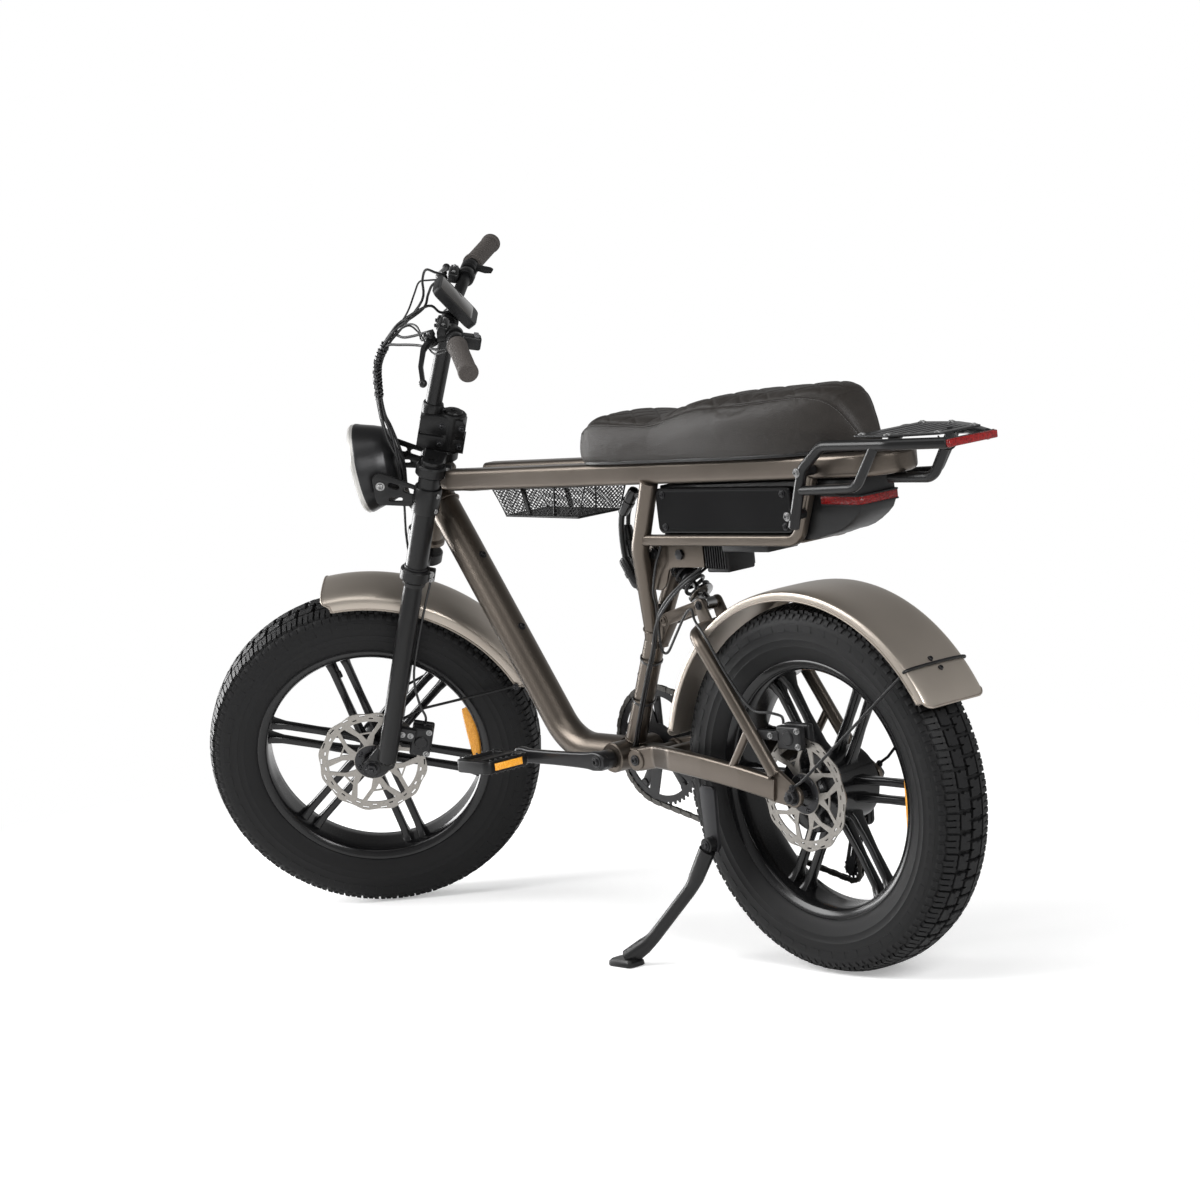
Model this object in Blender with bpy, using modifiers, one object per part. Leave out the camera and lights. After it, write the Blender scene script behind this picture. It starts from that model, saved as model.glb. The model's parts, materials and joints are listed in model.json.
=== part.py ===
"""Fat-tyre electric bicycle with full suspension, a long two-up seat and a tail rack.

The bicycle points along +X with +Y on its left and +Z up. It stands on its kickstand
with the handlebar turned to the left. All sizes are metres.
"""
import math

import bmesh
import bpy
from mathutils import Matrix, Vector

# Wheels and tyres
WHEELBASE = 1.200
REAR_X = -0.600
TYRE_RADIUS = 0.308
TYRE_HALF_WIDTH = 0.056
TREAD_HALF_WIDTH = 0.046
TREAD_FLAT_HALF = 0.026
TREAD_DEPTH = 0.006
TREAD_LUGS = 12
RIM_RADIUS = 0.216
RIM_HALF_WIDTH = 0.043
RIM_WALL = 0.005
RIM_DEPTH = 0.017
SPOKE_PAIRS = 6
SPOKE_WIDTH = 0.013
SPOKE_DEPTH = 0.024
SPOKE_SPACING = 0.029
AXLE_RADIUS = 0.006
NUT_RADIUS = 0.0115
NUT_LENGTH = 0.010
FRONT_HUB_RADIUS = 0.026
FRONT_FLANGE_RADIUS = 0.034
FRONT_HUB_RIGHT = 0.058
MOTOR_RADIUS = 0.062
MOTOR_FLANGE_RADIUS = 0.068
MOTOR_RIGHT = 0.0490
ROTOR_THICKNESS = 0.0022
ROTOR_BORE = 0.014
FRONT_ROTOR_RADIUS = 0.1015
REAR_ROTOR_RADIUS = 0.0965
FRONT_ROTOR_Y = 0.0625
REAR_ROTOR_Y = 0.0690

# Steering and fork, measured along the steering axis from axle height
HEAD_ANGLE = math.radians(67.3)
STEER_REST = math.radians(47.1)
AXLE_LEAD = 0.0386
LEG_LEAD = 0.013
LEG_SPREAD = 0.090
SLIDER_RADIUS = 0.0180
SLIDER_TOP = 0.450
SLIDER_BOTTOM = 0.000
SLIDER_LUG_THICKNESS = 0.014
SLIDER_LUG_Y = 0.0826
FORK_TUBE_RADIUS = 0.0200
FORK_TUBE_WALL = 0.0016
FORK_TUBE_BOTTOM = 0.372
FORK_TUBE_TOP = 0.612
FORK_CAP = 0.006
LOWER_CROWN = (0.377, 0.399)
UPPER_CROWN = (0.583, 0.603)
CROWN_CLAMP_RADIUS = 0.0275
CROWN_WAIST = 0.0170
HEAD_TUBE = (0.412, 0.570)
HEAD_TUBE_RADIUS = 0.0255
HEAD_CUP_RADIUS = 0.0300
HEAD_CUP_HEIGHT = 0.012
STEERER_RADIUS = 0.0127
STEM_BLOCK = (0.6037, 0.668)
STEM_HALF_WIDTH = 0.0235
STEM_NOSE = 0.047
STEM_TAIL = -0.040
MAST_RADIUS = 0.0150
MAST_LEAD_BOTTOM = 0.030
MAST_LEAD_TOP = 0.0215
BAR_RADIUS = 0.0111
BAR_HEIGHT = 0.845
BAR_RISE = 0.037
LEVER_RISE = 0.0185
DISPLAY_RISE = 0.0345
BAR_LEAD = 0.021
BAR_CLAMP_RADIUS = 0.0155
BAR_CLAMP_HALF = 0.022
GRIP_START = 0.207
GRIP_END = 0.331
GRIP_RADIUS = 0.0165
PERCH_Y = 0.150
PERCH_RADIUS = 0.0165
PERCH_WIDTH = 0.020
LEVER_RADIUS = 0.0050
LEVER_SLOT = 0.0090
LEVER_PIN_RADIUS = 0.0030
PAD_Y = 0.1860
THROTTLE_Y = -0.186
THROTTLE_RADIUS = 0.0160
THROTTLE_WIDTH = 0.016

# Headlight
LAMP_RADIUS = 0.0820
LAMP_BACK_RADIUS = 0.0660
LAMP_DEPTH = 0.060
LAMP_DOME = 0.018
LAMP_LEAD = 0.142
LAMP_HEIGHT = 0.534
LAMP_RIM = 0.0040
LAMP_RECESS = 0.010
LAMP_ARM_Y = 0.0880
LAMP_ARM_THICKNESS = 0.005
LAMP_CLAMP = (0.512, 0.560)

# Top rails and frame tubes
RAIL_SPREAD = 0.044
RAIL_WIDTH = 0.036
RAIL_HEIGHT = 0.038
RAIL_CORNER = 0.008
RAIL_LEVEL = 0.8203
RAIL_SLOPE = 0.0357
RAIL_SETBACK = 0.3082
NECK_HALF_WIDTH = 0.0265
NECK_LEVELS = (0.7890, 0.8220)
RAIL_REAR_X = -0.818
DOWN_TUBE_RADIUS = 0.0285
DOWN_TUBE_BEND = 0.110
SEAT_TUBE_RADIUS = 0.0180
SEAT_TUBE_TOP = (-0.200, 0.545)
BRANCH_RADIUS = 0.0135
CRANK_X = -0.107
CRANK_Z = 0.331
BB_SHELL_RADIUS = 0.0260
BB_SHELL_HALF = 0.0500
SPINDLE_RADIUS = 0.0090

# Battery, its cradle and the electronics
CRADLE_SPREAD = 0.053
CRADLE_SECTION = 0.018
CRADLE_FRONT_X = -0.250
CRADLE_CORNER_X = -0.630
CRADLE_LEVEL = 0.716
CRADLE_SLOPE = 0.0217
FLOOR_THICKNESS = 0.004
BATTERY_HALF_WIDTH = 0.0410
BATTERY_FRONT_X = -0.292
BATTERY_REAR_X = -0.766
PANEL_HALF_WIDTH = 0.0550
PANEL_FRONT_X = -0.297
PANEL_REAR_X = -0.613
PANEL_HEIGHT = 0.066
GUSSET_Y = 0.030
GUSSET_THICKNESS = 0.005

# Basket
BASKET_HALF_WIDTH = 0.048
BASKET_WALL = 0.0025
BASKET_TOP = (0.138, -0.110)
BASKET_BOTTOM = (0.107, -0.085)
BASKET_FLOOR_Z = 0.750
BASKET_COLUMNS = 5

# Rear suspension
PIVOT_X = -0.176
PIVOT_Z = 0.333
PIVOT_BOLT_RADIUS = 0.0070
PIVOT_BARREL_RADIUS = 0.0160
PIVOT_BARREL_HALF = 0.0325
SHOCK_REAR = (-0.340, 0.602)
SHOCK_FRONT = (-0.256, 0.690)
SHOCK_EYE_RADIUS = 0.0110
SHOCK_EYE_HALF = 0.0110
SHOCK_BODY_RADIUS = 0.0145
SHOCK_ROD_RADIUS = 0.0050
SHOCK_TRAVEL = 0.0210
COLLAR_RADIUS = 0.0232
COLLAR_THICKNESS = 0.0055
COLLAR_OFFSET = 0.0105
SPRING_RADIUS = 0.0190
SPRING_WIRE = 0.0033
SPRING_TURNS = 5
SPRING_POINTS = 10
LINK_BOLT_RADIUS = 0.0040
LINK_PIVOT = (-0.240, 0.572)
LINK_LUG_HALF = 0.0105
ROCKER_Y = 0.0142
ROCKER_THICKNESS = 0.0040
ROCKER_SLOT = 0.0150
ROCKER_SLOT_HALF = 0.0053
EAR_Y = 0.0200
EAR_THICKNESS = 0.0060
STAY_Y = 0.0915
DROPOUT_THICKNESS = 0.008
CHAINSTAY_HEIGHT = 0.040
CHAINSTAY_WIDTH = 0.016
SEATSTAY_RADIUS = 0.0110
ARCH_LEAD = 0.246
ARCH_RISE = 0.260
BRACE_RADIUS = 0.0070

# Fenders and their wire stays
FRONT_FENDER_CROWN = TYRE_RADIUS + 0.0315
FRONT_FENDER_EDGE = TYRE_RADIUS + 0.0020
FRONT_FENDER_HALF = 0.0655
FRONT_FENDER_ARC = (24.2, -64.3)
REAR_FENDER_CROWN = TYRE_RADIUS + 0.0280
REAR_FENDER_EDGE = TYRE_RADIUS + 0.0110
REAR_FENDER_HALF = 0.0680
REAR_FENDER_ARC = (77.0, -62.0)
FENDER_SKIN = 0.0020
STAY_WIRE = 0.0025

# Drive
CHAINRING_TEETH = 52
FREEWHEEL_TEETH = 14
CHAIN_PITCH = 0.0127
CHAINLINE = -0.0625
SPROCKET_THICKNESS = 0.0022
CHAIN_WIDTH = 0.0070
CHAIN_INNER_WIDTH = 0.0036
CHAIN_HALF_HEIGHT = 0.0042
TOOTH_ROOT = 0.0045
CHAIN_ROOF = 0.0018
PULLEY_PITCH = 0.0215
HANGER = (REAR_X + 0.010, TYRE_RADIUS - 0.028)
GUIDE_PULLEY = (REAR_X + 0.015, TYRE_RADIUS - 0.072)
TENSION_PULLEY = (REAR_X + 0.044, TYRE_RADIUS - 0.156)
CRANK_LENGTH = 0.172
CRANK_TILT = math.radians(2.3)
CRANK_ROOT_Y = 0.079
CRANK_TIP_Y = 0.108
CRANK_THICKNESS = 0.015
PEDAL_Y = 0.176
PEDAL_LENGTH = 0.098
PEDAL_DEPTH = 0.088
PEDAL_HEIGHT = 0.024
PEDAL_AXLE_RADIUS = 0.0065

# Seat and rack
SEAT_PAN_THICKNESS = 0.006
SEAT_PAN_HALF = 0.078
SEAT_PAN_FRONT_X = -0.140
SEAT_PAN_REAR_X = -0.780
RACK_Y = 0.092
RACK_END_Y = 0.047
RACK_TUBE = 0.0090
RACK_LIGHT_DEPTH = 0.010
RACK_LIGHT_HEIGHT = 0.014
RACK_TOP_Z = 0.884
RACK_END_X = -0.972
DECK_THICKNESS = 0.003

# Kickstand
STAND_PIVOT = (-0.390, 0.1013, 0.212)
STAND_EYE_RADIUS = 0.0130
STAND_EYE_WIDTH = 0.0140
STAND_PIN_RADIUS = 0.0050
STAND_FOOT = (-0.212, 0.156, 0.0070)
STAND_TUBE = 0.0085

# Clearance between touching solids
GAP = 0.0003

SMOOTH_ANGLE = math.radians(35)
UPWARD = math.radians(90)


for old in list(bpy.data.objects):
    bpy.data.objects.remove(old, do_unlink=True)
parts = bpy.data.collections.new("electric_bicycle")
guides = bpy.data.collections.new("cutters")
bpy.context.scene.collection.children.link(parts)
bpy.context.scene.collection.children.link(guides)


def material(name, rgb, roughness, metallic=0.0):
    """One Principled material for a finish of the bicycle."""
    made = bpy.data.materials.new(name)
    made.use_nodes = True
    shader = made.node_tree.nodes["Principled BSDF"]
    shader.inputs["Base Color"].default_value = (*rgb, 1.0)
    shader.inputs["Roughness"].default_value = roughness
    shader.inputs["Metallic"].default_value = metallic
    return made


BRONZE = material("frame_paint", (0.125, 0.110, 0.095), 0.42, 0.55)
CHAMPAGNE = material("fender_paint", (0.330, 0.300, 0.270), 0.38, 0.50)
BLACK = material("black_coat", (0.018, 0.018, 0.020), 0.45, 0.10)
PLASTIC = material("black_plastic", (0.022, 0.022, 0.024), 0.55)
RUBBER = material("tyre_rubber", (0.028, 0.028, 0.030), 0.75)
GRIP_RUBBER = material("grip_rubber", (0.055, 0.055, 0.057), 0.80)
LEATHER = material("seat_leather", (0.040, 0.038, 0.038), 0.55)
STEEL = material("rotor_steel", (0.480, 0.470, 0.450), 0.35, 0.90)
DARK_STEEL = material("dark_steel", (0.060, 0.060, 0.065), 0.40, 0.80)
RED_LENS = material("red_lens", (0.550, 0.020, 0.015), 0.25)
CLEAR_LENS = material("clear_lens", (0.800, 0.820, 0.840), 0.10)

# Places of the pivots, in the coordinates that the pieces on them are given in
pivots = {}


def empty(name, parent=None, location=(0, 0, 0), rotation=(0, 0, 0)):
    frame = bpy.data.objects.new(name, None)
    parts.objects.link(frame)
    frame.parent = parent
    frame.location = location
    frame.rotation_euler = rotation
    return frame


def pivot(name, parent, location):
    """An empty on a joint's axis; what hangs on it is given in its parent's coordinates."""
    pivots[name] = Vector(location)
    return empty(name, parent, location)


def add(name, bm, finish, parent, shift=True):
    """Puts a shape into the bicycle as one named object."""
    if shift and parent is not None and parent.name in pivots:
        bmesh.ops.translate(bm, vec=-pivots[parent.name], verts=bm.verts)
    mesh = bpy.data.meshes.new(name)
    bm.to_mesh(mesh)
    bm.free()
    mesh.shade_smooth()
    mesh.set_sharp_from_angle(angle=SMOOTH_ANGLE)
    mesh.materials.append(finish)
    obj = bpy.data.objects.new(name, mesh)
    parts.objects.link(obj)
    obj.parent = parent
    return obj


def frozen(obj, name, finish, parent, shift=True, frame=None):
    """Replaces an object by the mesh that its curve or modifiers make, with its seams welded."""
    graph = bpy.context.evaluated_depsgraph_get()
    mesh = bpy.data.meshes.new_from_object(obj.evaluated_get(graph))
    placed = frame or Matrix.Identity(4)
    bpy.data.objects.remove(obj, do_unlink=True)
    bm = bmesh.new()
    bm.from_mesh(mesh)
    bmesh.ops.remove_doubles(bm, verts=bm.verts, dist=1e-5)
    bmesh.ops.transform(bm, matrix=placed, verts=bm.verts)
    bmesh.ops.recalc_face_normals(bm, faces=bm.faces)
    bpy.data.meshes.remove(mesh)
    return add(name, bm, finish, parent, shift)


def box(name, size, centre, finish, parent, turn=0.0, bevel=0.0, frame=None):
    """A box turned about its own Y axis, with its edges rounded by a bevel."""
    bm = bmesh.new()
    bmesh.ops.create_cube(bm, size=1.0)
    bmesh.ops.scale(bm, vec=size, verts=bm.verts)
    if bevel:
        bmesh.ops.bevel(bm, geom=bm.edges, offset=bevel, segments=1, affect="EDGES", profile=0.5)
    place = Matrix.Translation(centre) @ Matrix.Rotation(turn, 4, "Y")
    bmesh.ops.transform(bm, matrix=(frame or Matrix.Identity(4)) @ place, verts=bm.verts)
    return add(name, bm, finish, parent)


def rod(name, start, end, radius, finish, parent, sides=12, radius_end=None, frame=None):
    """A cylinder or cone between two points."""
    start = Vector(start)
    end = Vector(end)
    run = end - start
    bm = bmesh.new()
    bmesh.ops.create_cone(bm, cap_ends=True, segments=sides, radius1=radius,
                          radius2=radius if radius_end is None else radius_end, depth=run.length)
    place = Matrix.Translation((start + end) / 2) @ run.to_track_quat("Z", "Y").to_matrix().to_4x4()
    bmesh.ops.transform(bm, matrix=(frame or Matrix.Identity(4)) @ place, verts=bm.verts)
    return add(name, bm, finish, parent)


def cross_rod(name, x, z, y_from, y_to, radius, finish, parent, sides=12):
    """A cylinder that lies across the bicycle."""
    return rod(name, (x, y_from, z), (x, y_to, z), radius, finish, parent, sides)


def ball(name, centre, radius, finish, parent):
    bm = bmesh.new()
    bmesh.ops.create_uvsphere(bm, u_segments=8, v_segments=5, radius=radius)
    bmesh.ops.translate(bm, vec=centre, verts=bm.verts)
    return add(name, bm, finish, parent)


def rounded_path(points, radius, steps=4):
    """The points of a bent tube: straight runs with an arc of the given radius at each corner."""
    points = [Vector(p) for p in points]
    path = [points[0]]
    for before, corner, after in zip(points, points[1:], points[2:]):
        into = (corner - before).normalized()
        out = (after - corner).normalized()
        turn = into.angle(out)
        if turn < 0.02:
            path.append(corner)
            continue
        reach = min(radius * math.tan(turn / 2), 0.49 * (corner - before).length,
                    0.49 * (after - corner).length)
        arc = reach / math.tan(turn / 2)
        centre = corner + (out - into).normalized() * arc / math.cos(turn / 2)
        first = corner - into * reach - centre
        axis = into.cross(out).normalized()
        for step in range(steps + 1):
            path.append(centre + Matrix.Rotation(turn * step / steps, 3, axis) @ first)
    path.append(points[-1])
    return path


def smooth_path(points, steps):
    """A smooth curve through points, as the points of a Catmull-Rom spline."""
    points = [Vector(p) for p in points]
    ends = [2 * points[0] - points[1]] + points + [2 * points[-1] - points[-2]]
    path = []
    for a, b, c, d in zip(ends, ends[1:], ends[2:], ends[3:]):
        for step in range(steps):
            t = step / steps
            path.append(0.5 * ((2 * b) + (c - a) * t + (2 * a - 5 * b + 4 * c - d) * t * t
                               + (3 * b - a - 3 * c + d) * t ** 3))
    path.append(points[-1])
    return path


def curve_tube(name, path, radius, finish, parent, resolution=2, closed=False, section=None):
    """A tube along a path: a curve with a round bevel, or swept from a flat section."""
    curve = bpy.data.curves.new(name, "CURVE")
    curve.dimensions = "3D"
    curve.twist_mode = "MINIMUM" if section is None else "Z_UP"
    spline = curve.splines.new("POLY")
    spline.points.add(len(path) - 1)
    for point, place in zip(spline.points, path):
        point.co = (*place, 1.0)
    spline.use_cyclic_u = closed
    if section is None:
        curve.bevel_depth = radius
        curve.bevel_resolution = resolution
    else:
        curve.bevel_mode = "OBJECT"
        curve.bevel_object = section
    curve.use_fill_caps = not closed
    obj = bpy.data.objects.new(name + "_curve", curve)
    parts.objects.link(obj)
    return frozen(obj, name, finish, parent)


def rounded_rectangle(width, height, radius, steps=2):
    """Corner points of a rectangle with round corners, centred on zero."""
    outline = []
    for quarter, (sx, sy) in enumerate(((1, 1), (-1, 1), (-1, -1), (1, -1))):
        for step in range(steps + 1):
            angle = math.radians(90) * (quarter + step / steps)
            outline.append((sx * (width / 2 - radius) + radius * math.cos(angle),
                            sy * (height / 2 - radius) + radius * math.sin(angle)))
    return outline


def section_curve(name, outline):
    """A closed flat outline that a square tube is swept from."""
    curve = bpy.data.curves.new(name, "CURVE")
    curve.dimensions = "2D"
    spline = curve.splines.new("POLY")
    spline.points.add(len(outline) - 1)
    for point, (x, y) in zip(spline.points, outline):
        point.co = (x, y, 0.0, 1.0)
    spline.use_cyclic_u = True
    obj = bpy.data.objects.new(name, curve)
    guides.objects.link(obj)
    obj.hide_render = True
    obj.display_type = "WIRE"
    return obj


def circle(radius, count, centre=(0.0, 0.0), phase=0.0):
    return [(centre[0] + radius * math.cos(phase + 2 * math.pi * i / count),
             centre[1] + radius * math.sin(phase + 2 * math.pi * i / count)) for i in range(count)]


def hull(circles, count=12):
    """The outline of a strap drawn tight round circles, each given as (x, y, radius)."""
    points = sorted(set(p for x, y, r in circles for p in circle(r, count, (x, y))))

    def half(ordered):
        chain = []
        for p in ordered:
            while len(chain) > 1:
                (ax, ay), (bx, by) = chain[-2:]
                if (bx - ax) * (p[1] - ay) - (by - ay) * (p[0] - ax) > 1e-12:
                    break
                chain.pop()
            chain.append(p)
        return chain[:-1]

    return half(points) + half(points[::-1])


def upright(y):
    """The plane along the bicycle at a distance y from its middle, for a flat outline."""
    return Matrix.Translation((0, y, 0)) @ Matrix.Rotation(UPWARD, 4, "X")


def level(z):
    return Matrix.Translation((0, 0, z))


def plate(name, outlines, thickness, place, finish, parent):
    """A flat plate cut from an outline and its holes, with its middle in the given plane."""
    curve = bpy.data.curves.new(name, "CURVE")
    curve.dimensions = "2D"
    curve.fill_mode = "BOTH"
    curve.extrude = thickness / 2
    for outline in outlines:
        spline = curve.splines.new("POLY")
        spline.points.add(len(outline) - 1)
        for point, (x, z) in zip(spline.points, outline):
            point.co = (x, z, 0.0, 1.0)
        spline.use_cyclic_u = True
    obj = bpy.data.objects.new(name + "_curve", curve)
    parts.objects.link(obj)
    return frozen(obj, name, finish, parent, frame=place)


def turned(name, profile, finish, parent, steps=24, closed=True, frame=None, along="Z", arc=None,
           skin=0.0):
    """A profile of (radius, height) points turned about an axis with a Screw modifier."""
    mesh = bpy.data.meshes.new(name)
    verts = [(radius, 0.0, height) for radius, height in profile]
    edges = [(i, i + 1) for i in range(len(verts) - 1)]
    if closed:
        edges.append((len(verts) - 1, 0))
    mesh.from_pydata(verts, edges, [])
    obj = bpy.data.objects.new(name + "_profile", mesh)
    parts.objects.link(obj)
    screw = obj.modifiers.new("turn", "SCREW")
    screw.axis = "Z"
    screw.angle = 2 * math.pi if arc is None else arc
    screw.steps = steps
    screw.render_steps = steps
    screw.use_merge_vertices = True
    screw.merge_threshold = 1e-5
    if skin:
        shell = obj.modifiers.new("skin", "SOLIDIFY")
        shell.thickness = skin
        shell.offset = 0
        shell.use_even_offset = True
    tilt = Matrix.Identity(4)
    if along == "Y":
        tilt = Matrix.Rotation(-UPWARD, 4, "X")
    return frozen(obj, name, finish, parent, frame=(frame or Matrix.Identity(4)) @ tilt)


def loft(name, rings, finish, parent, closed=False):
    """Quads between rings of equal count, with the ends capped unless the loft closes on itself."""
    bm = bmesh.new()
    rows = [[bm.verts.new(point) for point in ring] for ring in rings]
    count = len(rows[0])
    pairs = list(zip(rows, rows[1:]))
    if closed:
        pairs.append((rows[-1], rows[0]))
    for row, following in pairs:
        for i in range(count):
            j = (i + 1) % count
            bm.faces.new((row[i], row[j], following[j], following[i]))
    if not closed:
        bm.faces.new(rows[0])
        bm.faces.new(list(reversed(rows[-1])))
    bmesh.ops.recalc_face_normals(bm, faces=bm.faces)
    return add(name, bm, finish, parent)


def boolean(base, operation, others):
    """Hangs Boolean modifiers on a piece and hides the solids that they use."""
    for other in others:
        if other.name in parts.objects:
            parts.objects.unlink(other)
            guides.objects.link(other)
            other.hide_render = True
            other.display_type = "WIRE"
        step = base.modifiers.new(operation.lower(), "BOOLEAN")
        step.operation = operation
        step.solver = "EXACT"
        step.object = other
    return base


def join(base, *others):
    return boolean(base, "UNION", others)


def cut(base, *others):
    return boolean(base, "DIFFERENCE", others)


def finished(base, name=None):
    """Works a piece's Booleans out at once, so that it can be an operand itself."""
    name = name or base.name
    finish = base.data.materials[0]
    parent = base.parent
    base.name = name + "_raw"
    return frozen(base, name, finish, parent, shift=False)


def soften(obj, width, segments=2):
    """Rounds a piece's sharp edges."""
    bevel = obj.modifiers.new("edges", "BEVEL")
    bevel.width = width
    bevel.segments = segments
    bevel.limit_method = "ANGLE"
    bevel.angle_limit = SMOOTH_ANGLE
    return obj


def mirrored(points):
    """The same places on the other side of the bicycle."""
    return [(x, -y, z) for x, y, z in points]


AXIS_X = REAR_X + WHEELBASE - AXLE_LEAD / math.sin(HEAD_ANGLE)
AXLE_RISE = -AXLE_LEAD / math.tan(HEAD_ANGLE)
RAIL_FRONT_X = AXIS_X - RAIL_SETBACK
bike = empty("bicycle")
head = empty("head_axis", bike, (AXIS_X, 0, TYRE_RADIUS), (0, HEAD_ANGLE - UPWARD, 0))
steering = empty("steering", head, rotation=(0, 0, STEER_REST))
fork_slide = empty("fork_slide", steering)
front_hub = empty("front_wheel", fork_slide, (AXLE_LEAD, 0, AXLE_RISE))
swing = pivot("swingarm_pivot", bike, (PIVOT_X, 0, PIVOT_Z))
rear_hub = empty("rear_wheel", swing, (REAR_X - PIVOT_X, 0, TYRE_RADIUS - PIVOT_Z))
crank_axis = pivot("crank_axis", bike, (CRANK_X, 0, CRANK_Z))


def rail_level(x):
    """Height of the top rails' centre line at a place along the bicycle."""
    return RAIL_LEVEL - RAIL_SLOPE * x


def rail_under(x):
    return rail_level(x) - RAIL_HEIGHT / 2 - GAP


def rail_over(x):
    return rail_level(x) + RAIL_HEIGHT / 2 + GAP


def cradle_level(x):
    """Height of the battery cradle's side tubes."""
    return CRADLE_LEVEL - CRADLE_SLOPE * (x - CRADLE_FRONT_X)


def head_point(height, lead=0.0):
    """A place given along and ahead of the steering axis, in the bicycle's own X and Z."""
    x = AXIS_X - math.cos(HEAD_ANGLE) * height + math.sin(HEAD_ANGLE) * lead
    z = TYRE_RADIUS + math.sin(HEAD_ANGLE) * height + math.cos(HEAD_ANGLE) * lead
    return x, z


# Tyres: lug and groove sections in turn round a square-shouldered casing
def make_tyre(name, hub):
    bead = RIM_RADIUS + GAP
    half = TYRE_HALF_WIDTH

    def section(depth):
        left = [(TYRE_RADIUS - depth, TREAD_FLAT_HALF), (TYRE_RADIUS - 0.006 - depth, TREAD_HALF_WIDTH),
                (TYRE_RADIUS - 0.040, half),
                (bead, RIM_HALF_WIDTH - 0.002)]
        return left + [(radius, -across) for radius, across in reversed(left)]

    rings = []
    for lug in range(TREAD_LUGS):
        for share, depth in ((0.0, 0.0), (1 / 3, 0.0), (2 / 3, TREAD_DEPTH)):
            angle = 2 * math.pi * (lug + share) / TREAD_LUGS
            rings.append([(r * math.cos(angle), y, r * math.sin(angle)) for r, y in section(depth)])
    return loft(name, rings, RUBBER, hub, closed=True)


# Rims: rolled barrel, paired flat spokes and a hub barrel cast in one piece
def make_rim(name, hub, hub_radius, flange_radius, left, right):
    well = RIM_RADIUS - RIM_DEPTH
    half = RIM_HALF_WIDTH
    profile = [(RIM_RADIUS - 0.0005, half), (RIM_RADIUS - 0.0005, half - RIM_WALL),
               (well + 0.005, 0.0),
               (RIM_RADIUS - 0.0005, RIM_WALL - half), (RIM_RADIUS - 0.0005, -half),
               (well, 0.004 - half), (well, half - 0.004)]
    rim = turned(name, profile, BLACK, hub, steps=36, along="Y")
    inner = hub_radius * 0.80
    length = well + 0.003 - inner
    for pair in range(SPOKE_PAIRS):
        spin = Matrix.Rotation(2 * math.pi * pair / SPOKE_PAIRS, 4, "Y")
        for side in (-1, 1):
            blade = box(name + "_spoke", (length, SPOKE_DEPTH, SPOKE_WIDTH),
                        (inner + length / 2, 0, side * SPOKE_SPACING / 2), BLACK, hub, frame=spin)
            join(rim, blade)
    bore = AXLE_RADIUS + GAP
    core = [(bore, left), (flange_radius, left), (hub_radius, left - 0.014), (hub_radius, 0.014 - right),
            (flange_radius * 0.9, -right), (bore, -right)]
    return join(rim, turned(name + "_core", core, BLACK, hub, steps=12, along="Y"))


# Brake discs: waved edge, six raked windows, bore round the axle
def make_rotor(name, hub, radius, y):
    outer = []
    for i in range(32):
        angle = 2 * math.pi * i / 32
        reach = radius - 0.002 + 0.002 * math.cos(8 * angle)
        outer.append((reach * math.cos(angle), reach * math.sin(angle)))
    outlines = [outer, circle(ROTOR_BORE, 12)]
    for window in range(6):
        middle = 2 * math.pi * window / 6
        edge = []
        for step in range(3):
            angle = middle + 0.40 - 0.40 * step
            edge.append(((radius - 0.019) * math.cos(angle), (radius - 0.019) * math.sin(angle)))
        for step in range(2):
            angle = middle - 0.85 + 0.60 * step
            edge.append((0.034 * math.cos(angle), 0.034 * math.sin(angle)))
        outlines.append(edge)
    return plate(name, outlines, ROTOR_THICKNESS, upright(y), STEEL, hub)


front_hub_left = FRONT_ROTOR_Y - ROTOR_THICKNESS / 2 - GAP
rear_hub_left = REAR_ROTOR_Y - ROTOR_THICKNESS / 2 - GAP
make_tyre("front_tyre", front_hub)
make_rim("front_rim", front_hub, FRONT_HUB_RADIUS, FRONT_FLANGE_RADIUS, front_hub_left, FRONT_HUB_RIGHT)
make_rotor("front_rotor", front_hub, FRONT_ROTOR_RADIUS, FRONT_ROTOR_Y)
make_tyre("rear_tyre", rear_hub)
make_rim("rear_rim", rear_hub, MOTOR_RADIUS, MOTOR_FLANGE_RADIUS, rear_hub_left, MOTOR_RIGHT)
make_rotor("rear_rotor", rear_hub, REAR_ROTOR_RADIUS, REAR_ROTOR_Y)

# Top rails: one square-section tube bent round behind the seat, its ends held to the head tube
rail_bend = [(RAIL_FRONT_X, RAIL_SPREAD), (RAIL_REAR_X + RAIL_SPREAD, RAIL_SPREAD)]
for step in range(1, 4):
    turn = UPWARD * step / 4
    rail_bend.append((RAIL_REAR_X + RAIL_SPREAD * (1 - math.sin(turn)), RAIL_SPREAD * math.cos(turn)))
rail_plan = rail_bend + [(RAIL_REAR_X, 0.0)] + [(x, -y) for x, y in reversed(rail_bend)]
rail_path = [(x, y, rail_level(x)) for x, y in rail_plan]
rail_section = section_curve("rail_section", rounded_rectangle(RAIL_WIDTH, RAIL_HEIGHT, RAIL_CORNER))
rail_room = section_curve("rail_room", rounded_rectangle(RAIL_WIDTH + 2 * GAP, RAIL_HEIGHT + 2 * GAP,
                                                         RAIL_CORNER + GAP))
rails = curve_tube("top_rails", rail_path, 0, BRONZE, bike, section=rail_section)
rail_clearance = curve_tube("rail_clearance", rail_path, 0, BRONZE, bike, section=rail_room)


def head_rod(name, low, high, radius):
    x_low, z_low = head_point(low)
    x_high, z_high = head_point(high)
    return rod(name, (x_low, 0, z_low), (x_high, 0, z_high), radius, BRONZE, bike, sides=20)


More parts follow.
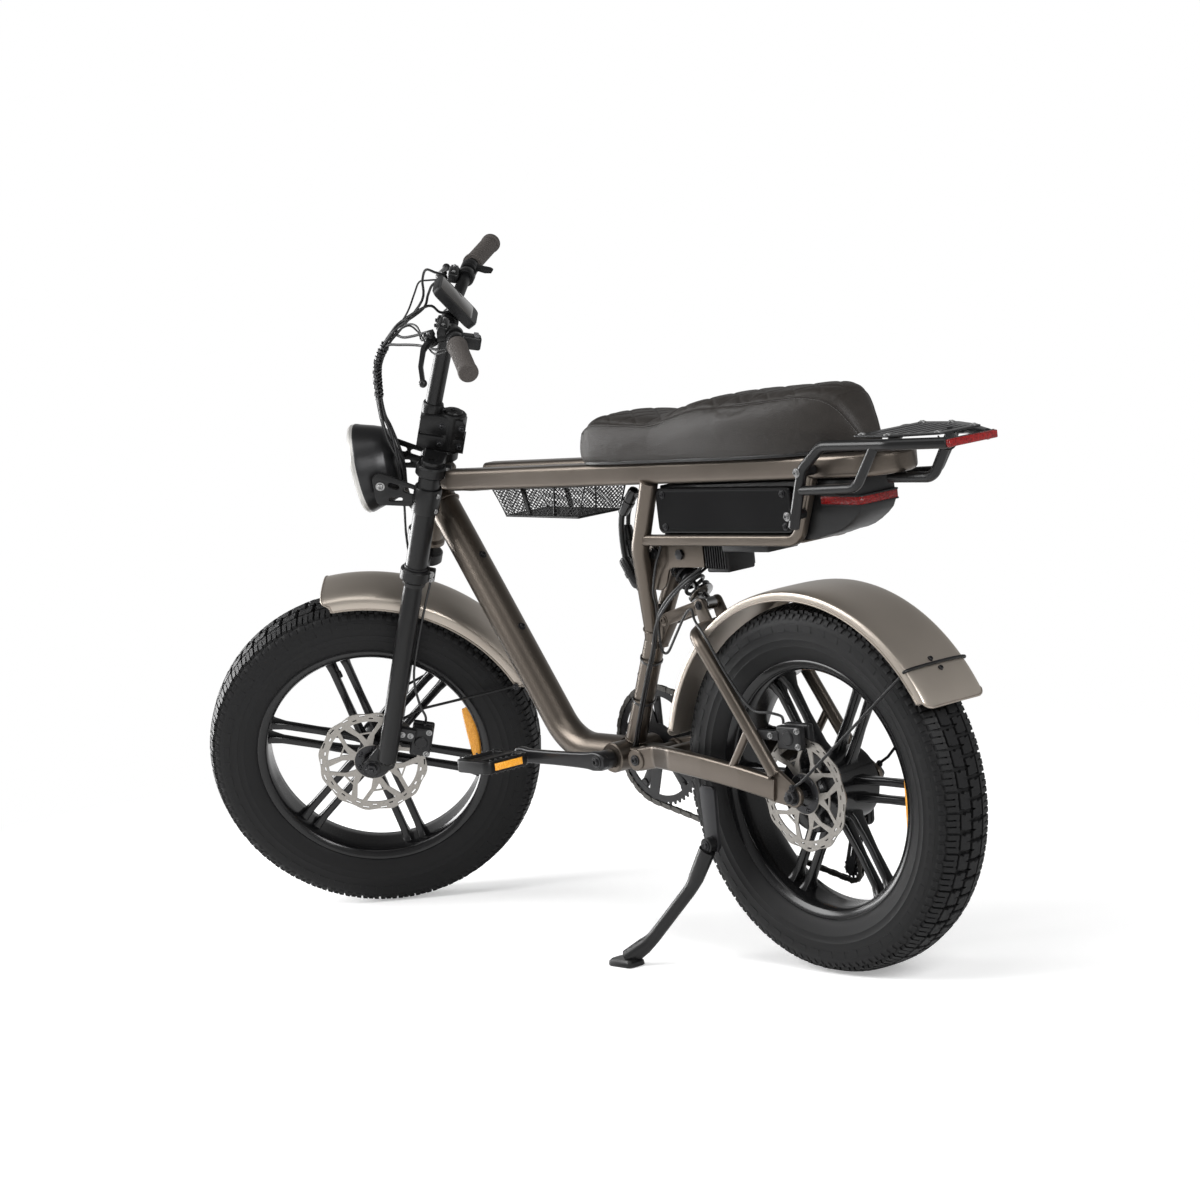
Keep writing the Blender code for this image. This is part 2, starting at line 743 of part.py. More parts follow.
cup_low = (HEAD_TUBE[0], HEAD_TUBE[0] + HEAD_CUP_HEIGHT)
cup_high = (HEAD_TUBE[1] - HEAD_CUP_HEIGHT, HEAD_TUBE[1])
# Frame: down tube, seat tube with two branches, bottom bracket shell, pivot barrel and link lug
head_x, head_z = head_point(0.516)
down_path = rounded_path([(head_x, 0, head_z), (RAIL_FRONT_X + 0.072, 0, 0.731), (0.0475, 0, CRANK_Z),
                          (CRANK_X + 0.012, 0, CRANK_Z)], DOWN_TUBE_BEND, steps=4)
down_over = (down_path[0] - down_path[1]).normalized() * 0.006
down_room = curve_tube("down_room", [down_path[0] + down_over] + down_path[1:], DOWN_TUBE_RADIUS + GAP,
                       BRONZE, bike, resolution=3)
neck_height = NECK_LEVELS[1] - NECK_LEVELS[0]
neck_x = (RAIL_FRONT_X - 0.054, RAIL_FRONT_X + 0.102)
neck = box("rail_neck", (neck_x[1] - neck_x[0], 2 * NECK_HALF_WIDTH + 0.002, neck_height),
           (sum(neck_x) / 2, 0, sum(NECK_LEVELS) / 2), BRONZE, bike)
neck_foot = box("neck_foot", (0.040, 2 * RAIL_SPREAD, neck_height),
                (RAIL_FRONT_X - 0.028, 0, sum(NECK_LEVELS) / 2),
                BRONZE, bike)
join(rails, neck, neck_foot)
cut(rails, down_room, head_rod("head_room", HEAD_TUBE[0] - 0.01, HEAD_TUBE[1] + 0.02, HEAD_TUBE_RADIUS + GAP),
    head_rod("cup_room", cup_high[0] - GAP, cup_high[1] + 0.02, HEAD_CUP_RADIUS + GAP))
tubes = curve_tube("frame_tubes", down_path, DOWN_TUBE_RADIUS, BRONZE, bike, resolution=3)
shell = cross_rod("bb_shell", CRANK_X, CRANK_Z, -BB_SHELL_HALF, BB_SHELL_HALF, BB_SHELL_RADIUS, BRONZE, bike)
seat_tube = rod("seat_tube", (CRANK_X, 0, CRANK_Z), (SEAT_TUBE_TOP[0], 0, SEAT_TUBE_TOP[1]),
                SEAT_TUBE_RADIUS, BRONZE, bike)
tube_rise = (SEAT_TUBE_TOP[0] - CRANK_X) / (SEAT_TUBE_TOP[1] - CRANK_Z)
branch_foot = (SEAT_TUBE_TOP[0] - tube_rise * 0.02, 0.0, SEAT_TUBE_TOP[1] - 0.02)
branch_points = [branch_foot, (SEAT_TUBE_TOP[0] - 0.003, 0.009, SEAT_TUBE_TOP[1] + 0.012),
                 (-0.240, 0.052, 0.700), (-0.284, 0.055, 0.815)]
branch_path = rounded_path(branch_points, 0.08, steps=2)
branch_left = curve_tube("branch_left", branch_path, BRANCH_RADIUS, BRONZE, bike)
branch_right = curve_tube("branch_right", mirrored(branch_path), BRANCH_RADIUS, BRONZE, bike)
bridge = box("pivot_bridge", (CRANK_X - PIVOT_X, 0.056, 0.028),
             ((CRANK_X + PIVOT_X) / 2, 0, (CRANK_Z + PIVOT_Z) / 2), BRONZE, bike)
barrel = cross_rod("pivot_barrel", PIVOT_X, PIVOT_Z, -PIVOT_BARREL_HALF, PIVOT_BARREL_HALF,
                   PIVOT_BARREL_RADIUS, BRONZE, bike)
link_lug = plate("link_lug", [hull([(-0.200, 0.548, 0.013), (-0.212, 0.525, 0.005),
                                    (*LINK_PIVOT, SHOCK_EYE_RADIUS)])],
                 2 * LINK_LUG_HALF, upright(0), BRONZE, bike)
cable_clip = box("cable_clip", (0.016, 0.027, 0.012), (-0.212, 0.0055, 0.527), BRONZE, bike)
join(tubes, shell, seat_tube, branch_left, branch_right, bridge, barrel, link_lug, cable_clip)
cut(tubes, rail_clearance,
    cross_rod("spindle_bore", CRANK_X, CRANK_Z, -0.07, 0.07, SPINDLE_RADIUS + GAP, BRONZE, bike, sides=16),
    cross_rod("pivot_bore", PIVOT_X, PIVOT_Z, -0.05, 0.05, PIVOT_BOLT_RADIUS + GAP, BRONZE, bike, sides=16),
    cross_rod("link_bore", *LINK_PIVOT, -0.02, 0.02, LINK_BOLT_RADIUS + GAP, BRONZE, bike))
frame = head_rod("frame", HEAD_TUBE[0], HEAD_TUBE[1], HEAD_TUBE_RADIUS)
gland_low = head_point(0.462)
gland_high = head_point(0.462, HEAD_TUBE_RADIUS + 0.010)
cable_gland = rod("cable_gland", (gland_low[0], 0, gland_low[1]), (gland_high[0], 0, gland_high[1]),
                  0.010, BRONZE, bike)
join(frame, head_rod("cup_low", *cup_low, HEAD_CUP_RADIUS), head_rod("cup_high", *cup_high, HEAD_CUP_RADIUS),
     finished(tubes), cable_gland)
cut(frame, head_rod("steerer_bore", HEAD_TUBE[0] - 0.01, HEAD_TUBE[1] + 0.01, STEERER_RADIUS + GAP))

# Battery cradle: side loops, floor and the two gussets that hold the shock
loop_points = [(CRADLE_FRONT_X, CRADLE_SPREAD, cradle_level(CRADLE_FRONT_X)),
               (CRADLE_CORNER_X, CRADLE_SPREAD, cradle_level(CRADLE_CORNER_X)),
               (-0.673, CRADLE_SPREAD, 0.830)]
loop_path = rounded_path(loop_points, 0.03, steps=3)
loop_section = section_curve("loop_section",
                             rounded_rectangle(CRADLE_SECTION, CRADLE_SECTION, 0.004, steps=1))
cradle = curve_tube("battery_cradle", loop_path, 0, BRONZE, bike, section=loop_section)
loop_right = curve_tube("loop_right", mirrored(loop_path), 0, BRONZE, bike, section=loop_section)
cradle_turn = math.atan(CRADLE_SLOPE)
floor_x = (-0.262, -0.634)
floor_middle = sum(floor_x) / 2
floor_top = -0.001
floor_under = floor_top - FLOOR_THICKNESS
floor = box("cradle_floor", (floor_x[0] - floor_x[1], 2 * (CRADLE_SPREAD - 0.005), FLOOR_THICKNESS),
            (floor_middle, 0, cradle_level(floor_middle) + floor_top - FLOOR_THICKNESS / 2),
            BRONZE, bike, turn=cradle_turn)
gusset_outline = [(-0.232, 0.713), (-0.226, 0.690), (-0.227, 0.655), (-0.236, 0.636), (-0.250, 0.627),
                  (-0.265, 0.629), (-0.277, 0.642), (-0.285, 0.662), (-0.298, 0.667), (-0.374, 0.669),
                  (-0.374, 0.7165)]
gussets = []
for side in (1, -1):
    outlines = [gusset_outline, circle(LINK_BOLT_RADIUS + GAP, 12, SHOCK_FRONT)]
    gussets.append(plate("gusset", outlines, GUSSET_THICKNESS, upright(side * GUSSET_Y), BRONZE, bike))
join(cradle, loop_right, floor, *gussets)
branch_room = curve_tube("branch_room", branch_path, BRANCH_RADIUS + GAP, BRONZE, bike)
branch_room_right = curve_tube("branch_room_right", mirrored(branch_path), BRANCH_RADIUS + GAP, BRONZE, bike)
cut(cradle, branch_room, branch_room_right, rail_clearance)

# Battery with its side panels, tail light and controller
battery_foot = floor_top + GAP
battery_outline = [(BATTERY_FRONT_X, cradle_level(BATTERY_FRONT_X) + battery_foot),
                   (BATTERY_FRONT_X, rail_under(BATTERY_FRONT_X) - 0.004),
                   (BATTERY_REAR_X, rail_under(BATTERY_REAR_X) - 0.004), (BATTERY_REAR_X, 0.779),
                   (-0.748, 0.758), (-0.716, 0.740), (-0.680, 0.731),
                   (-0.655, cradle_level(-0.655) + battery_foot)]
battery = plate("battery_case", [battery_outline], 2 * BATTERY_HALF_WIDTH, upright(0), PLASTIC, bike)
soften(battery, 0.003, 1)
panel_middle = (PANEL_FRONT_X + PANEL_REAR_X) / 2
panel = box("battery_panels", (PANEL_FRONT_X - PANEL_REAR_X, 2 * PANEL_HALF_WIDTH, PANEL_HEIGHT),
            (panel_middle, 0, cradle_level(panel_middle) + CRADLE_SECTION / 2 + 0.003 + PANEL_HEIGHT / 2),
            PLASTIC, bike, turn=cradle_turn, bevel=0.004)
join(battery, panel)
lamp_inner = BATTERY_HALF_WIDTH + GAP
lamp_outer = lamp_inner + 0.0045
tail_outline = [(-0.682, lamp_outer), (BATTERY_REAR_X - 0.002, lamp_outer),
                (BATTERY_REAR_X - 0.0045, lamp_outer - 0.003),
                (BATTERY_REAR_X - 0.0045, 0.003 - lamp_outer), (BATTERY_REAR_X - 0.002, -lamp_outer),
                (-0.682, -lamp_outer), (-0.682, -lamp_inner), (BATTERY_REAR_X - GAP, -lamp_inner),
                (BATTERY_REAR_X - GAP, lamp_inner), (-0.682, lamp_inner)]
plate("tail_light", [tail_outline], 0.014, level(0.7895), RED_LENS, bike)
controller_top = floor_under - GAP
controller = box("controller", (0.054, 0.070, 0.054),
                 (-0.4045, 0, cradle_level(-0.4045) + controller_top - 0.027),
                 PLASTIC, bike, turn=cradle_turn)
join(controller, box("controller_tail", (0.112, 0.070, 0.018),
                     (-0.480, 0, cradle_level(-0.480) + controller_top - 0.009), PLASTIC, bike,
                     turn=cradle_turn))

# Basket under the rails: a tapered tray with rows of slots in its walls
outer_side = [(BASKET_TOP[0], rail_under(BASKET_TOP[0])), (BASKET_BOTTOM[0], BASKET_FLOOR_Z),
              (BASKET_BOTTOM[1], BASKET_FLOOR_Z), (BASKET_TOP[1], rail_under(BASKET_TOP[1]))]
inner_side = [(BASKET_TOP[0] - 1.2 * BASKET_WALL, 0.83), (BASKET_TOP[0] - 1.2 * BASKET_WALL,
                                                           rail_under(BASKET_TOP[0])),
              (BASKET_BOTTOM[0] - 1.2 * BASKET_WALL, BASKET_FLOOR_Z + BASKET_WALL),
              (BASKET_BOTTOM[1] + 1.2 * BASKET_WALL, BASKET_FLOOR_Z + BASKET_WALL),
              (BASKET_TOP[1] + 1.2 * BASKET_WALL, rail_under(BASKET_TOP[1])),
              (BASKET_TOP[1] + 1.2 * BASKET_WALL, 0.83)]
basket = plate("basket", [outer_side], 2 * BASKET_HALF_WIDTH, upright(0), BLACK, bike)
tray_room = plate("tray_room", [inner_side], 2 * (BASKET_HALF_WIDTH - BASKET_WALL), upright(0), BLACK, bike)
cut(basket, tray_room)
slot_pitch = (BASKET_BOTTOM[0] - BASKET_BOTTOM[1] - 0.012) / BASKET_COLUMNS
for column in range(BASKET_COLUMNS):
    slot_x = BASKET_BOTTOM[1] + 0.006 + slot_pitch * (column + 0.5)
    for slot_z in (0.7645, 0.783):
        cut(basket, box("basket_slot", (slot_pitch * 0.62, 0.12, 0.0115), (slot_x, 0, slot_z), BLACK, bike))

# Seat: flat pan and a long pad whose crown steps up behind the rider
pan_middle = (SEAT_PAN_FRONT_X + SEAT_PAN_REAR_X) / 2
rail_turn = math.atan(RAIL_SLOPE)
box("seat_pan", (SEAT_PAN_FRONT_X - SEAT_PAN_REAR_X, 2 * SEAT_PAN_HALF, SEAT_PAN_THICKNESS),
    (pan_middle, 0, rail_over(pan_middle) + SEAT_PAN_THICKNESS / 2), PLASTIC, bike,
    turn=rail_turn, bevel=0.001)
seat_stations = [(-0.113, 0.872, 0.040), (-0.118, 0.890, 0.056), (-0.132, 0.908, 0.070),
                 (-0.155, 0.920, 0.080), (-0.190, 0.928, 0.087), (-0.260, 0.9325, 0.090),
                 (-0.320, 0.935, 0.090), (-0.350, 0.939, 0.090), (-0.385, 0.947, 0.091),
                 (-0.425, 0.954, 0.093), (-0.480, 0.959, 0.095), (-0.560, 0.964, 0.096),
                 (-0.640, 0.970, 0.096), (-0.700, 0.975, 0.0895), (-0.736, 0.976, 0.0835),
                 (-0.757, 0.968, 0.0825), (-0.773, 0.943, 0.0805), (-0.788, 0.903, 0.0770),
                 (-0.795, 0.882, 0.0720)]


def seat_ring(x, top, half):
    """Half a section of the seat from its foot over the bulging side to the crown, then mirrored."""
    foot = rail_over(x) + SEAT_PAN_THICKNESS + GAP
    rise = top - foot
    side = [(half * 0.93, 0.0), (half * 0.985, 0.16), (half, 0.38), (half * 0.965, 0.68),
            (half * 0.83, 0.90), (half * 0.46, 0.985)]
    points = [(x, y, foot + share * rise) for y, share in side]
    return points + [(x, 0.0, top)] + [(x, -y, z) for x, y, z in reversed(points)]


loft("seat_pad", [seat_ring(*station) for station in seat_stations], LEATHER, bike)

# Rack: two side loops bolted to the cradle and the rails, a deck with its centre stay, a tail light
rack_points = [(-0.662, RACK_Y, 0.752), (-0.694, RACK_Y, 0.846), (-0.742, RACK_Y, RACK_TOP_Z),
               (-0.888, RACK_Y, RACK_TOP_Z + 0.003), (RACK_END_X, RACK_END_Y, RACK_TOP_Z)]
strut_points = [(-0.860, RACK_Y, RACK_TOP_Z), (-0.812, RACK_Y, 0.818), (-0.688, RACK_Y, 0.812)]
for name, side in (("rack_left", 1), ("rack_right", -1)):
    main_path = [(x, side * y, z) for x, y, z in rounded_path(rack_points, 0.035, steps=2)]
    strut_path = [(x, side * y, z) for x, y, z in rounded_path(strut_points, 0.03, steps=2)]
    loop = curve_tube(name, main_path, RACK_TUBE, BLACK, bike)
    strut = curve_tube(name + "_strut", strut_path, RACK_TUBE - 0.001, BLACK, bike)
    seat_low = CRADLE_SPREAD + CRADLE_SECTION / 2 + GAP
    bolt_low = cross_rod(name + "_bolt_low", -0.6575, 0.771, side * seat_low, side * (RACK_Y + 0.012),
                         0.0055, BLACK, bike, sides=8)
    seat_high = RAIL_SPREAD + RAIL_WIDTH / 2 + GAP
    bolt_high = cross_rod(name + "_bolt_high", -0.689, 0.842, side * seat_high, side * (RACK_Y + 0.012),
                          0.0055, BLACK, bike, sides=8)
    join(loop, strut, bolt_low, bolt_high)
deck_bottom = RACK_TOP_Z + 0.003 + RACK_TUBE + GAP
deck_outline = [(-0.800, 0.080), (-0.880, 0.082), (-0.962, 0.046), (-0.962, -0.046), (-0.880, -0.082),
                (-0.800, -0.080)]
deck = plate("rack_deck", [deck_outline], DECK_THICKNESS, level(deck_bottom + DECK_THICKNESS / 2), STEEL,
             bike)
cut(deck, *[box("deck_slot", (0.012, 0.090, 0.02), (x, 0, deck_bottom), STEEL, bike)
            for x in (-0.836, -0.872, -0.908)])
stay_path = rounded_path([(-0.797, 0, rail_under(-0.797) - 0.0085), (-0.892, 0, 0.8222),
                          (-0.942, 0, deck_bottom + 0.001)], 0.03)
join(deck, curve_tube("deck_stay", stay_path, 0.0085, BLACK, bike))
rack_end_turn = math.atan2(RACK_Y - RACK_END_Y, rack_points[3][0] - RACK_END_X)
light_front = RACK_END_X - RACK_TUBE * math.sin(rack_end_turn) - GAP
box("rack_light", (RACK_LIGHT_DEPTH, 2 * (RACK_END_Y + RACK_TUBE), RACK_LIGHT_HEIGHT),
    (light_front - RACK_LIGHT_DEPTH / 2, 0, RACK_TOP_Z), RED_LENS, bike, bevel=0.001)

# Swingarm: box-section chainstays, tapered seatstays arched over the tyre, ears for the shock
chainstay_section = section_curve("chainstay_section",
                                  rounded_rectangle(CHAINSTAY_WIDTH, CHAINSTAY_HEIGHT, 0.005, steps=1))
chainstay_points = [(PIVOT_X, 0.047, PIVOT_Z), (-0.222, 0.047, 0.3415), (-0.290, 0.0765, 0.347),
                    (-0.381, 0.086, 0.341), (REAR_X + 0.123, STAY_Y, TYRE_RADIUS + 0.023),
                    (REAR_X + 0.040, STAY_Y, TYRE_RADIUS + 0.0095)]
chainstay_path = rounded_path(chainstay_points, 0.05, steps=1)
swingarm = curve_tube("swingarm", chainstay_path, 0, BRONZE, swing, section=chainstay_section)
chainstay_right = curve_tube("chainstay_right", mirrored(chainstay_path), 0, BRONZE, swing,
                             section=chainstay_section)
boss_inner = PIVOT_BARREL_HALF + GAP
bosses = [cross_rod("pivot_boss", PIVOT_X, PIVOT_Z, side * boss_inner, side * (boss_inner + 0.025), 0.019,
                    BRONZE, swing) for side in (1, -1)]
pivot_bolt = cross_rod("pivot_bolt", PIVOT_X, PIVOT_Z, -boss_inner - 0.028, boss_inner + 0.028,
                       PIVOT_BOLT_RADIUS, BRONZE, swing, sides=16)
stay_bridge = box("stay_bridge", (0.018, 0.104, 0.026), (-0.241, 0, 0.343), BRONZE, swing)
stay_points = [(REAR_X + ahead, across, TYRE_RADIUS + rise) for ahead, across, rise in
               ((0.040, 0.0925, 0.033), (0.147, 0.0925, 0.186), (0.195, 0.089, 0.245),
                (0.2165, 0.076, 0.2555), (0.236, 0.044, 0.259), (ARCH_LEAD, 0.0, ARCH_RISE))]
half_stays = rounded_path(stay_points, 0.04, steps=1)
seatstay_path = half_stays + mirrored(half_stays[:-1])[::-1]
seatstays = curve_tube("seatstays", seatstay_path, SEATSTAY_RADIUS, BRONZE, swing)
ears = [plate("shock_ear", [hull([(REAR_X + ARCH_LEAD, TYRE_RADIUS + ARCH_RISE, 0.015),
                                    (*SHOCK_REAR, 0.0120)])], EAR_THICKNESS,
              upright(side * EAR_Y), BRONZE, swing) for side in (1, -1)]
ear_bolt = cross_rod("ear_bolt", *SHOCK_REAR, -EAR_Y - 0.007, EAR_Y + 0.007, LINK_BOLT_RADIUS, BRONZE, swing,
                     sides=16)
dropouts = []
braces = []
for side in (1, -1):
    circles = [(REAR_X + 0.044, TYRE_RADIUS + 0.010, 0.022), (REAR_X, TYRE_RADIUS, 0.018),
               (REAR_X + 0.043, TYRE_RADIUS + 0.036, 0.011)]
    if side < 0:
        circles.append((*HANGER, 0.011))
    dropouts.append(plate("dropout", [hull(circles, 8)], DROPOUT_THICKNESS, upright(side * STAY_Y),
                          BRONZE, swing))
    braces.append(rod("brace", (REAR_X + 0.092, side * 0.0925, TYRE_RADIUS + 0.108),
                      (REAR_X + 0.145, side * 0.0905, TYRE_RADIUS + 0.037), BRACE_RADIUS, BRONZE, swing,
                      sides=12))
dropout_face = STAY_Y + DROPOUT_THICKNESS / 2
axle = cross_rod("rear_axle", REAR_X, TYRE_RADIUS, -dropout_face - 0.016, dropout_face + 0.016, AXLE_RADIUS,
                 DARK_STEEL, swing)
nuts = [cross_rod("axle_nut", REAR_X, TYRE_RADIUS, side * (dropout_face - 0.001),
                  side * (dropout_face + NUT_LENGTH),
                  NUT_RADIUS, DARK_STEEL, swing, sides=6) for side in (1, -1)]
stand_face = STAND_PIVOT[1] - STAND_EYE_WIDTH / 2 - GAP
stand_bracket = plate("stand_bracket", [hull([(-0.372, 0.331, 0.012), (-0.402, 0.329, 0.012),
                                              (STAND_PIVOT[0], STAND_PIVOT[2], STAND_EYE_RADIUS)])],
                      0.008, upright(stand_face - 0.004), BRONZE, swing)
stand_pin = cross_rod("stand_pin", STAND_PIVOT[0], STAND_PIVOT[2], stand_face - 0.004,
                      stand_face + STAND_EYE_WIDTH + 0.004, STAND_PIN_RADIUS, BRONZE, swing)
join(swingarm, chainstay_right, *bosses, pivot_bolt, stay_bridge, seatstays, *ears, ear_bolt, *dropouts,
     *braces, axle, *nuts, stand_bracket, stand_pin)

# Kickstand: curved leg with its eye on the bracket's pin and a flat foot
stand_hub = pivot("kickstand_pivot", swing, Vector(STAND_PIVOT) - Vector((PIVOT_X, 0, PIVOT_Z)))
pivots["kickstand_pivot"] = Vector(STAND_PIVOT)
stand = cross_rod("kickstand", STAND_PIVOT[0], STAND_PIVOT[2], STAND_PIVOT[1] - STAND_EYE_WIDTH / 2,
                  STAND_PIVOT[1] + STAND_EYE_WIDTH / 2, STAND_EYE_RADIUS, BLACK, stand_hub)
leg_points = [(STAND_PIVOT[0] + 0.004, STAND_PIVOT[1] + 0.001, STAND_PIVOT[2] - 0.009),
              (-0.350, 0.111, 0.140), (-0.262, 0.139, 0.044), (-0.216, 0.154, 0.0125)]
leg = curve_tube("stand_leg", rounded_path(leg_points, 0.14, steps=2), STAND_TUBE, BLACK, stand_hub)
foot = box("stand_foot", (0.052, 0.036, 0.013), STAND_FOOT, BLACK, stand_hub, bevel=0.002)
join(stand, leg, foot)
cut(stand, cross_rod("stand_bore", STAND_PIVOT[0], STAND_PIVOT[2], 0.08, 0.13, STAND_PIN_RADIUS + GAP,
                     BLACK, stand_hub))


# Fenders: an arched skin turned through part of a circle, with wire stays and mounting tabs
def fender_skin(name, hub, crown, edge, half, arc):
    profile = [(edge, half), (edge + 0.72 * (crown - edge), 0.78 * half), (crown, 0.20 * half)]
    profile = profile + [(radius, -across) for radius, across in reversed(profile)]
    start, end = (math.radians(90 - angle) for angle in arc)
    spin = Matrix.Rotation(-start, 4, "Y")
    return turned(name, profile, CHAMPAGNE, hub, steps=12, closed=False, along="Y", arc=start - end,
                  skin=FENDER_SKIN, frame=spin)


rear_fender = fender_skin("rear_fender", rear_hub, REAR_FENDER_CROWN, REAR_FENDER_EDGE, REAR_FENDER_HALF,
                          REAR_FENDER_ARC)
arch = Vector((ARCH_LEAD, 0, ARCH_RISE))
arch_way = arch.normalized()
fender_tab = rod("fender_tab", arch_way * (REAR_FENDER_CROWN - 0.0005),
                 arch_way * (arch.length - SEATSTAY_RADIUS - 0.0015), 0.0060, BLACK, rear_hub, sides=12)
join(rear_fender, fender_tab)
for side in (1, -1):
    hook = Vector((-0.244, side * (REAR_FENDER_HALF + 0.0005), 0.205))
    eyelet = Vector((-0.006, side * (dropout_face + STAY_WIRE + GAP), 0.0165))
    bend = Vector((-0.030, side * (dropout_face + STAY_WIRE + GAP), 0.030))
    wire = curve_tube("fender_wire", rounded_path([hook, bend, eyelet], 0.01, steps=2), STAY_WIRE, BLACK,
                      rear_hub, resolution=1)
    join(rear_fender, wire)
cut(rear_fender, box("chain_notch", (0.10, 0.030, 0.075), (0.290, CHAINLINE - 0.004, 0.098), BLACK, rear_hub))
rear_fender.parent = swing
rear_fender.location = rear_hub.location

# Rear brake caliper: a body that straddles the disc, its foot seated on the seatstay
caliper_room = curve_tube("seatstay_room", seatstay_path, SEATSTAY_RADIUS + GAP, BRONZE, swing)


def caliper_body(name, parent, centre, size, disc_centre, disc_radius, disc_y, foot_box):
    body = box(name, size, centre, BLACK, parent, bevel=0.004)
    join(body, foot_box)
    room = cross_rod(name + "_slot", disc_centre[0], disc_centre[1], disc_y - ROTOR_THICKNESS / 2 - 0.0011,
                     disc_y + ROTOR_THICKNESS / 2 + 0.0011, disc_radius + 0.003, BLACK, parent, sides=24)
    return cut(body, room)


rear_foot = box("rear_caliper_foot", (0.052, 0.012, 0.016), (REAR_X + 0.055, 0.0870, TYRE_RADIUS + 0.098),
                BLACK, swing)
rear_caliper = caliper_body("rear_caliper", swing, (REAR_X + 0.008, 0.0700, TYRE_RADIUS + 0.095),
                            (0.058, 0.034, 0.042),
                            (REAR_X, TYRE_RADIUS), REAR_ROTOR_RADIUS, REAR_ROTOR_Y, rear_foot)
cut(rear_caliper, caliper_room)

# Shock: body on the cradle's gussets, rod on the swingarm's ears, wound spring between the collars
shock_run = Vector((SHOCK_REAR[0] - SHOCK_FRONT[0], 0, SHOCK_REAR[1] - SHOCK_FRONT[1]))
shock_length = shock_run.length
shock_tilt = math.atan2(shock_run.x, shock_run.z)
shock_mount = empty("shock_mount", bike, (SHOCK_FRONT[0], 0, SHOCK_FRONT[1]), (0, shock_tilt, 0))
shock_slide = empty("shock_slide", shock_mount)
body_end = shock_length - COLLAR_OFFSET - SHOCK_EYE_RADIUS - SHOCK_TRAVEL - 0.010
body_top = SHOCK_EYE_RADIUS - 0.003
bore_top = 0.024
shock_bore = SHOCK_ROD_RADIUS + GAP
body_profile = [(0.0, body_top), (SHOCK_BODY_RADIUS - 0.002, body_top), (SHOCK_BODY_RADIUS, body_top + 0.002),
                (SHOCK_BODY_RADIUS, body_end), (shock_bore, body_end), (shock_bore, bore_top), (0.0,
                                                                                                bore_top)]
shock_body = turned("shock_body", body_profile, DARK_STEEL, shock_mount, steps=16, closed=False)
collar_top = SHOCK_EYE_RADIUS + 0.0005
eye_top = cross_rod("shock_eye_top", 0, 0, -SHOCK_EYE_HALF, SHOCK_EYE_HALF, SHOCK_EYE_RADIUS, DARK_STEEL,
                    shock_mount)
gusset_inner = GUSSET_Y - GUSSET_THICKNESS / 2 - GAP
gusset_outer = GUSSET_Y + GUSSET_THICKNESS / 2 + GAP
spacer = cross_rod("shock_spacer", 0, 0, -gusset_inner, gusset_inner, 0.0070, DARK_STEEL, shock_mount,
                   sides=16)
mount_bolt = cross_rod("shock_bolt", 0, 0, -gusset_outer - 0.005, gusset_outer + 0.005, LINK_BOLT_RADIUS,
                       DARK_STEEL, shock_mount, sides=12)
bolt_heads = [cross_rod("shock_bolt_head", 0, 0, side * gusset_outer, side * (gusset_outer + 0.004), 0.0095,
                        DARK_STEEL, shock_mount, sides=12) for side in (1, -1)]
top_collar = rod("shock_collar_top", (0, 0, collar_top), (0, 0, collar_top + COLLAR_THICKNESS), COLLAR_RADIUS,
                 DARK_STEEL, shock_mount)
join(shock_body, eye_top, spacer, mount_bolt, *bolt_heads, top_collar)
collar_face = shock_length - SHOCK_EYE_RADIUS - COLLAR_OFFSET
shock_rod = rod("shock_rod", (0, 0, collar_face - 0.038), (0, 0, shock_length - 0.006), SHOCK_ROD_RADIUS,
                STEEL, shock_slide)
low_collar = rod("shock_collar_low", (0, 0, collar_face - COLLAR_THICKNESS), (0, 0, collar_face),
                 COLLAR_RADIUS,
                 STEEL, shock_slide)
low_neck = rod("shock_neck", (0, 0, collar_face - 0.001), (0, 0, shock_length - 0.004), 0.0095, STEEL,
               shock_slide, sides=16)
eye_low = cross_rod("shock_eye_low", 0, shock_length, -SHOCK_EYE_HALF, SHOCK_EYE_HALF, SHOCK_EYE_RADIUS,
                    STEEL,
                    shock_slide)
join(shock_rod, low_collar, low_neck, eye_low)
cut(shock_rod, cross_rod("shock_eye_bore", 0, shock_length, -0.03, 0.03, LINK_BOLT_RADIUS + 0.0016, STEEL,
                         shock_slide))
spring_low = collar_top + COLLAR_THICKNESS + SPRING_WIRE + GAP
spring_high = collar_face - COLLAR_THICKNESS - SPRING_WIRE - GAP
spring_path = []
for step in range(SPRING_TURNS * SPRING_POINTS + 1):
    angle = 2 * math.pi * step / SPRING_POINTS
    height = spring_low + (spring_high - spring_low) * step / (SPRING_TURNS * SPRING_POINTS)
    spring_path.append((SPRING_RADIUS * math.cos(angle), SPRING_RADIUS * math.sin(angle), height))
curve_tube("shock_spring", spring_path, SPRING_WIRE, DARK_STEEL, shock_mount, resolution=1)
spring_gap = min((Vector(spring_path[i]) - Vector(spring_path[j])).length - 2 * SPRING_WIRE
                 for i in range(len(spring_path)) for j in range(i + 4, len(spring_path)))
print("least gap between the spring's coils:", round(spring_gap * 1000, 2), "mm")

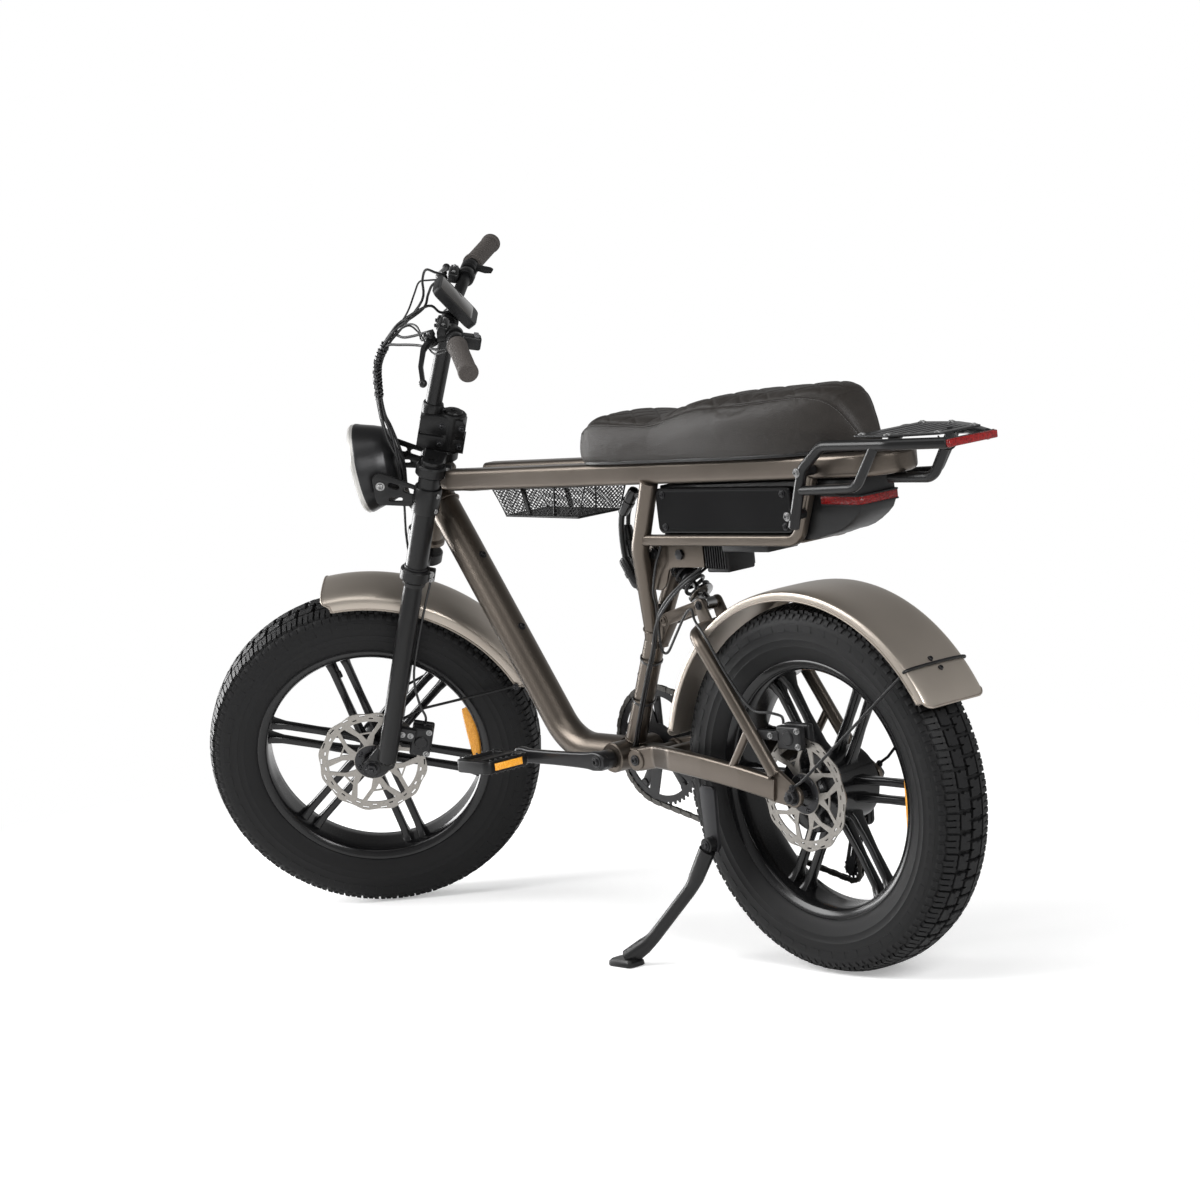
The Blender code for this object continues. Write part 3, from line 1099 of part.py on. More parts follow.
# Rocker: two straps on the seat tube's lug with a slotted tip round the ear bolt
rocker_hub = pivot("rocker_pivot", bike, (LINK_PIVOT[0], 0, LINK_PIVOT[1]))
tip = Vector((SHOCK_REAR[0], SHOCK_REAR[1]))
root = Vector(LINK_PIVOT)
along_link = (root - tip).normalized()
across_link = Vector((-along_link.y, along_link.x))
slot = []
for turn in range(5):
    angle = math.pi / 2 + math.pi * turn / 4
    slot.append(tip - along_link * 0.0008 + ROCKER_SLOT_HALF * (across_link * math.sin(angle)
                                                             + along_link * math.cos(angle)))
for turn in range(5):
    angle = 3 * math.pi / 2 + math.pi * turn / 4
    slot.append(tip + along_link * ROCKER_SLOT + ROCKER_SLOT_HALF * (across_link * math.sin(angle)
                                                                     + along_link * math.cos(angle)))
rocker_outline = hull([(*LINK_PIVOT, SHOCK_EYE_RADIUS), (*SHOCK_REAR, 0.0098)])
straps = [plate("rocker_strap", [rocker_outline, [tuple(p) for p in slot]], ROCKER_THICKNESS,
                upright(side * ROCKER_Y), BRONZE, rocker_hub) for side in (1, -1)]
straps[0].name = "rocker"
web_middle = root - along_link * 0.038
web = box("rocker_web", (0.030, 2 * ROCKER_Y, 0.011), (web_middle.x, 0, web_middle.y), BRONZE, rocker_hub,
          turn=-math.atan2(along_link.y, along_link.x))
rocker_pin = cross_rod("rocker_pin", *LINK_PIVOT, -ROCKER_Y - 0.004, ROCKER_Y + 0.004, LINK_BOLT_RADIUS,
                       BRONZE,
                       rocker_hub, sides=16)
join(straps[0], straps[1], web, rocker_pin)


# Chain drive: belt paths round the sprockets and pulleys, and toothed outlines
def pitch_radius(teeth):
    return CHAIN_PITCH / (2 * math.sin(math.pi / teeth))


def belt(wheels, offset, step=math.radians(15)):
    """A closed belt round wheels given as (x, z, radius, sense), set off to the path's left."""
    rounds = [(Vector((x, z)), sense * radius - offset, sense) for x, z, radius, sense in wheels]
    links = []
    for (c0, r0, s0), (c1, r1, s1) in zip(rounds, rounds[1:] + rounds[:1]):
        gap = c1 - c0
        way = math.atan2(gap.y, gap.x) - math.asin((r1 - r0) / gap.length)
        left = Vector((-math.sin(way), math.cos(way)))
        links.append((way, c0 - left * r0, c1 - left * r1))
    path = []
    for number, (centre, radius, sense) in enumerate(rounds):
        arrive = links[number - 1]
        leave = links[number]
        turn = (leave[0] - arrive[0]) % (2 * math.pi)
        if sense < 0:
            turn = turn - 2 * math.pi
        count = max(2, round(abs(turn) / step))
        for k in range(count + 1):
            way = arrive[0] + turn * k / count
            left = Vector((-math.sin(way), math.cos(way)))
            path.append(tuple(centre - left * radius))
    return path


def toothed(teeth, centre=(0.0, 0.0)):
    """The outline of a sprocket whose tips reach the chain's pitch line."""
    pitch = pitch_radius(teeth)
    outline = []
    for tooth in range(teeth):
        for share, radius in ((0.0, pitch), (0.5, pitch - TOOTH_ROOT)):
            angle = 2 * math.pi * (tooth + share) / teeth
            outline.append((centre[0] + radius * math.cos(angle), centre[1] + radius * math.sin(angle)))
    return outline


wheels = [(CRANK_X, CRANK_Z, pitch_radius(CHAINRING_TEETH), 1),
          (REAR_X, TYRE_RADIUS, pitch_radius(FREEWHEEL_TEETH), 1),
          (*GUIDE_PULLEY, PULLEY_PITCH, -1), (*TENSION_PULLEY, PULLEY_PITCH, 1)]
chain = plate("chain", [belt(wheels, -CHAIN_HALF_HEIGHT), belt(wheels, CHAIN_HALF_HEIGHT)], CHAIN_WIDTH,
              upright(CHAINLINE), DARK_STEEL, swing)
channel = plate("chain_channel", [belt(wheels, -CHAIN_ROOF), belt(wheels, CHAIN_HALF_HEIGHT + 0.002)],
                CHAIN_INNER_WIDTH, upright(CHAINLINE), DARK_STEEL, swing)
cut(chain, channel)

# Freewheel on the axle beside the motor
sprocket_hub = empty("freewheel_axis", swing, rear_hub.location)
freewheel = plate("freewheel", [toothed(FREEWHEEL_TEETH)], SPROCKET_THICKNESS, upright(CHAINLINE), DARK_STEEL,
                  sprocket_hub)
join(freewheel, cross_rod("freewheel_body", 0, 0, -MOTOR_RIGHT - GAP, CHAINLINE - 0.006, 0.0200, DARK_STEEL,
                          sprocket_hub, sides=14))
cut(freewheel, cross_rod("freewheel_bore", 0, 0, -0.10, -0.02, AXLE_RADIUS + GAP, DARK_STEEL, sprocket_hub))

# Derailleur: body behind the dropout and a swinging cage with two pulleys
hanger_face = STAY_Y - DROPOUT_THICKNESS / 2 - GAP
body_depth = hanger_face + CHAINLINE - 0.0075
derailleur = plate("derailleur", [hull([(*HANGER, 0.0105), (*GUIDE_PULLEY, 0.0125)])], body_depth,
                   upright(-hanger_face + body_depth / 2), PLASTIC, swing)
cage_pin_y = -hanger_face + body_depth + GAP
join(derailleur, cross_rod("cage_pin", *GUIDE_PULLEY, cage_pin_y - 0.004, CHAINLINE + 0.0078, 0.0035,
                           PLASTIC, swing,
                           sides=16))
cage_hub = pivot("cage_pivot", swing, (GUIDE_PULLEY[0] - PIVOT_X, 0, GUIDE_PULLEY[1] - PIVOT_Z))
pivots["cage_pivot"] = Vector((GUIDE_PULLEY[0], 0, GUIDE_PULLEY[1]))
pulley_radius = PULLEY_PITCH - CHAIN_HALF_HEIGHT - 2 * GAP
cage_outline = hull([(*GUIDE_PULLEY, 0.0100), (*TENSION_PULLEY, 0.0100)])
cage = plate("derailleur_cage", [cage_outline], 0.002, upright(CHAINLINE - 0.0052), DARK_STEEL, cage_hub)
join(cage, plate("cage_inner", [cage_outline], 0.002, upright(CHAINLINE + 0.0052), DARK_STEEL, cage_hub))
for place in (GUIDE_PULLEY, TENSION_PULLEY):
    join(cage, cross_rod("pulley", *place, CHAINLINE - 0.0045, CHAINLINE + 0.0045, pulley_radius, DARK_STEEL,
                         cage_hub, sides=12))
cut(cage, cross_rod("cage_bore", *GUIDE_PULLEY, CHAINLINE - 0.02, CHAINLINE + 0.02, 0.0035 + GAP, DARK_STEEL,
                    cage_hub, sides=16))

# Crank: right arm with chainring and spindle in one, left arm on the spindle's end
tilt = Matrix.Translation((CRANK_X, 0, CRANK_Z)) @ Matrix.Rotation(-CRANK_TILT, 4, "Y")
ring_inner = pitch_radius(CHAINRING_TEETH) - 0.016
windows = []
for arm in range(5):
    middle = 2 * math.pi * (arm + 0.5) / 5
    window = []
    for step in range(4):
        angle = middle - 0.50 + 0.3333 * step
        window.append((CRANK_X + ring_inner * math.cos(angle), CRANK_Z + ring_inner * math.sin(angle)))
    for step in range(3):
        angle = middle + 0.33 - 0.33 * step
        window.append((CRANK_X + 0.038 * math.cos(angle), CRANK_Z + 0.038 * math.sin(angle)))
    windows.append(window)


def crank_arm(name, side):
    """A crank arm that widens at its root and boss, leaning out towards the pedal."""
    reach = side * CRANK_LENGTH
    rings = []
    for share, height, thick in ((-0.10, 0.016, 0.9), (-0.04, 0.030, 1.0), (0.06, 0.033, 1.0),
                                 (0.18, 0.024, 0.95),
                                 (0.55, 0.021, 0.85), (0.86, 0.022, 0.85), (0.96, 0.027, 0.95),
                                 (1.04, 0.026, 0.95), (1.09, 0.014, 0.85)):
        rise = min(max((share - 0.02) / 0.85, 0.0), 1.0)
        y = side * (CRANK_ROOT_Y + (CRANK_TIP_Y - CRANK_ROOT_Y) * rise)
        x = reach * share
        outline = rounded_rectangle(CRANK_THICKNESS * thick, height, 0.004, steps=1)
        rings.append([tilt @ Vector((x, y + across, up)) for across, up in outline])
    return loft(name, rings, DARK_STEEL, crank_axis)


crank_right = crank_arm("crank_right", -1)
chainring = plate("chainring", [toothed(CHAINRING_TEETH, (CRANK_X, CRANK_Z))] + windows, SPROCKET_THICKNESS,
                  upright(CHAINLINE), DARK_STEEL, crank_axis)
spider = cross_rod("spider", CRANK_X, CRANK_Z, CHAINLINE + 0.0005, -CRANK_ROOT_Y + 0.002, 0.027, DARK_STEEL,
                   crank_axis)
spindle_end = CRANK_ROOT_Y + CRANK_THICKNESS / 2 + 0.002
spindle = cross_rod("spindle", CRANK_X, CRANK_Z, -CRANK_ROOT_Y, spindle_end, SPINDLE_RADIUS, DARK_STEEL,
                    crank_axis, sides=16)
join(crank_right, chainring, spider, spindle)
crank_left = crank_arm("crank_left", 1)
join(crank_left, cross_rod("crank_boss", CRANK_X, CRANK_Z, BB_SHELL_HALF + 0.004, CRANK_ROOT_Y, 0.017,
                           DARK_STEEL,
                           crank_axis))
cut(crank_left, cross_rod("crank_bore", CRANK_X, CRANK_Z, 0.04, 0.12, SPINDLE_RADIUS + GAP, DARK_STEEL,
                          crank_axis, sides=16))

# Pedals: a caged platform round a bearing tube, with amber reflector blocks
for name, side, crank in (("pedal_left", 1, crank_left), ("pedal_right", -1, crank_right)):
    end = Matrix.Rotation(-CRANK_TILT, 3, "Y") @ Vector((side * CRANK_LENGTH, 0, 0))
    pedal_hub = empty(name + "_axis", crank_axis, (end.x, side * PEDAL_Y, end.z))
    join(crank, rod(name + "_pin", (CRANK_X + end.x, side * CRANK_TIP_Y, CRANK_Z + end.z),
                    (CRANK_X + end.x, side * (PEDAL_Y + 0.040),
                     CRANK_Z + end.z), PEDAL_AXLE_RADIUS, DARK_STEEL,
                    crank_axis, sides=16))
    cage_box = rounded_rectangle(PEDAL_DEPTH, PEDAL_LENGTH, 0.012, steps=2)
    pedal = plate(name, [cage_box], PEDAL_HEIGHT, level(0), PLASTIC, pedal_hub)
    cut(pedal, *[box("pedal_hole", (0.024, PEDAL_LENGTH - 0.024, 0.05), (shift, 0, 0), PLASTIC, pedal_hub)
                 for shift in (-0.0265, 0.0265)])
    cut(pedal, rod(name + "_bore", (0, -0.06, 0), (0, 0.06, 0), PEDAL_AXLE_RADIUS + GAP, PLASTIC, pedal_hub,
                   sides=16))

# Fork: crowns, outer tubes, steerer and the sliders that run inside the tubes
crown_outline = hull([(LEG_LEAD, LEG_SPREAD, CROWN_WAIST), (LEG_LEAD * 0.4, 0.0, CROWN_WAIST),
                      (LEG_LEAD, -LEG_SPREAD, CROWN_WAIST)], count=18)


def crown(name, span):
    """A slim bridge with a clamp round each outer tube and a hub round the steerer."""
    bridge = plate(name, [crown_outline], span[1] - span[0], level(sum(span) / 2), BLACK, steering)
    rounds = [(0.0, 0.0, 0.030)] + [(LEG_LEAD, side * LEG_SPREAD, CROWN_CLAMP_RADIUS) for side in (1, -1)]
    join(bridge, *[rod(name + "_clamp", (x, y, span[0] - 0.0004), (x, y, span[1] + 0.0004), radius, BLACK,
                       steering,
                       sides=12) for x, y, radius in rounds])
    return cut(bridge, *[rod(name + "_room", (LEG_LEAD, side * LEG_SPREAD, 0.35),
                             (LEG_LEAD, side * LEG_SPREAD, 0.63),
                             FORK_TUBE_RADIUS + GAP, BLACK, steering, sides=20) for side in (1, -1)])


lower_crown = crown("lower_crown", LOWER_CROWN)
join(lower_crown, rod("steerer", (0, 0, LOWER_CROWN[0] + 0.004), (0, 0, STEM_BLOCK[1] + 0.002),
                      STEERER_RADIUS,
                      BLACK, steering, sides=20))
upper_crown = crown("upper_crown", UPPER_CROWN)
cut(upper_crown, rod("crown_bore", (0, 0, UPPER_CROWN[0] - 0.01), (0, 0, UPPER_CROWN[1] + 0.01),
                     STEERER_RADIUS + GAP, BLACK, steering, sides=20))
tube_inner = FORK_TUBE_RADIUS - FORK_TUBE_WALL
tube_profile = [(0.0, FORK_TUBE_TOP), (FORK_TUBE_RADIUS - 0.002, FORK_TUBE_TOP),
                (FORK_TUBE_RADIUS, FORK_TUBE_TOP - 0.002), (FORK_TUBE_RADIUS, FORK_TUBE_BOTTOM),
                (tube_inner, FORK_TUBE_BOTTOM), (tube_inner, FORK_TUBE_TOP - FORK_CAP),
                (0.0, FORK_TUBE_TOP - FORK_CAP)]
for name, side in (("fork_tube_left", 1), ("fork_tube_right", -1)):
    turned(name, tube_profile, BLACK, steering, steps=20, closed=False,
           frame=Matrix.Translation((LEG_LEAD, side * LEG_SPREAD, 0)))
axle_place = (AXLE_LEAD, AXLE_RISE)
for name, side in (("slider_left", 1), ("slider_right", -1)):
    slider = rod(name, (LEG_LEAD, side * LEG_SPREAD, SLIDER_BOTTOM),
                 (LEG_LEAD, side * LEG_SPREAD, SLIDER_TOP),
                 SLIDER_RADIUS, BLACK, fork_slide, sides=20)
    lug = plate(name + "_lug", [hull([(*axle_place, 0.0165),
                                      (LEG_LEAD, SLIDER_BOTTOM + 0.030, SLIDER_RADIUS - 0.001),
                                      (LEG_LEAD - 0.004, SLIDER_BOTTOM - 0.004, 0.012)])],
                SLIDER_LUG_THICKNESS, upright(side * SLIDER_LUG_Y), BLACK, fork_slide)
    join(slider, lug)
    cut(slider, cross_rod(name + "_bore", *axle_place, side * 0.05, side * 0.12, AXLE_RADIUS + GAP, BLACK,
                          fork_slide))
lug_face = SLIDER_LUG_Y + SLIDER_LUG_THICKNESS / 2 + GAP
front_axle = cross_rod("front_axle", *axle_place, -lug_face - 0.016, lug_face + 0.016, AXLE_RADIUS,
                       DARK_STEEL,
                       fork_slide)
for side in (1, -1):
    join(front_axle, cross_rod("front_nut", *axle_place, side * lug_face, side * (lug_face + NUT_LENGTH),
                               NUT_RADIUS, DARK_STEEL, fork_slide, sides=6))

# Front fender on the sliders: side tabs at the legs and a wire stay on each side
front_fender = fender_skin("front_fender", front_hub, FRONT_FENDER_CROWN, FRONT_FENDER_EDGE,
                           FRONT_FENDER_HALF,
                           FRONT_FENDER_ARC)
leg_offset = LEG_LEAD - AXLE_LEAD
tab_height = math.sqrt(FRONT_FENDER_EDGE ** 2 - leg_offset ** 2)
leg_inner = LEG_SPREAD - SLIDER_RADIUS - GAP
for side in (1, -1):
    tab = box("fender_tab", (0.014, leg_inner - FRONT_FENDER_HALF + 0.004, 0.036),
              (leg_offset, side * (leg_inner + FRONT_FENDER_HALF - 0.004) / 2,
               tab_height + 0.006), BLACK, front_hub)
    wire_y = FRONT_FENDER_HALF + 0.0005
    low_leg = Vector((leg_offset - 0.0165, side * 0.0735, 0.102))
    mid = Vector((leg_offset - 0.050, side * 0.0745, 0.130))
    hook = Vector((-0.2375, side * wire_y, 0.2010))
    wire = curve_tube("fender_wire", rounded_path([hook, mid, low_leg], 0.02, steps=2), STAY_WIRE, BLACK,
                      front_hub, resolution=1)
    join(front_fender, tab, wire)
leg_room = [rod("leg_room", (leg_offset, side * LEG_SPREAD, 0), (leg_offset, side * LEG_SPREAD, 0.46),
                SLIDER_RADIUS + GAP, BLACK, front_hub, sides=20) for side in (1, -1)]
cut(front_fender, *leg_room)
front_fender.parent = fork_slide
front_fender.location = front_hub.location

# Front brake caliper behind the left leg, and its hose along the leg
front_foot = box("front_caliper_foot", (0.034, 0.012, 0.025), (-0.0150, 0.0833, 0.0618), BLACK, fork_slide)
front_caliper = caliper_body("front_caliper", fork_slide, (-0.044, 0.0655, 0.048), (0.040, 0.034, 0.060),
                             axle_place, FRONT_ROTOR_RADIUS, FRONT_ROTOR_Y, front_foot)
cut(front_caliper, rod("caliper_leg_room", (LEG_LEAD, LEG_SPREAD, -0.02), (LEG_LEAD, LEG_SPREAD, 0.20),
                       SLIDER_RADIUS + GAP, BLACK, fork_slide, sides=20))
front_hose_points = [(-0.016, 0.089, 0.3700), (-0.0135, 0.088, 0.330), (-0.0105, 0.088, 0.250),
                     (-0.0130, 0.088, 0.180), (-0.030, 0.088, 0.130), (-0.044, 0.0855, 0.106),
                     (-0.0465, 0.076, 0.090), (-0.046, 0.072, 0.0835)]
front_hose_path = [(-0.016, 0.089, LOWER_CROWN[0] - 2 * GAP)] + smooth_path(front_hose_points, 2)
curve_tube("front_hose", front_hose_path + [(-0.046, 0.072, 0.078 + GAP)], 0.0023, BLACK, fork_slide,
           resolution=0)

# Stem with its mast and bar clamp
block_outline = [(STEM_TAIL, STEM_BLOCK[0]), (STEM_NOSE, STEM_BLOCK[0]), (STEM_NOSE, STEM_BLOCK[1] - 0.006),
                 (STEM_NOSE - 0.006, STEM_BLOCK[1]), (0.010, STEM_BLOCK[1] + 0.004),
                 (STEM_TAIL + 0.006, STEM_BLOCK[1]), (STEM_TAIL, STEM_BLOCK[1] - 0.010)]
stem = plate("stem_block", [block_outline], 2 * STEM_HALF_WIDTH, upright(0), BLACK, steering)
stem = finished(soften(stem, 0.003), "stem_mast")
mast = rod("mast", (MAST_LEAD_BOTTOM, 0, STEM_BLOCK[0] + 0.012), (MAST_LEAD_TOP, 0, BAR_HEIGHT), MAST_RADIUS,
           BLACK, steering)
clamp = cross_rod("bar_clamp", BAR_LEAD, BAR_HEIGHT, -BAR_CLAMP_HALF, BAR_CLAMP_HALF, BAR_CLAMP_RADIUS, BLACK,
                  steering)
cap = rod("stem_cap", (-0.010, 0, STEM_BLOCK[1]), (-0.010, 0, STEM_BLOCK[1] + 0.008), 0.017, BLACK, steering)
join(stem, mast, clamp, cap)

# Handlebar: straight middle, a rise on each side, grips swept back
half_bar = [(BAR_LEAD, 0.045, BAR_HEIGHT), (0.011, 0.112, BAR_HEIGHT + BAR_RISE - 0.011),
            (0.001, 0.200, BAR_HEIGHT + BAR_RISE - 0.002), (-0.028, 0.3275, BAR_HEIGHT + BAR_RISE)]
bar_corners = mirrored(half_bar)[::-1] + half_bar
bar_path = rounded_path(bar_corners, 0.05, steps=2)
curve_tube("handlebar", bar_path, BAR_RADIUS, BLACK, steering, resolution=3)
bar_over = 0.0005 * (Vector(half_bar[-1]) - Vector(half_bar[-2])).normalized()
half_room = half_bar[:-1] + [tuple(Vector(half_bar[-1]) + bar_over)]
bar_room = curve_tube("bar_room", rounded_path(mirrored(half_room)[::-1] + half_room, 0.05, steps=2),
                      BAR_RADIUS + GAP, BLACK, steering, resolution=3)
cut(stem, bar_room, rod("steerer_room", (0, 0, STEM_BLOCK[0] - 0.01), (0, 0, STEM_BLOCK[1] + 0.0025),
                        STEERER_RADIUS + GAP, BLACK, steering, sides=20))


def bar_at(y):
    """The bar's centre and its outward direction at a distance from the middle."""
    side = 1 if y > 0 else -1
    corners = [Vector((x, side * across, z)) for x, across, z in half_bar]
    for a, b in zip(corners, corners[1:]):
        if abs(y) <= abs(b.y) or b is corners[-1]:
            return a.lerp(b, (y - a.y) / (b.y - a.y)), (b - a).normalized()


def bar_frame(y):
    """Coordinates on the bar: Z along it and outwards, X ahead, Y up or down."""
    centre, way = bar_at(y)
    ahead = (Vector((1, 0, 0)) - way * way.x).normalized()
    third = way.cross(ahead)
    axes = Matrix((ahead, third, way)).transposed().to_4x4()
    return Matrix.Translation(centre) @ axes


for name, side in (("grip_left", 1), ("grip_right", -1)):
    start, way = bar_at(side * GRIP_START)
    end, way = bar_at(side * GRIP_END)
    length = (end - start).length
    r = GRIP_RADIUS
    profile = [(0.0, length), (r - 0.003, length), (r + 0.001, length - 0.004), (r + 0.001, length - 0.012),
               (r - 0.0015, length - 0.016)]
    for ring in range(3):
        base = length - 0.022 - ring * 0.032
        profile += [(r, base), (r - 0.0010, base - 0.025)]
    profile += [(r + 0.0015, 0.008), (r + 0.0015, 0.0), (0.0, 0.0)]
    axes = way.to_track_quat("Z", "Y").to_matrix().to_4x4()
    grip = turned(name, profile, GRIP_RUBBER, steering, steps=10, closed=False,
                  frame=Matrix.Translation(start) @ axes)
    cut(grip, bar_room)

# Brake levers: perch with a forked ear clamped on the bar, lever hinged on its pin
lever_ways = {}
for name, side in (("left", 1), ("right", -1)):
    hub_place = Vector((0.046, side * (PERCH_Y + 0.002), BAR_HEIGHT + LEVER_RISE))
    blade_way = Vector((0.0, side * 0.978, -0.205)).normalized()
    pull = Vector((-0.055, 0.0, 0.035)).normalized()
    pin_way = (blade_way.cross(pull) * side).normalized()
    lever_ways[name] = pin_way
    axes = Matrix.Translation(hub_place) @ pin_way.to_track_quat("Z", "Y").to_matrix().to_4x4()
    centre, way = bar_at(side * PERCH_Y)
    perch = rod("brake_perch_" + name, centre - way * PERCH_WIDTH / 2, centre + way * PERCH_WIDTH / 2,
                PERCH_RADIUS,
                BLACK, steering)
    arm = rod("perch_arm", centre, hub_place, 0.0085, BLACK, steering, sides=10)
    ear = rod("perch_ear", (0, 0, -0.0115), (0, 0, 0.0115), 0.0105, BLACK, steering, frame=axes, sides=16)
    tank = box("perch_tank", (0.018, 0.046, 0.017), centre + Vector((0.022, -side * 0.016, 0.006)), BLACK,
               steering)
    join(perch, arm, ear, tank)
    cut(perch, bar_room, rod("lever_gap", (0, 0, -LEVER_SLOT / 2), (0, 0, LEVER_SLOT / 2), 0.0150, BLACK,
                             steering,
                             frame=axes, sides=14))
    join(perch, rod("lever_pin", (0, 0, -0.009), (0, 0, 0.009), LEVER_PIN_RADIUS, BLACK, steering, frame=axes,
                    sides=12))
    lever_hub = pivot("lever_" + name + "_pivot", steering, hub_place)
    root = rod("lever_" + name, (0, 0, GAP - LEVER_SLOT / 2), (0, 0, LEVER_SLOT / 2 - GAP), 0.0085, BLACK,
               lever_hub,
               frame=axes, sides=16)
    blade_points = [hub_place + blade_way * 0.004, hub_place + blade_way * 0.030 + Vector((0.010, 0, -0.004)),
                    hub_place + blade_way * 0.085 + Vector((0.009, 0, -0.004)), hub_place + blade_way * 0.140]
    blade = curve_tube("lever_blade", rounded_path(blade_points, 0.05, steps=2), LEVER_RADIUS - 0.001,
                       BLACK, lever_hub,
                       resolution=1)
    tip_ball = ball("lever_ball", hub_place + blade_way * 0.141, 0.0075, BLACK, lever_hub)
    join(root, blade, tip_ball)
    cut(root, rod("lever_bore", (0, 0, -0.02), (0, 0, 0.02), LEVER_PIN_RADIUS + GAP, BLACK, lever_hub,
                  frame=axes,
                  sides=12))

# Thumb throttle on the right, control pad on the left, display over the bar's clamp
throttle_frame = bar_frame(THROTTLE_Y)
throttle_hub = pivot("throttle_pivot", steering, throttle_frame.translation)
throttle = rod("throttle", (0, 0, -THROTTLE_WIDTH / 2), (0, 0, THROTTLE_WIDTH / 2), THROTTLE_RADIUS, PLASTIC,
               throttle_hub, frame=throttle_frame)
paddle = box("throttle_paddle", (0.030, 0.008, 0.013), (-0.026, 0.004, 0), PLASTIC, throttle_hub,
             frame=throttle_frame,
             bevel=0.002)
join(throttle, paddle)
cut(throttle, rod("throttle_bore", (0, 0, -0.05), (0, 0, 0.05), BAR_RADIUS + 2 * GAP, PLASTIC, throttle_hub,
                  frame=throttle_frame, sides=20))
pad_frame = bar_frame(PAD_Y)
pad = rod("control_pad", (0, 0, -0.010), (0, 0, 0.010), 0.0160, PLASTIC, steering, frame=pad_frame)
pad_box = box("pad_box", (0.034, 0.024, 0.027), (-0.026, -0.004, 0.0), PLASTIC, steering, frame=pad_frame,
              bevel=0.003)
pad_keys = [box("pad_key", (0.010, 0.004, 0.008), (-0.034, -0.0173, along), PLASTIC, steering,
                frame=pad_frame)
            for along in (-0.008, 0.008)]
join(pad, pad_box, *pad_keys)
cut(pad, bar_room)
display_turn = -math.radians(38.6)
display = box("display", (0.098, 0.070, 0.018), (0.0165, 0, BAR_HEIGHT + DISPLAY_RISE), PLASTIC, steering,
              turn=display_turn, bevel=0.004)
screen_frame = (Matrix.Translation((0.0165, 0, BAR_HEIGHT + DISPLAY_RISE))
                @ Matrix.Rotation(display_turn, 4, "Y"))
cut(display, box("screen_recess", (0.074, 0.056, 0.004), (0.004, 0, 0.0090), PLASTIC, steering,
                 frame=screen_frame))
display_foot = rod("display_foot", (0.0185, 0, BAR_HEIGHT + BAR_CLAMP_RADIUS + GAP),
                   (0.0175, 0, BAR_HEIGHT + DISPLAY_RISE - 0.0055),
                   0.011, PLASTIC,
                   steering, sides=16)
join(display, display_foot)

# Headlight: drum with a recessed lens, held by two pierced arms clamped on the outer tubes
lamp_frame = Matrix.Translation((LAMP_LEAD, 0,
                                 LAMP_HEIGHT)) @ Matrix.Rotation(UPWARD + (UPWARD - HEAD_ANGLE), 4, "Y")
lens_radius = LAMP_RADIUS - LAMP_RIM
shell_profile = [(0.0, -LAMP_RECESS), (lens_radius, -LAMP_RECESS), (lens_radius, 0.0),
                 (LAMP_RADIUS - 0.001, 0.0),
                 (LAMP_RADIUS, -0.002), (LAMP_RADIUS - 0.002, -0.013),
                 (LAMP_BACK_RADIUS, -LAMP_DEPTH),
                 (LAMP_BACK_RADIUS * 0.80, -LAMP_DEPTH - LAMP_DOME * 0.6),
                 (LAMP_BACK_RADIUS * 0.45, -LAMP_DEPTH - LAMP_DOME), (0.0, -LAMP_DEPTH - LAMP_DOME)]
shell_body = turned("headlight_shell", shell_profile, BLACK, steering, steps=20, closed=False,
                    frame=lamp_frame)
arm_outline = hull([(LEG_LEAD, sum(LAMP_CLAMP) / 2, 0.016),
                    (LAMP_LEAD - 0.042, LAMP_HEIGHT + 0.022, 0.014),
                    (LAMP_LEAD - 0.050, LAMP_HEIGHT - 0.014, 0.010)])
for side in (1, -1):
    arm = plate("lamp_arm", [arm_outline], LAMP_ARM_THICKNESS, upright(side * LAMP_ARM_Y), BLACK, steering)
    ring = rod("lamp_clamp", (LEG_LEAD, side * LEG_SPREAD, LAMP_CLAMP[0]),
               (LEG_LEAD, side * LEG_SPREAD, LAMP_CLAMP[1]),
               FORK_TUBE_RADIUS + 0.004, BLACK, steering)
    side_bolt = cross_rod("lamp_bolt", LAMP_LEAD - 0.044, LAMP_HEIGHT + 0.012, side * 0.055,
                          side * (LAMP_ARM_Y + 0.008), 0.006,
                          BLACK, steering,
                          sides=12)
    join(shell_body, arm, ring, side_bolt)
cut(shell_body, *[rod("tube_room", (LEG_LEAD, side * LEG_SPREAD, 0.45), (LEG_LEAD, side * LEG_SPREAD, 0.62),
                      FORK_TUBE_RADIUS + GAP, BLACK, steering, sides=20) for side in (1, -1)])
lens_profile = [(0.0, 0.0065), (lens_radius * 0.5, 0.0045), (lens_radius * 0.85, 0.0005),
                (lens_radius - GAP, -0.003),
                (lens_radius - GAP, GAP - LAMP_RECESS), (0.0, GAP - LAMP_RECESS)]
turned("headlight_lens", lens_profile, CLEAR_LENS, steering, steps=20, closed=False, frame=lamp_frame)

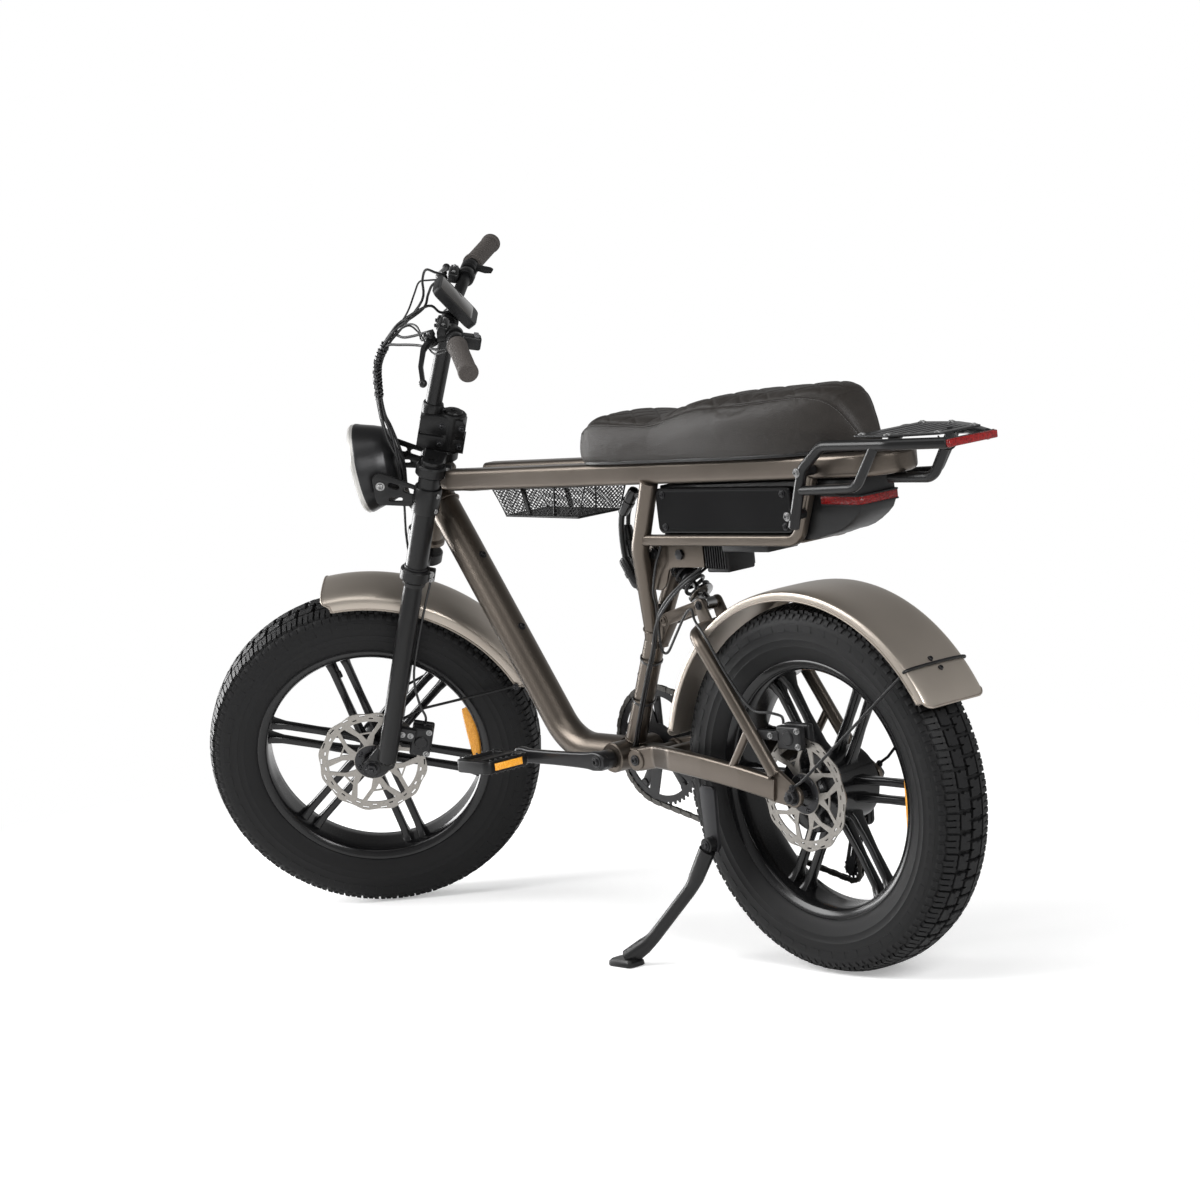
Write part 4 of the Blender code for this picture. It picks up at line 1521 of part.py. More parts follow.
# Cable bundle: from the bar out ahead of the stem and down to the head tube's gland
to_frame = Matrix.Rotation(-STEER_REST, 3, "Z")
gland_tip = to_frame @ Vector((HEAD_TUBE_RADIUS + 0.010 + GAP, 0, 0.462))
gland_way = to_frame @ Vector((1, 0, 0))
bundle_points = [(0.047, -0.020, 0.868), (0.062, 0.028, 0.880), (0.088, 0.068, 0.866), (0.116, 0.080, 0.830),
                 (0.133, 0.080, 0.780), (0.128, 0.074, 0.730), (0.112, 0.064, 0.670), (0.090, 0.052, 0.625),
                 (0.064, 0.044, 0.575), (0.050, 0.026, 0.515), gland_tip + gland_way * 0.010]
bundle = curve_tube("cable_bundle", smooth_path(bundle_points, 2) + [gland_tip], 0.0068, BLACK, steering,
                    resolution=1)
left_points = [(0.118, 0.080, 0.826), (0.094, 0.098, 0.832), (0.076, 0.116, 0.846), (0.062, 0.128, 0.862),
               (0.050, 0.136, 0.872)]
right_points = [(0.066, 0.034, 0.880), (0.078, -0.030, 0.897), (0.078, -0.090, 0.898), (0.062, -0.122, 0.884),
                (0.050, -0.134, 0.875)]
join(bundle, curve_tube("cable_left", smooth_path(left_points, 2), 0.0024, BLACK, steering, resolution=0),
     curve_tube("cable_right", smooth_path(right_points, 2), 0.0024, BLACK, steering, resolution=0))

# Rear brake hose: from the cradle down past the seat tube's clip, over the ears and down the left seatstay
hose_start = Vector((-0.278, 0.0400, floor_under + cradle_level(-0.278) - GAP))
rear_hose_points = [hose_start - Vector((0, 0, 0.010)), (-0.268, 0.0440, 0.676), (-0.255, 0.0410, 0.648),
                    (-0.244, 0.0365, 0.622), (-0.2360, 0.0265, 0.603), (-0.2285, 0.0197, 0.575),
                    (-0.2265, 0.0175, 0.552), (-0.2248, 0.0150, 0.528), (-0.2310, 0.0160, 0.5160),
                    (-0.250, 0.0215, 0.5190), (-0.285, 0.034, 0.5480), (-0.322, 0.040, 0.588),
                    (-0.348, 0.048, 0.600), (-0.388, 0.078, 0.5870), (-0.424, 0.0905, 0.5620),
                    (-0.471, 0.0945, 0.502), (-0.520, 0.0945, 0.450), (-0.556, 0.088, 0.4440),
                    (-0.572, 0.079, 0.4380), (-0.575, 0.077, 0.4320)]
hose_end = Vector((-0.575, 0.077, 0.4240 + GAP))
curve_tube("rear_hose", [hose_start] + smooth_path(rear_hose_points, 2) + [hose_end], 0.0023, BLACK, swing,
           resolution=0)

# Origin: the middle of the bicycle's footprint, on the floor
graph = bpy.context.evaluated_depsgraph_get()
corners = []
for piece in parts.objects:
    if piece.type == "MESH":
        shape = piece.evaluated_get(graph)
        corners += [shape.matrix_world @ vertex.co for vertex in shape.data.vertices]
least = [min(corner[axis] for corner in corners) for axis in range(3)]
most = [max(corner[axis] for corner in corners) for axis in range(3)]
bike.location = (-(least[0] + most[0]) / 2, -(least[1] + most[1]) / 2, -least[2])
print("size:", [round(high - low, 4) for low, high in zip(least, most)])
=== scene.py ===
"""Looks of a fat-tyre electric bicycle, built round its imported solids."""

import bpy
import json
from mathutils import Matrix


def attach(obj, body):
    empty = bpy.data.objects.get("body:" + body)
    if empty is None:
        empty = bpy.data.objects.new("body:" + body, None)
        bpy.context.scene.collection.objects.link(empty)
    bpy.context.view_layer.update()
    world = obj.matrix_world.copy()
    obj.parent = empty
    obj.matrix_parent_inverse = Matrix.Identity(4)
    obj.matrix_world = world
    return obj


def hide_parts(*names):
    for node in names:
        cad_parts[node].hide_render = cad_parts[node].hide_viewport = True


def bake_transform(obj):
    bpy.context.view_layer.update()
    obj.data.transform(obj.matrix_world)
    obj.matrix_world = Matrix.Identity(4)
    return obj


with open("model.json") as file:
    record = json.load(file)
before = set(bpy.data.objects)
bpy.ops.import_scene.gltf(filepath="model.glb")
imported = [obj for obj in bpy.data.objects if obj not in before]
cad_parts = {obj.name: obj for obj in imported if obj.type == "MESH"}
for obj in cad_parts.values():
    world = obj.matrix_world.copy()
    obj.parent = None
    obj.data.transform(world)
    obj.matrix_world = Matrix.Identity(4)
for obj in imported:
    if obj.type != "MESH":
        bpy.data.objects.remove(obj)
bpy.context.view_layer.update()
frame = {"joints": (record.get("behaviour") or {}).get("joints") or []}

import json
from math import asin, atan, atan2, copysign, cos, degrees, hypot, pi, radians, sin, sqrt, tan

import bmesh
import bpy
import numpy as np
from mathutils import Matrix, Vector
from mathutils.bvhtree import BVHTree

# Places: the bicycle's own coordinates start on the floor midway between the axles.
# The fork's start where the steering axis crosses axle height, the wheels' and the
# shock's at their pivots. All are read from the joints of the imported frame.
joints = {joint["name"]: joint for joint in frame["joints"]}
rear_axle = Vector(joints["rear_wheel_spin"]["pos_m"])
WHEELBASE = 1.2
TYRE_RADIUS = 0.308
bike = Matrix.Translation(rear_axle + Vector((WHEELBASE / 2, 0, -TYRE_RADIUS)))
rear_hub = Matrix.Translation(rear_axle)


def axes_at(origin, up, left):
    """A frame with its Z and Y along two given directions."""
    up, left = Vector(up).normalized(), Vector(left).normalized()
    turn = Matrix((left.cross(up), left, up)).transposed().to_4x4()
    return Matrix.Translation(origin) @ turn


steer_up = joints["steering_turn"]["axis"]
steer_left = joints["front_wheel_spin"]["axis"]
steering = axes_at(joints["steering_turn"]["pos_m"], steer_up, steer_left)
front_hub = axes_at(joints["front_wheel_spin"]["pos_m"], steer_up, steer_left)
shock_down = -Vector(joints["shock_travel"]["axis"])
shock = axes_at(joints["shock_swing"]["pos_m"], shock_down, (0, 1, 0))


# Bronze paint: the satin metallic coat that is sprayed on the frame, with a faint flake
# and a little unevenness in its tone. A finish is a set of nodes on which Python's own
# arithmetic works.
class Wire:
    """A socket of a node tree; sums and products of it add Math nodes."""

    def __init__(self, tree, socket=None):
        self.tree = tree
        self.socket = socket

    def node(self, kind, settings=None, inputs=None, output=0):
        """Adds a node: its settings first, then the values or links of its sockets."""
        made = self.tree.nodes.new(kind)
        for name, value in (settings or {}).items():
            if name == "stops":
                for stop, (position, colour) in zip(made.color_ramp.elements, value):
                    stop.position = position
                    stop.color = (*colour, 1.0)
            else:
                setattr(made, name, value)
        for key, value in (inputs or {}).items():
            if isinstance(value, Wire):
                self.tree.links.new(value.socket, made.inputs[key])
            else:
                made.inputs[key].default_value = value
        return Wire(self.tree, made.outputs[output])

    def other(self, output):
        """Another output of the node that this socket is on."""
        return Wire(self.tree, self.socket.node.outputs[output])

    def math(self, operation, *values):
        return self.node("ShaderNodeMath", {"operation": operation}, dict(enumerate(values)))

    def __add__(self, other):
        return self.math("ADD", self, other)

    def __sub__(self, other):
        return self.math("SUBTRACT", self, other)

    def __rsub__(self, other):
        return self.math("SUBTRACT", other, self)

    def __mul__(self, other):
        return self.math("MULTIPLY", self, other)

    def __truediv__(self, other):
        return self.math("DIVIDE", self, other)

    __radd__ = __add__
    __rmul__ = __mul__


class Finish(Wire):
    """One material with its Principled shader and the patterns that feed it."""

    def __init__(self, name, colour, roughness, metallic=0.0, gloss=0.5, slot=None):
        self.slot = slot
        self.material = bpy.data.materials.new(name)
        self.material.use_nodes = True
        super().__init__(self.material.node_tree)
        self.shader = self.tree.nodes["Principled BSDF"]
        self.put("Base Color", (*colour, 1.0))
        self.put("Roughness", roughness)
        self.put("Metallic", metallic)
        self.put("Specular IOR Level", gloss)
        self.place = self.node("ShaderNodeTexCoord", output=3)

    def put(self, socket, value):
        if isinstance(value, Wire):
            self.tree.links.new(value.socket, self.shader.inputs[socket])
        else:
            self.shader.inputs[socket].default_value = value

    def stretched(self, scale):
        """Places stretched by a scale on each axis, for a pattern with a grain."""
        return self.node("ShaderNodeMapping", {}, {"Vector": self.place, "Scale": scale})

    def noise(self, scale, detail=2.0, place=None):
        return self.node("ShaderNodeTexNoise", {}, {"Vector": place or self.place, "Scale": scale,
            "Detail": detail})

    def cells(self, scale, **settings):
        return self.node("ShaderNodeTexVoronoi", settings, {"Vector": self.place, "Scale": scale})

    def mixed(self, share, first, second):
        """A colour between two others."""
        blend = {0: share}
        for key, colour in ((6, first), (7, second)):
            blend[key] = colour if isinstance(colour, Wire) else (*colour, 1.0)
        return self.node("ShaderNodeMix", {"data_type": "RGBA"}, blend, output=2)

    def bump(self, height, distance, strength=1.0):
        self.put("Normal", self.node("ShaderNodeBump", {}, {"Height": height, "Distance": distance,
            "Strength": strength}))


def scaled(colour, factor):
    return tuple(min(1.0, channel * factor) for channel in colour)


def coat(name, colour, roughness, metallic, peel=0.00025, varied=0.1, gloss=0.5, slot=None):
    """A sprayed or powder coat: broad unevenness in tone, fine orange peel in relief."""
    made = Finish(name, colour, roughness, metallic, gloss, slot)
    broad = made.noise(9.0, 3.0)
    fine = made.noise(650.0, 2.0)
    made.put("Base Color", made.mixed(broad, scaled(colour, 1 - varied), scaled(colour, 1 + varied)))
    made.put("Roughness", roughness - 0.05 + 0.1 * broad)
    made.bump(fine, peel, 0.5)
    return made


BRONZE = (0.124, 0.105, 0.088)
bronze = coat("bronze_paint", BRONZE, 0.32, 0.86, slot="frame_paint")

# Welded frame: round aluminium tubes that meet at the head tube, the bottom bracket and
# the rear pivot. The down tube sweeps to the bracket in one bend, and the seat tube
# splits into two branches below the rails. Their weld beads show under the paint.
def poured(bm, name):
    """The mesh that a bmesh holds."""
    mesh = bpy.data.meshes.new(name)
    bm.to_mesh(mesh)
    bm.free()
    return mesh


def linked(name, data):
    """A new object in the scene."""
    obj = bpy.data.objects.new(name, data)
    bpy.context.scene.collection.objects.link(obj)
    return obj


def applied(obj):
    """The plain mesh that an object's modifiers make, which are then taken off."""
    mesh = bpy.data.meshes.new_from_object(obj.evaluated_get(bpy.context.evaluated_depsgraph_get()))
    obj.modifiers.clear()
    return mesh


def skin(rings, closed=False, open_section=False):
    """A closed surface over rings of equal count."""
    bm = bmesh.new()
    rows = [[bm.verts.new(point) for point in ring] for ring in rings]
    pairs = list(zip(rows, rows[1:]))
    if closed:
        pairs.append((rows[-1], rows[0]))
    count = len(rows[0])
    for row, after in pairs:
        for i in range(count - 1 if open_section else count):
            j = (i + 1) % count
            bm.faces.new((row[i], row[j], after[j], after[i]))
    if not closed and not open_section:
        bm.faces.new(rows[0])
        bm.faces.new(list(reversed(rows[-1])))
    bmesh.ops.remove_doubles(bm, verts=bm.verts, dist=1e-6)
    bmesh.ops.recalc_face_normals(bm, faces=bm.faces)
    return poured(bm, "skin")


def polar(radius, angle):
    return radius * cos(angle), radius * sin(angle)


def circle(radius, count=24):
    return [polar(radius, 2 * pi * i / count) for i in range(count)]


def swept(path, section, up=None, closed=False, sizes=None):
    """A section of (across, lift) points carried along a path, its lift kept near up."""
    points = [Vector(point) for point in path]
    count = len(points)
    lift = None
    rings = []
    for i, point in enumerate(points):
        before = points[i - 1] if closed or i else point
        after = points[(i + 1) % count] if closed or i < count - 1 else point
        way = (after - before).normalized()
        if up:
            lift = Vector(up)
        elif lift is None:
            lift = way.orthogonal()
        lift = (lift - way * lift.dot(way)).normalized()
        across = way.cross(lift)
        size = sizes[i] if sizes else 1.0
        rings.append([point + across * (u * size) + lift * (v * size) for u, v in section])
    return skin(rings, closed)


def rounded(points, radius, steps=8):
    """A path of straight runs with an arc of the given radius at each corner."""
    points = [Vector(point) for point in points]
    path = [points[0]]
    for before, corner, after in zip(points, points[1:], points[2:]):
        come, leave = (corner - before).normalized(), (after - corner).normalized()
        turn = come.angle(leave)
        if turn < 0.02:
            path.append(corner)
            continue
        reach = min(radius * tan(turn / 2), 0.49 * (corner - before).length, 0.49 * (after - corner).length)
        arc = reach / tan(turn / 2)
        centre = corner + (leave - come).normalized() * arc / cos(turn / 2)
        first = corner - come * reach - centre
        axis = come.cross(leave).normalized()
        path += [centre + Matrix.Rotation(turn * step / steps, 3, axis) @ first
            for step in range(steps + 1)]
    return path + [points[-1]]


def turned(profile, steps=48, hollow=False):
    """A profile of (radius, height) turned about Z; a hollow one closes on itself."""
    rings = []
    for step in range(steps):
        angle = 2 * pi * step / steps
        rings.append([(*polar(r, angle), h) for r, h in profile])
    return skin(rings, closed=True, open_section=not hollow)


def joined(*parts):
    """One mesh from several, each alone or with the frame that it is placed in."""
    bm = bmesh.new()
    for part in parts:
        mesh, place = part if isinstance(part, tuple) else (part, Matrix.Identity(4))
        start = len(bm.verts)
        bm.from_mesh(mesh)
        bm.verts.ensure_lookup_table()
        bmesh.ops.transform(bm, matrix=place, verts=bm.verts[start:])
    return poured(bm, "joined")


def piece(name, mesh, finish, body, *stands_for, place=None, slot=None, smooth=35.0):
    """Gives a mesh its finish and its place and hangs it on its body."""
    mesh = mesh.copy()
    mesh.transform(place or (steering if body == "steering" else bike))
    mesh.materials.clear()
    mesh.materials.append(finish.material)
    mesh.shade_smooth()
    mesh.set_sharp_from_angle(angle=radians(smooth))
    obj = linked(name, mesh)
    if body:
        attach(obj, body)
    if stands_for:
        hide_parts(*stands_for)
    slot = finish.slot if slot is None else slot
    return obj


def sleeve(inner, outer, low, high, sides, ease=0.0, rise=None):
    """A ring round Z, its outer edges eased by an amount across and along."""
    profile = [(inner, low), (outer, low), (outer, high), (inner, high)]
    if ease:
        rise = rise or ease
        profile[1:3] = [(outer - ease, low), (outer, low + rise), (outer, high - rise),
            (outer - ease, high)]
    return turned(profile, sides, hollow=True)


ALONG_Y = Matrix.Rotation(-pi / 2, 4, "X")


def crosswise(x, z, y=0.0):
    """A frame whose Z runs across the bicycle, at a place in its side view."""
    return at(x, y, z) @ ALONG_Y


def pin(radius, start, end, edge=0.0008, sides=24):
    """A round bar along Z with eased ends."""
    return turned([(0, start), (radius - edge, start), (radius, start + edge), (radius, end - edge),
        (radius - edge, end), (0, end)], sides)


def between(start, end):
    """A frame at a point with its Z towards another."""
    start, end = Vector(start), Vector(end)
    return Matrix.Translation(start) @ (end - start).to_track_quat("Z", "Y").to_matrix().to_4x4()


def grown(tree, base, values):
    """The plain mesh that a Geometry Nodes tree makes of a mesh with the given inputs."""
    obj = linked("base", base)
    step = obj.modifiers.new("tree", "NODES")
    step.node_group = tree
    for item in tree.interface.items_tree:
        if item.item_type == "SOCKET" and item.in_out == "INPUT" and item.name in values:
            step[item.identifier] = values[item.name]
    mesh = applied(obj)
    bpy.data.objects.remove(obj)
    return mesh


def new_tree(name, *inputs):
    """An empty Geometry Nodes tree with named inputs, and a wire for each of them."""
    tree = bpy.data.node_groups.new(name, "GeometryNodeTree")
    tree.is_modifier = True
    for label, kind in (("Geometry", "Geometry"), *inputs, ("Finish", "Material")):
        tree.interface.new_socket(label, in_out="INPUT", socket_type="NodeSocket" + kind)
    tree.interface.new_socket("Geometry", in_out="OUTPUT", socket_type="NodeSocketGeometry")
    source = tree.nodes.new("NodeGroupInput")
    return Wire(tree), {socket.name: Wire(tree, socket) for socket in source.outputs if socket.name}


def ended(wire, geometry, finish):
    """Closes a tree with Realize Instances and Set Material."""
    solid = wire.node("GeometryNodeRealizeInstances", {}, {"Geometry": geometry})
    solid = wire.node("GeometryNodeSetMaterial", {}, {"Geometry": solid, "Material": finish})
    sink = wire.tree.nodes.new("NodeGroupOutput")
    wire.tree.links.new(solid.socket, sink.inputs["Geometry"])
    return wire.tree


def ring_tree():
    """Copies of a shape round the Y axis, the first turned by Start."""
    wire, given = new_tree("ring_of_copies", ("Copies", "Int"), ("Start", "Float"))
    points = wire.node("GeometryNodePoints", {}, {"Count": given["Copies"]})
    index = wire.node("GeometryNodeInputIndex")
    angle = index / given["Copies"] * (2 * pi) + given["Start"]
    euler = wire.node("ShaderNodeCombineXYZ", {}, {"Y": angle})
    turn = wire.node("FunctionNodeEulerToRotation", {}, {"Euler": euler})
    copies = wire.node("GeometryNodeInstanceOnPoints", {},
        {"Points": points, "Instance": given["Geometry"], "Rotation": turn})
    return ended(wire, copies, given["Finish"])


RING = ring_tree()


def ring_of(shape, copies, start=0.0):
    return grown(RING, shape, {"Copies": copies, "Start": start, "Finish": bronze.material})


BEAD = 0.0026
UPRIGHT = Matrix.Rotation(pi / 2, 4, "X")


def bead(radius, place):
    """Overlapping weld ripples in a ring about the Z axis of a place."""
    bm = bmesh.new()
    flat = Matrix.Translation((radius, 0, 0)) @ Matrix.Diagonal((1.0, 0.8, 0.9, 1.0))
    bmesh.ops.create_icosphere(bm, subdivisions=1, radius=BEAD, matrix=flat)
    return ring_of(poured(bm, "ripple"), max(12, round(2 * pi * radius / 0.003))), place @ UPRIGHT


def flipped(path):
    """The same path on the bicycle's other side."""
    return [Vector((point[0], -point[1], point[2])) for point in path]


def sided(path, side):
    """The path as it is on the left side, or flipped for the right one."""
    return path if side > 0 else flipped(path)


def slab(outlines, thickness, bevel=0.0):
    """A flat plate with holes, its edges eased."""
    curve = bpy.data.curves.new("outline", "CURVE")
    curve.dimensions = "2D"
    curve.fill_mode = "BOTH"
    curve.extrude = thickness / 2 - bevel
    curve.bevel_depth = bevel
    curve.bevel_resolution = 1
    curve.offset = -bevel
    for outline in outlines:
        spline = curve.splines.new("POLY")
        spline.points.add(len(outline) - 1)
        for point, (x, y) in zip(spline.points, outline):
            point.co = (x, y, 0.0, 1.0)
        spline.use_cyclic_u = True
    obj = bpy.data.objects.new("outline", curve)
    mesh = bpy.data.meshes.new_from_object(obj)
    bpy.data.objects.remove(obj)
    bm = bmesh.new()
    bm.from_mesh(mesh)
    bmesh.ops.remove_doubles(bm, verts=bm.verts, dist=1e-6)
    bmesh.ops.recalc_face_normals(bm, faces=bm.faces)
    return poured(bm, "slab")


def upright(y):
    """The plane along the bicycle at a distance from its middle."""
    return Matrix.Translation((0, y, 0)) @ UPRIGHT


def hull(circles, count=24):
    """The outline round several circles given as (x, z, radius)."""
    points = sorted({(round(x + px, 6), round(z + pz, 6)) for x, z, radius in circles
        for px, pz in circle(radius, count)})

    def half(ordered):
        chain = []
        for p in ordered:
            while len(chain) > 1:
                (ax, ay), (bx, by) = chain[-2:]
                if (bx - ax) * (p[1] - ay) - (by - ay) * (p[0] - ax) > 1e-12:
                    break
                chain.pop()
            chain.append(p)
        return chain[:-1]

    return half(points) + half(points[::-1])


def block(size, bevel=0.002, segments=2):
    """A box with its edges rounded."""
    bm = bmesh.new()
    bmesh.ops.create_cube(bm, size=1.0, matrix=Matrix.Diagonal((*size, 1.0)))
    bmesh.ops.bevel(bm, geom=bm.edges[:], offset=bevel, segments=segments, affect="EDGES", profile=0.5)
    return poured(bm, "block")


def at(x, y, z):
    return Matrix.Translation((x, y, z))


AXLE_LEAD = 0.0386
HEAD_ANGLE = radians(67.3)
AXIS_X = WHEELBASE / 2 - AXLE_LEAD / sin(HEAD_ANGLE)
HEAD_LOW, HEAD_HIGH = 0.412, 0.57
HEAD_RADIUS, CUP_RADIUS = 0.0255, 0.03
DOWN_RADIUS, SEAT_RADIUS, BRANCH_RADIUS = 0.0285, 0.0182, 0.0155
BRACKET = Vector((-0.107, 0, 0.331))
AT_BRACKET = (BRACKET.x, BRACKET.z)
SEAT_HEAD = Vector((-0.2, 0, 0.545))
PIVOT = (-0.176, 0.333)
LINK = (-0.24, 0.572)
head_axis = at(AXIS_X, 0, TYRE_RADIUS) @ Matrix.Rotation(HEAD_ANGLE - pi / 2, 4, "Y")
down_line = rounded([head_axis @ Vector((0, 0, 0.516)), (0.322, 0, 0.731), (0.0475, 0, BRACKET.z),
    BRACKET + Vector((0.012, 0, 0))], 0.11, 16)
head_tube = turned([(0, HEAD_LOW), (CUP_RADIUS - 0.003, HEAD_LOW), (CUP_RADIUS, HEAD_LOW + 0.003),
    (CUP_RADIUS, HEAD_LOW + 0.009), (CUP_RADIUS - 0.002, HEAD_LOW + 0.0115),
    (HEAD_RADIUS, HEAD_LOW + 0.014), (HEAD_RADIUS, HEAD_HIGH - 0.014),
    (CUP_RADIUS - 0.002, HEAD_HIGH - 0.0115), (CUP_RADIUS, HEAD_HIGH - 0.009),
    (CUP_RADIUS, HEAD_HIGH - 0.003), (CUP_RADIUS - 0.003, HEAD_HIGH), (0, HEAD_HIGH)], 64)
seat_way = (SEAT_HEAD - BRACKET).normalized()
branch_line = rounded([SEAT_HEAD - seat_way * 0.022, SEAT_HEAD + Vector((-0.003, 0.009, 0.012)),
    (-0.24, 0.052, 0.7), (-0.284, 0.055, 0.815)], 0.08, 8)
lug = slab([hull([(-0.2, 0.548, 0.013), (-0.212, 0.525, 0.005), (*LINK, 0.011)])], 0.021, 0.002)
collar = sleeve(0.012, 0.024, -0.0014, 0.0014, 40)
GLAND_UP = 0.462
gland = [head_axis @ Vector((HEAD_RADIUS + out, 0, GLAND_UP)) for out in (-0.004, 0.01)]
piece("main_frame", joined((head_tube, head_axis), swept(down_line, circle(DOWN_RADIUS, 40)),
    (pin(0.026, -0.05, 0.05, 0.002, 40), crosswise(*AT_BRACKET)), (collar, crosswise(*AT_BRACKET, 0.0505)),
    (collar, crosswise(*AT_BRACKET, -0.0505)), swept([BRACKET, SEAT_HEAD], circle(SEAT_RADIUS, 32)),
    swept(branch_line, circle(BRANCH_RADIUS, 28)), swept(flipped(branch_line), circle(BRANCH_RADIUS, 28)),
    (block((0.069, 0.056, 0.028), 0.004, 3), at(-0.1415, 0, 0.332)),
    (pin(0.016, -0.0325, 0.0325, 0.001, 32), crosswise(*PIVOT)), (lug, upright(0)),
    (block((0.016, 0.027, 0.012)), at(-0.212, 0.0055, 0.527)),
    (pin(0.01, 0, 0.0138, 0.002), between(*gland)),
    bead(SEAT_RADIUS, between(BRACKET + seat_way * 0.0275, SEAT_HEAD)),
    bead(DOWN_RADIUS - 0.003, between(BRACKET + Vector((0.0255, 0, 0)), BRACKET + Vector((0.1, 0, 0)))),
    bead(BRANCH_RADIUS, between(branch_line[3], branch_line[4])),
    bead(0.03, between(down_line[0] + (down_line[1] - down_line[0]).normalized() * 0.03, down_line[1]))),
    bronze, "frame", "frame")

# Frame screws: black steel cap screws on low washers, two each in the down tube and the
# seat tube, where a bottle cage or a lock would be fixed.
black_steel = coat("black_steel", (0.026, 0.026, 0.028), 0.34, 0.6, peel=0.0001, slot="dark_steel")


def cap_screw(radius, height, place):
    """A round screw head with its hexagon socket, on a low washer."""
    inner = radius * 0.5
    head = turned([(0, -0.001), (radius * 1.55, -0.001), (radius * 1.55, 0.001), (radius, 0.0012),
        (radius, height - radius * 0.2), (radius * 0.8, height)], 20)
    socket = turned([(0, height * 0.5), (inner, height * 0.5), (inner, height), (radius * 0.8, height)], 6)
    return joined((head, place), (socket, place))


start, end = max(zip(down_line[1:], down_line[2:]), key=lambda run: (run[1] - run[0]).length)
across_tube = Vector((0, -1, 0)).cross(end - start).normalized()
screws = []
for share in (0.22, 0.58):
    foot = start.lerp(end, share) - across_tube * (DOWN_RADIUS - 0.0003)
    screws.append(cap_screw(0.0046, 0.0052, between(foot, foot - across_tube)))
ahead = Vector((seat_way.z, 0, -seat_way.x))
for share in (0.36, 0.62):
    foot = BRACKET.lerp(SEAT_HEAD, share) + ahead * (SEAT_RADIUS - 0.0003)
    screws.append(cap_screw(0.0044, 0.005, between(foot, foot + ahead)))
piece("frame_screws", joined(*screws), black_steel, "frame")

# Top rails: one square-section tube bent round behind the seat, flat on its sides and
# well rounded at its corners. A short boxed neck welds it to the down tube and the head.
RAIL_Y, RAIL_WIDE, RAIL_TALL = 0.044, 0.036, 0.038
RAIL_FRONT, RAIL_REAR = AXIS_X - 0.3082, -0.818
RAIL_MIDDLE, RAIL_FALL = 0.8203, 0.0357


def rounded_box(width, height, corner, steps=4):
    """The outline of a rectangle with rounded corners."""
    points = []
    for quarter, (sx, sy) in enumerate(((1, 1), (-1, 1), (-1, -1), (1, -1))):
        for step in range(steps + 1):
            angle = pi / 2 * (quarter + step / steps)
            points.append((sx * (width / 2 - corner) + corner * cos(angle), sy * (height / 2 - corner)
                + corner * sin(angle)))
    return points


def rail_level(x):
    """Height of the rails' centre line at a place along the bicycle."""
    return RAIL_MIDDLE - RAIL_FALL * x


rail_half = [(RAIL_FRONT, RAIL_Y), (RAIL_REAR + RAIL_Y, RAIL_Y)]
for step in range(1, 9):
    angle = pi / 2 * step / 8
    rail_half.append((RAIL_REAR + RAIL_Y * (1 - sin(angle)), RAIL_Y * cos(angle)))
rail_line = [(x, y, rail_level(x)) for x, y in rail_half + [(x, -y) for x, y in reversed(rail_half[:-1])]]
NECK_MIDDLE = 0.8055
neck_rings = []
for x, half, tall in ((RAIL_FRONT - 0.07, 0.03, 0.03), (RAIL_FRONT - 0.03, 0.034, 0.033),
        (RAIL_FRONT + 0.006, 0.032, 0.033), (RAIL_FRONT + 0.05, 0.0265, 0.033),
        (RAIL_FRONT + 0.0975, 0.0245, 0.032)):
    neck_rings.append([(x, y, NECK_MIDDLE + z) for y, z in rounded_box(2 * half, tall, 0.006)])
piece("rails", joined(swept(rail_line, rounded_box(RAIL_WIDE, RAIL_TALL, 0.009, 5), up=(0, 0, 1)),
    skin(neck_rings)), bronze, "frame", "top_rails")

# Tyres: 20 x 4.5 inch fat tyres of dull black rubber. Two staggered rows of notched
# blocks run round the middle, thin raked ribs cross the shoulders, and low nubs sit
# below them on the sidewall, which carries fine moulded rings.
rubber = coat("tyre_rubber", (0.0062, 0.0062, 0.0066), 0.55, 0.0, peel=0.0003, varied=0.16, gloss=0.2,
    slot="tyre_rubber")
TREAD_PITCHES = 56
CASING = TYRE_RADIUS - 0.0065
FLAT_HALF, FLAT_DROP = 0.024, 0.0008
SHOULDER_WIDE, SHOULDER_DROP, SHOULDER_ROUND = 0.03, 0.0235, 0.96


def crown_at(y):
    """The casing's radius under the tread at a distance from the middle plane."""
    y = abs(y)
    if y < FLAT_HALF:
        return CASING - FLAT_DROP * (y / FLAT_HALF) ** 2
    share = min(1.0, (y - FLAT_HALF) / SHOULDER_WIDE)
    return CASING - FLAT_DROP - SHOULDER_DROP * (1 - sqrt(max(0.0, 1 - share ** 2 * SHOULDER_ROUND)))


side_profile = [(0.2162, 0.041), (0.218, 0.0432), (0.2215, 0.0455), (0.229, 0.049), (0.24, 0.0525),
    (0.2412, 0.053), (0.242, 0.0528), (0.252, 0.0547), (0.2532, 0.0553), (0.2541, 0.0549), (0.264, 0.0558),
    (0.274, 0.0553), (0.279, 0.0544)]
tread_profile = [(crown_at(y), y) for y in (0.0525, 0.05, 0.046, 0.041, 0.036, 0.03, 0.024, 0.015, 0.006)]
half_profile = side_profile + tread_profile
tyre_profile = half_profile + [(r, -y) for r, y in reversed(half_profile)]


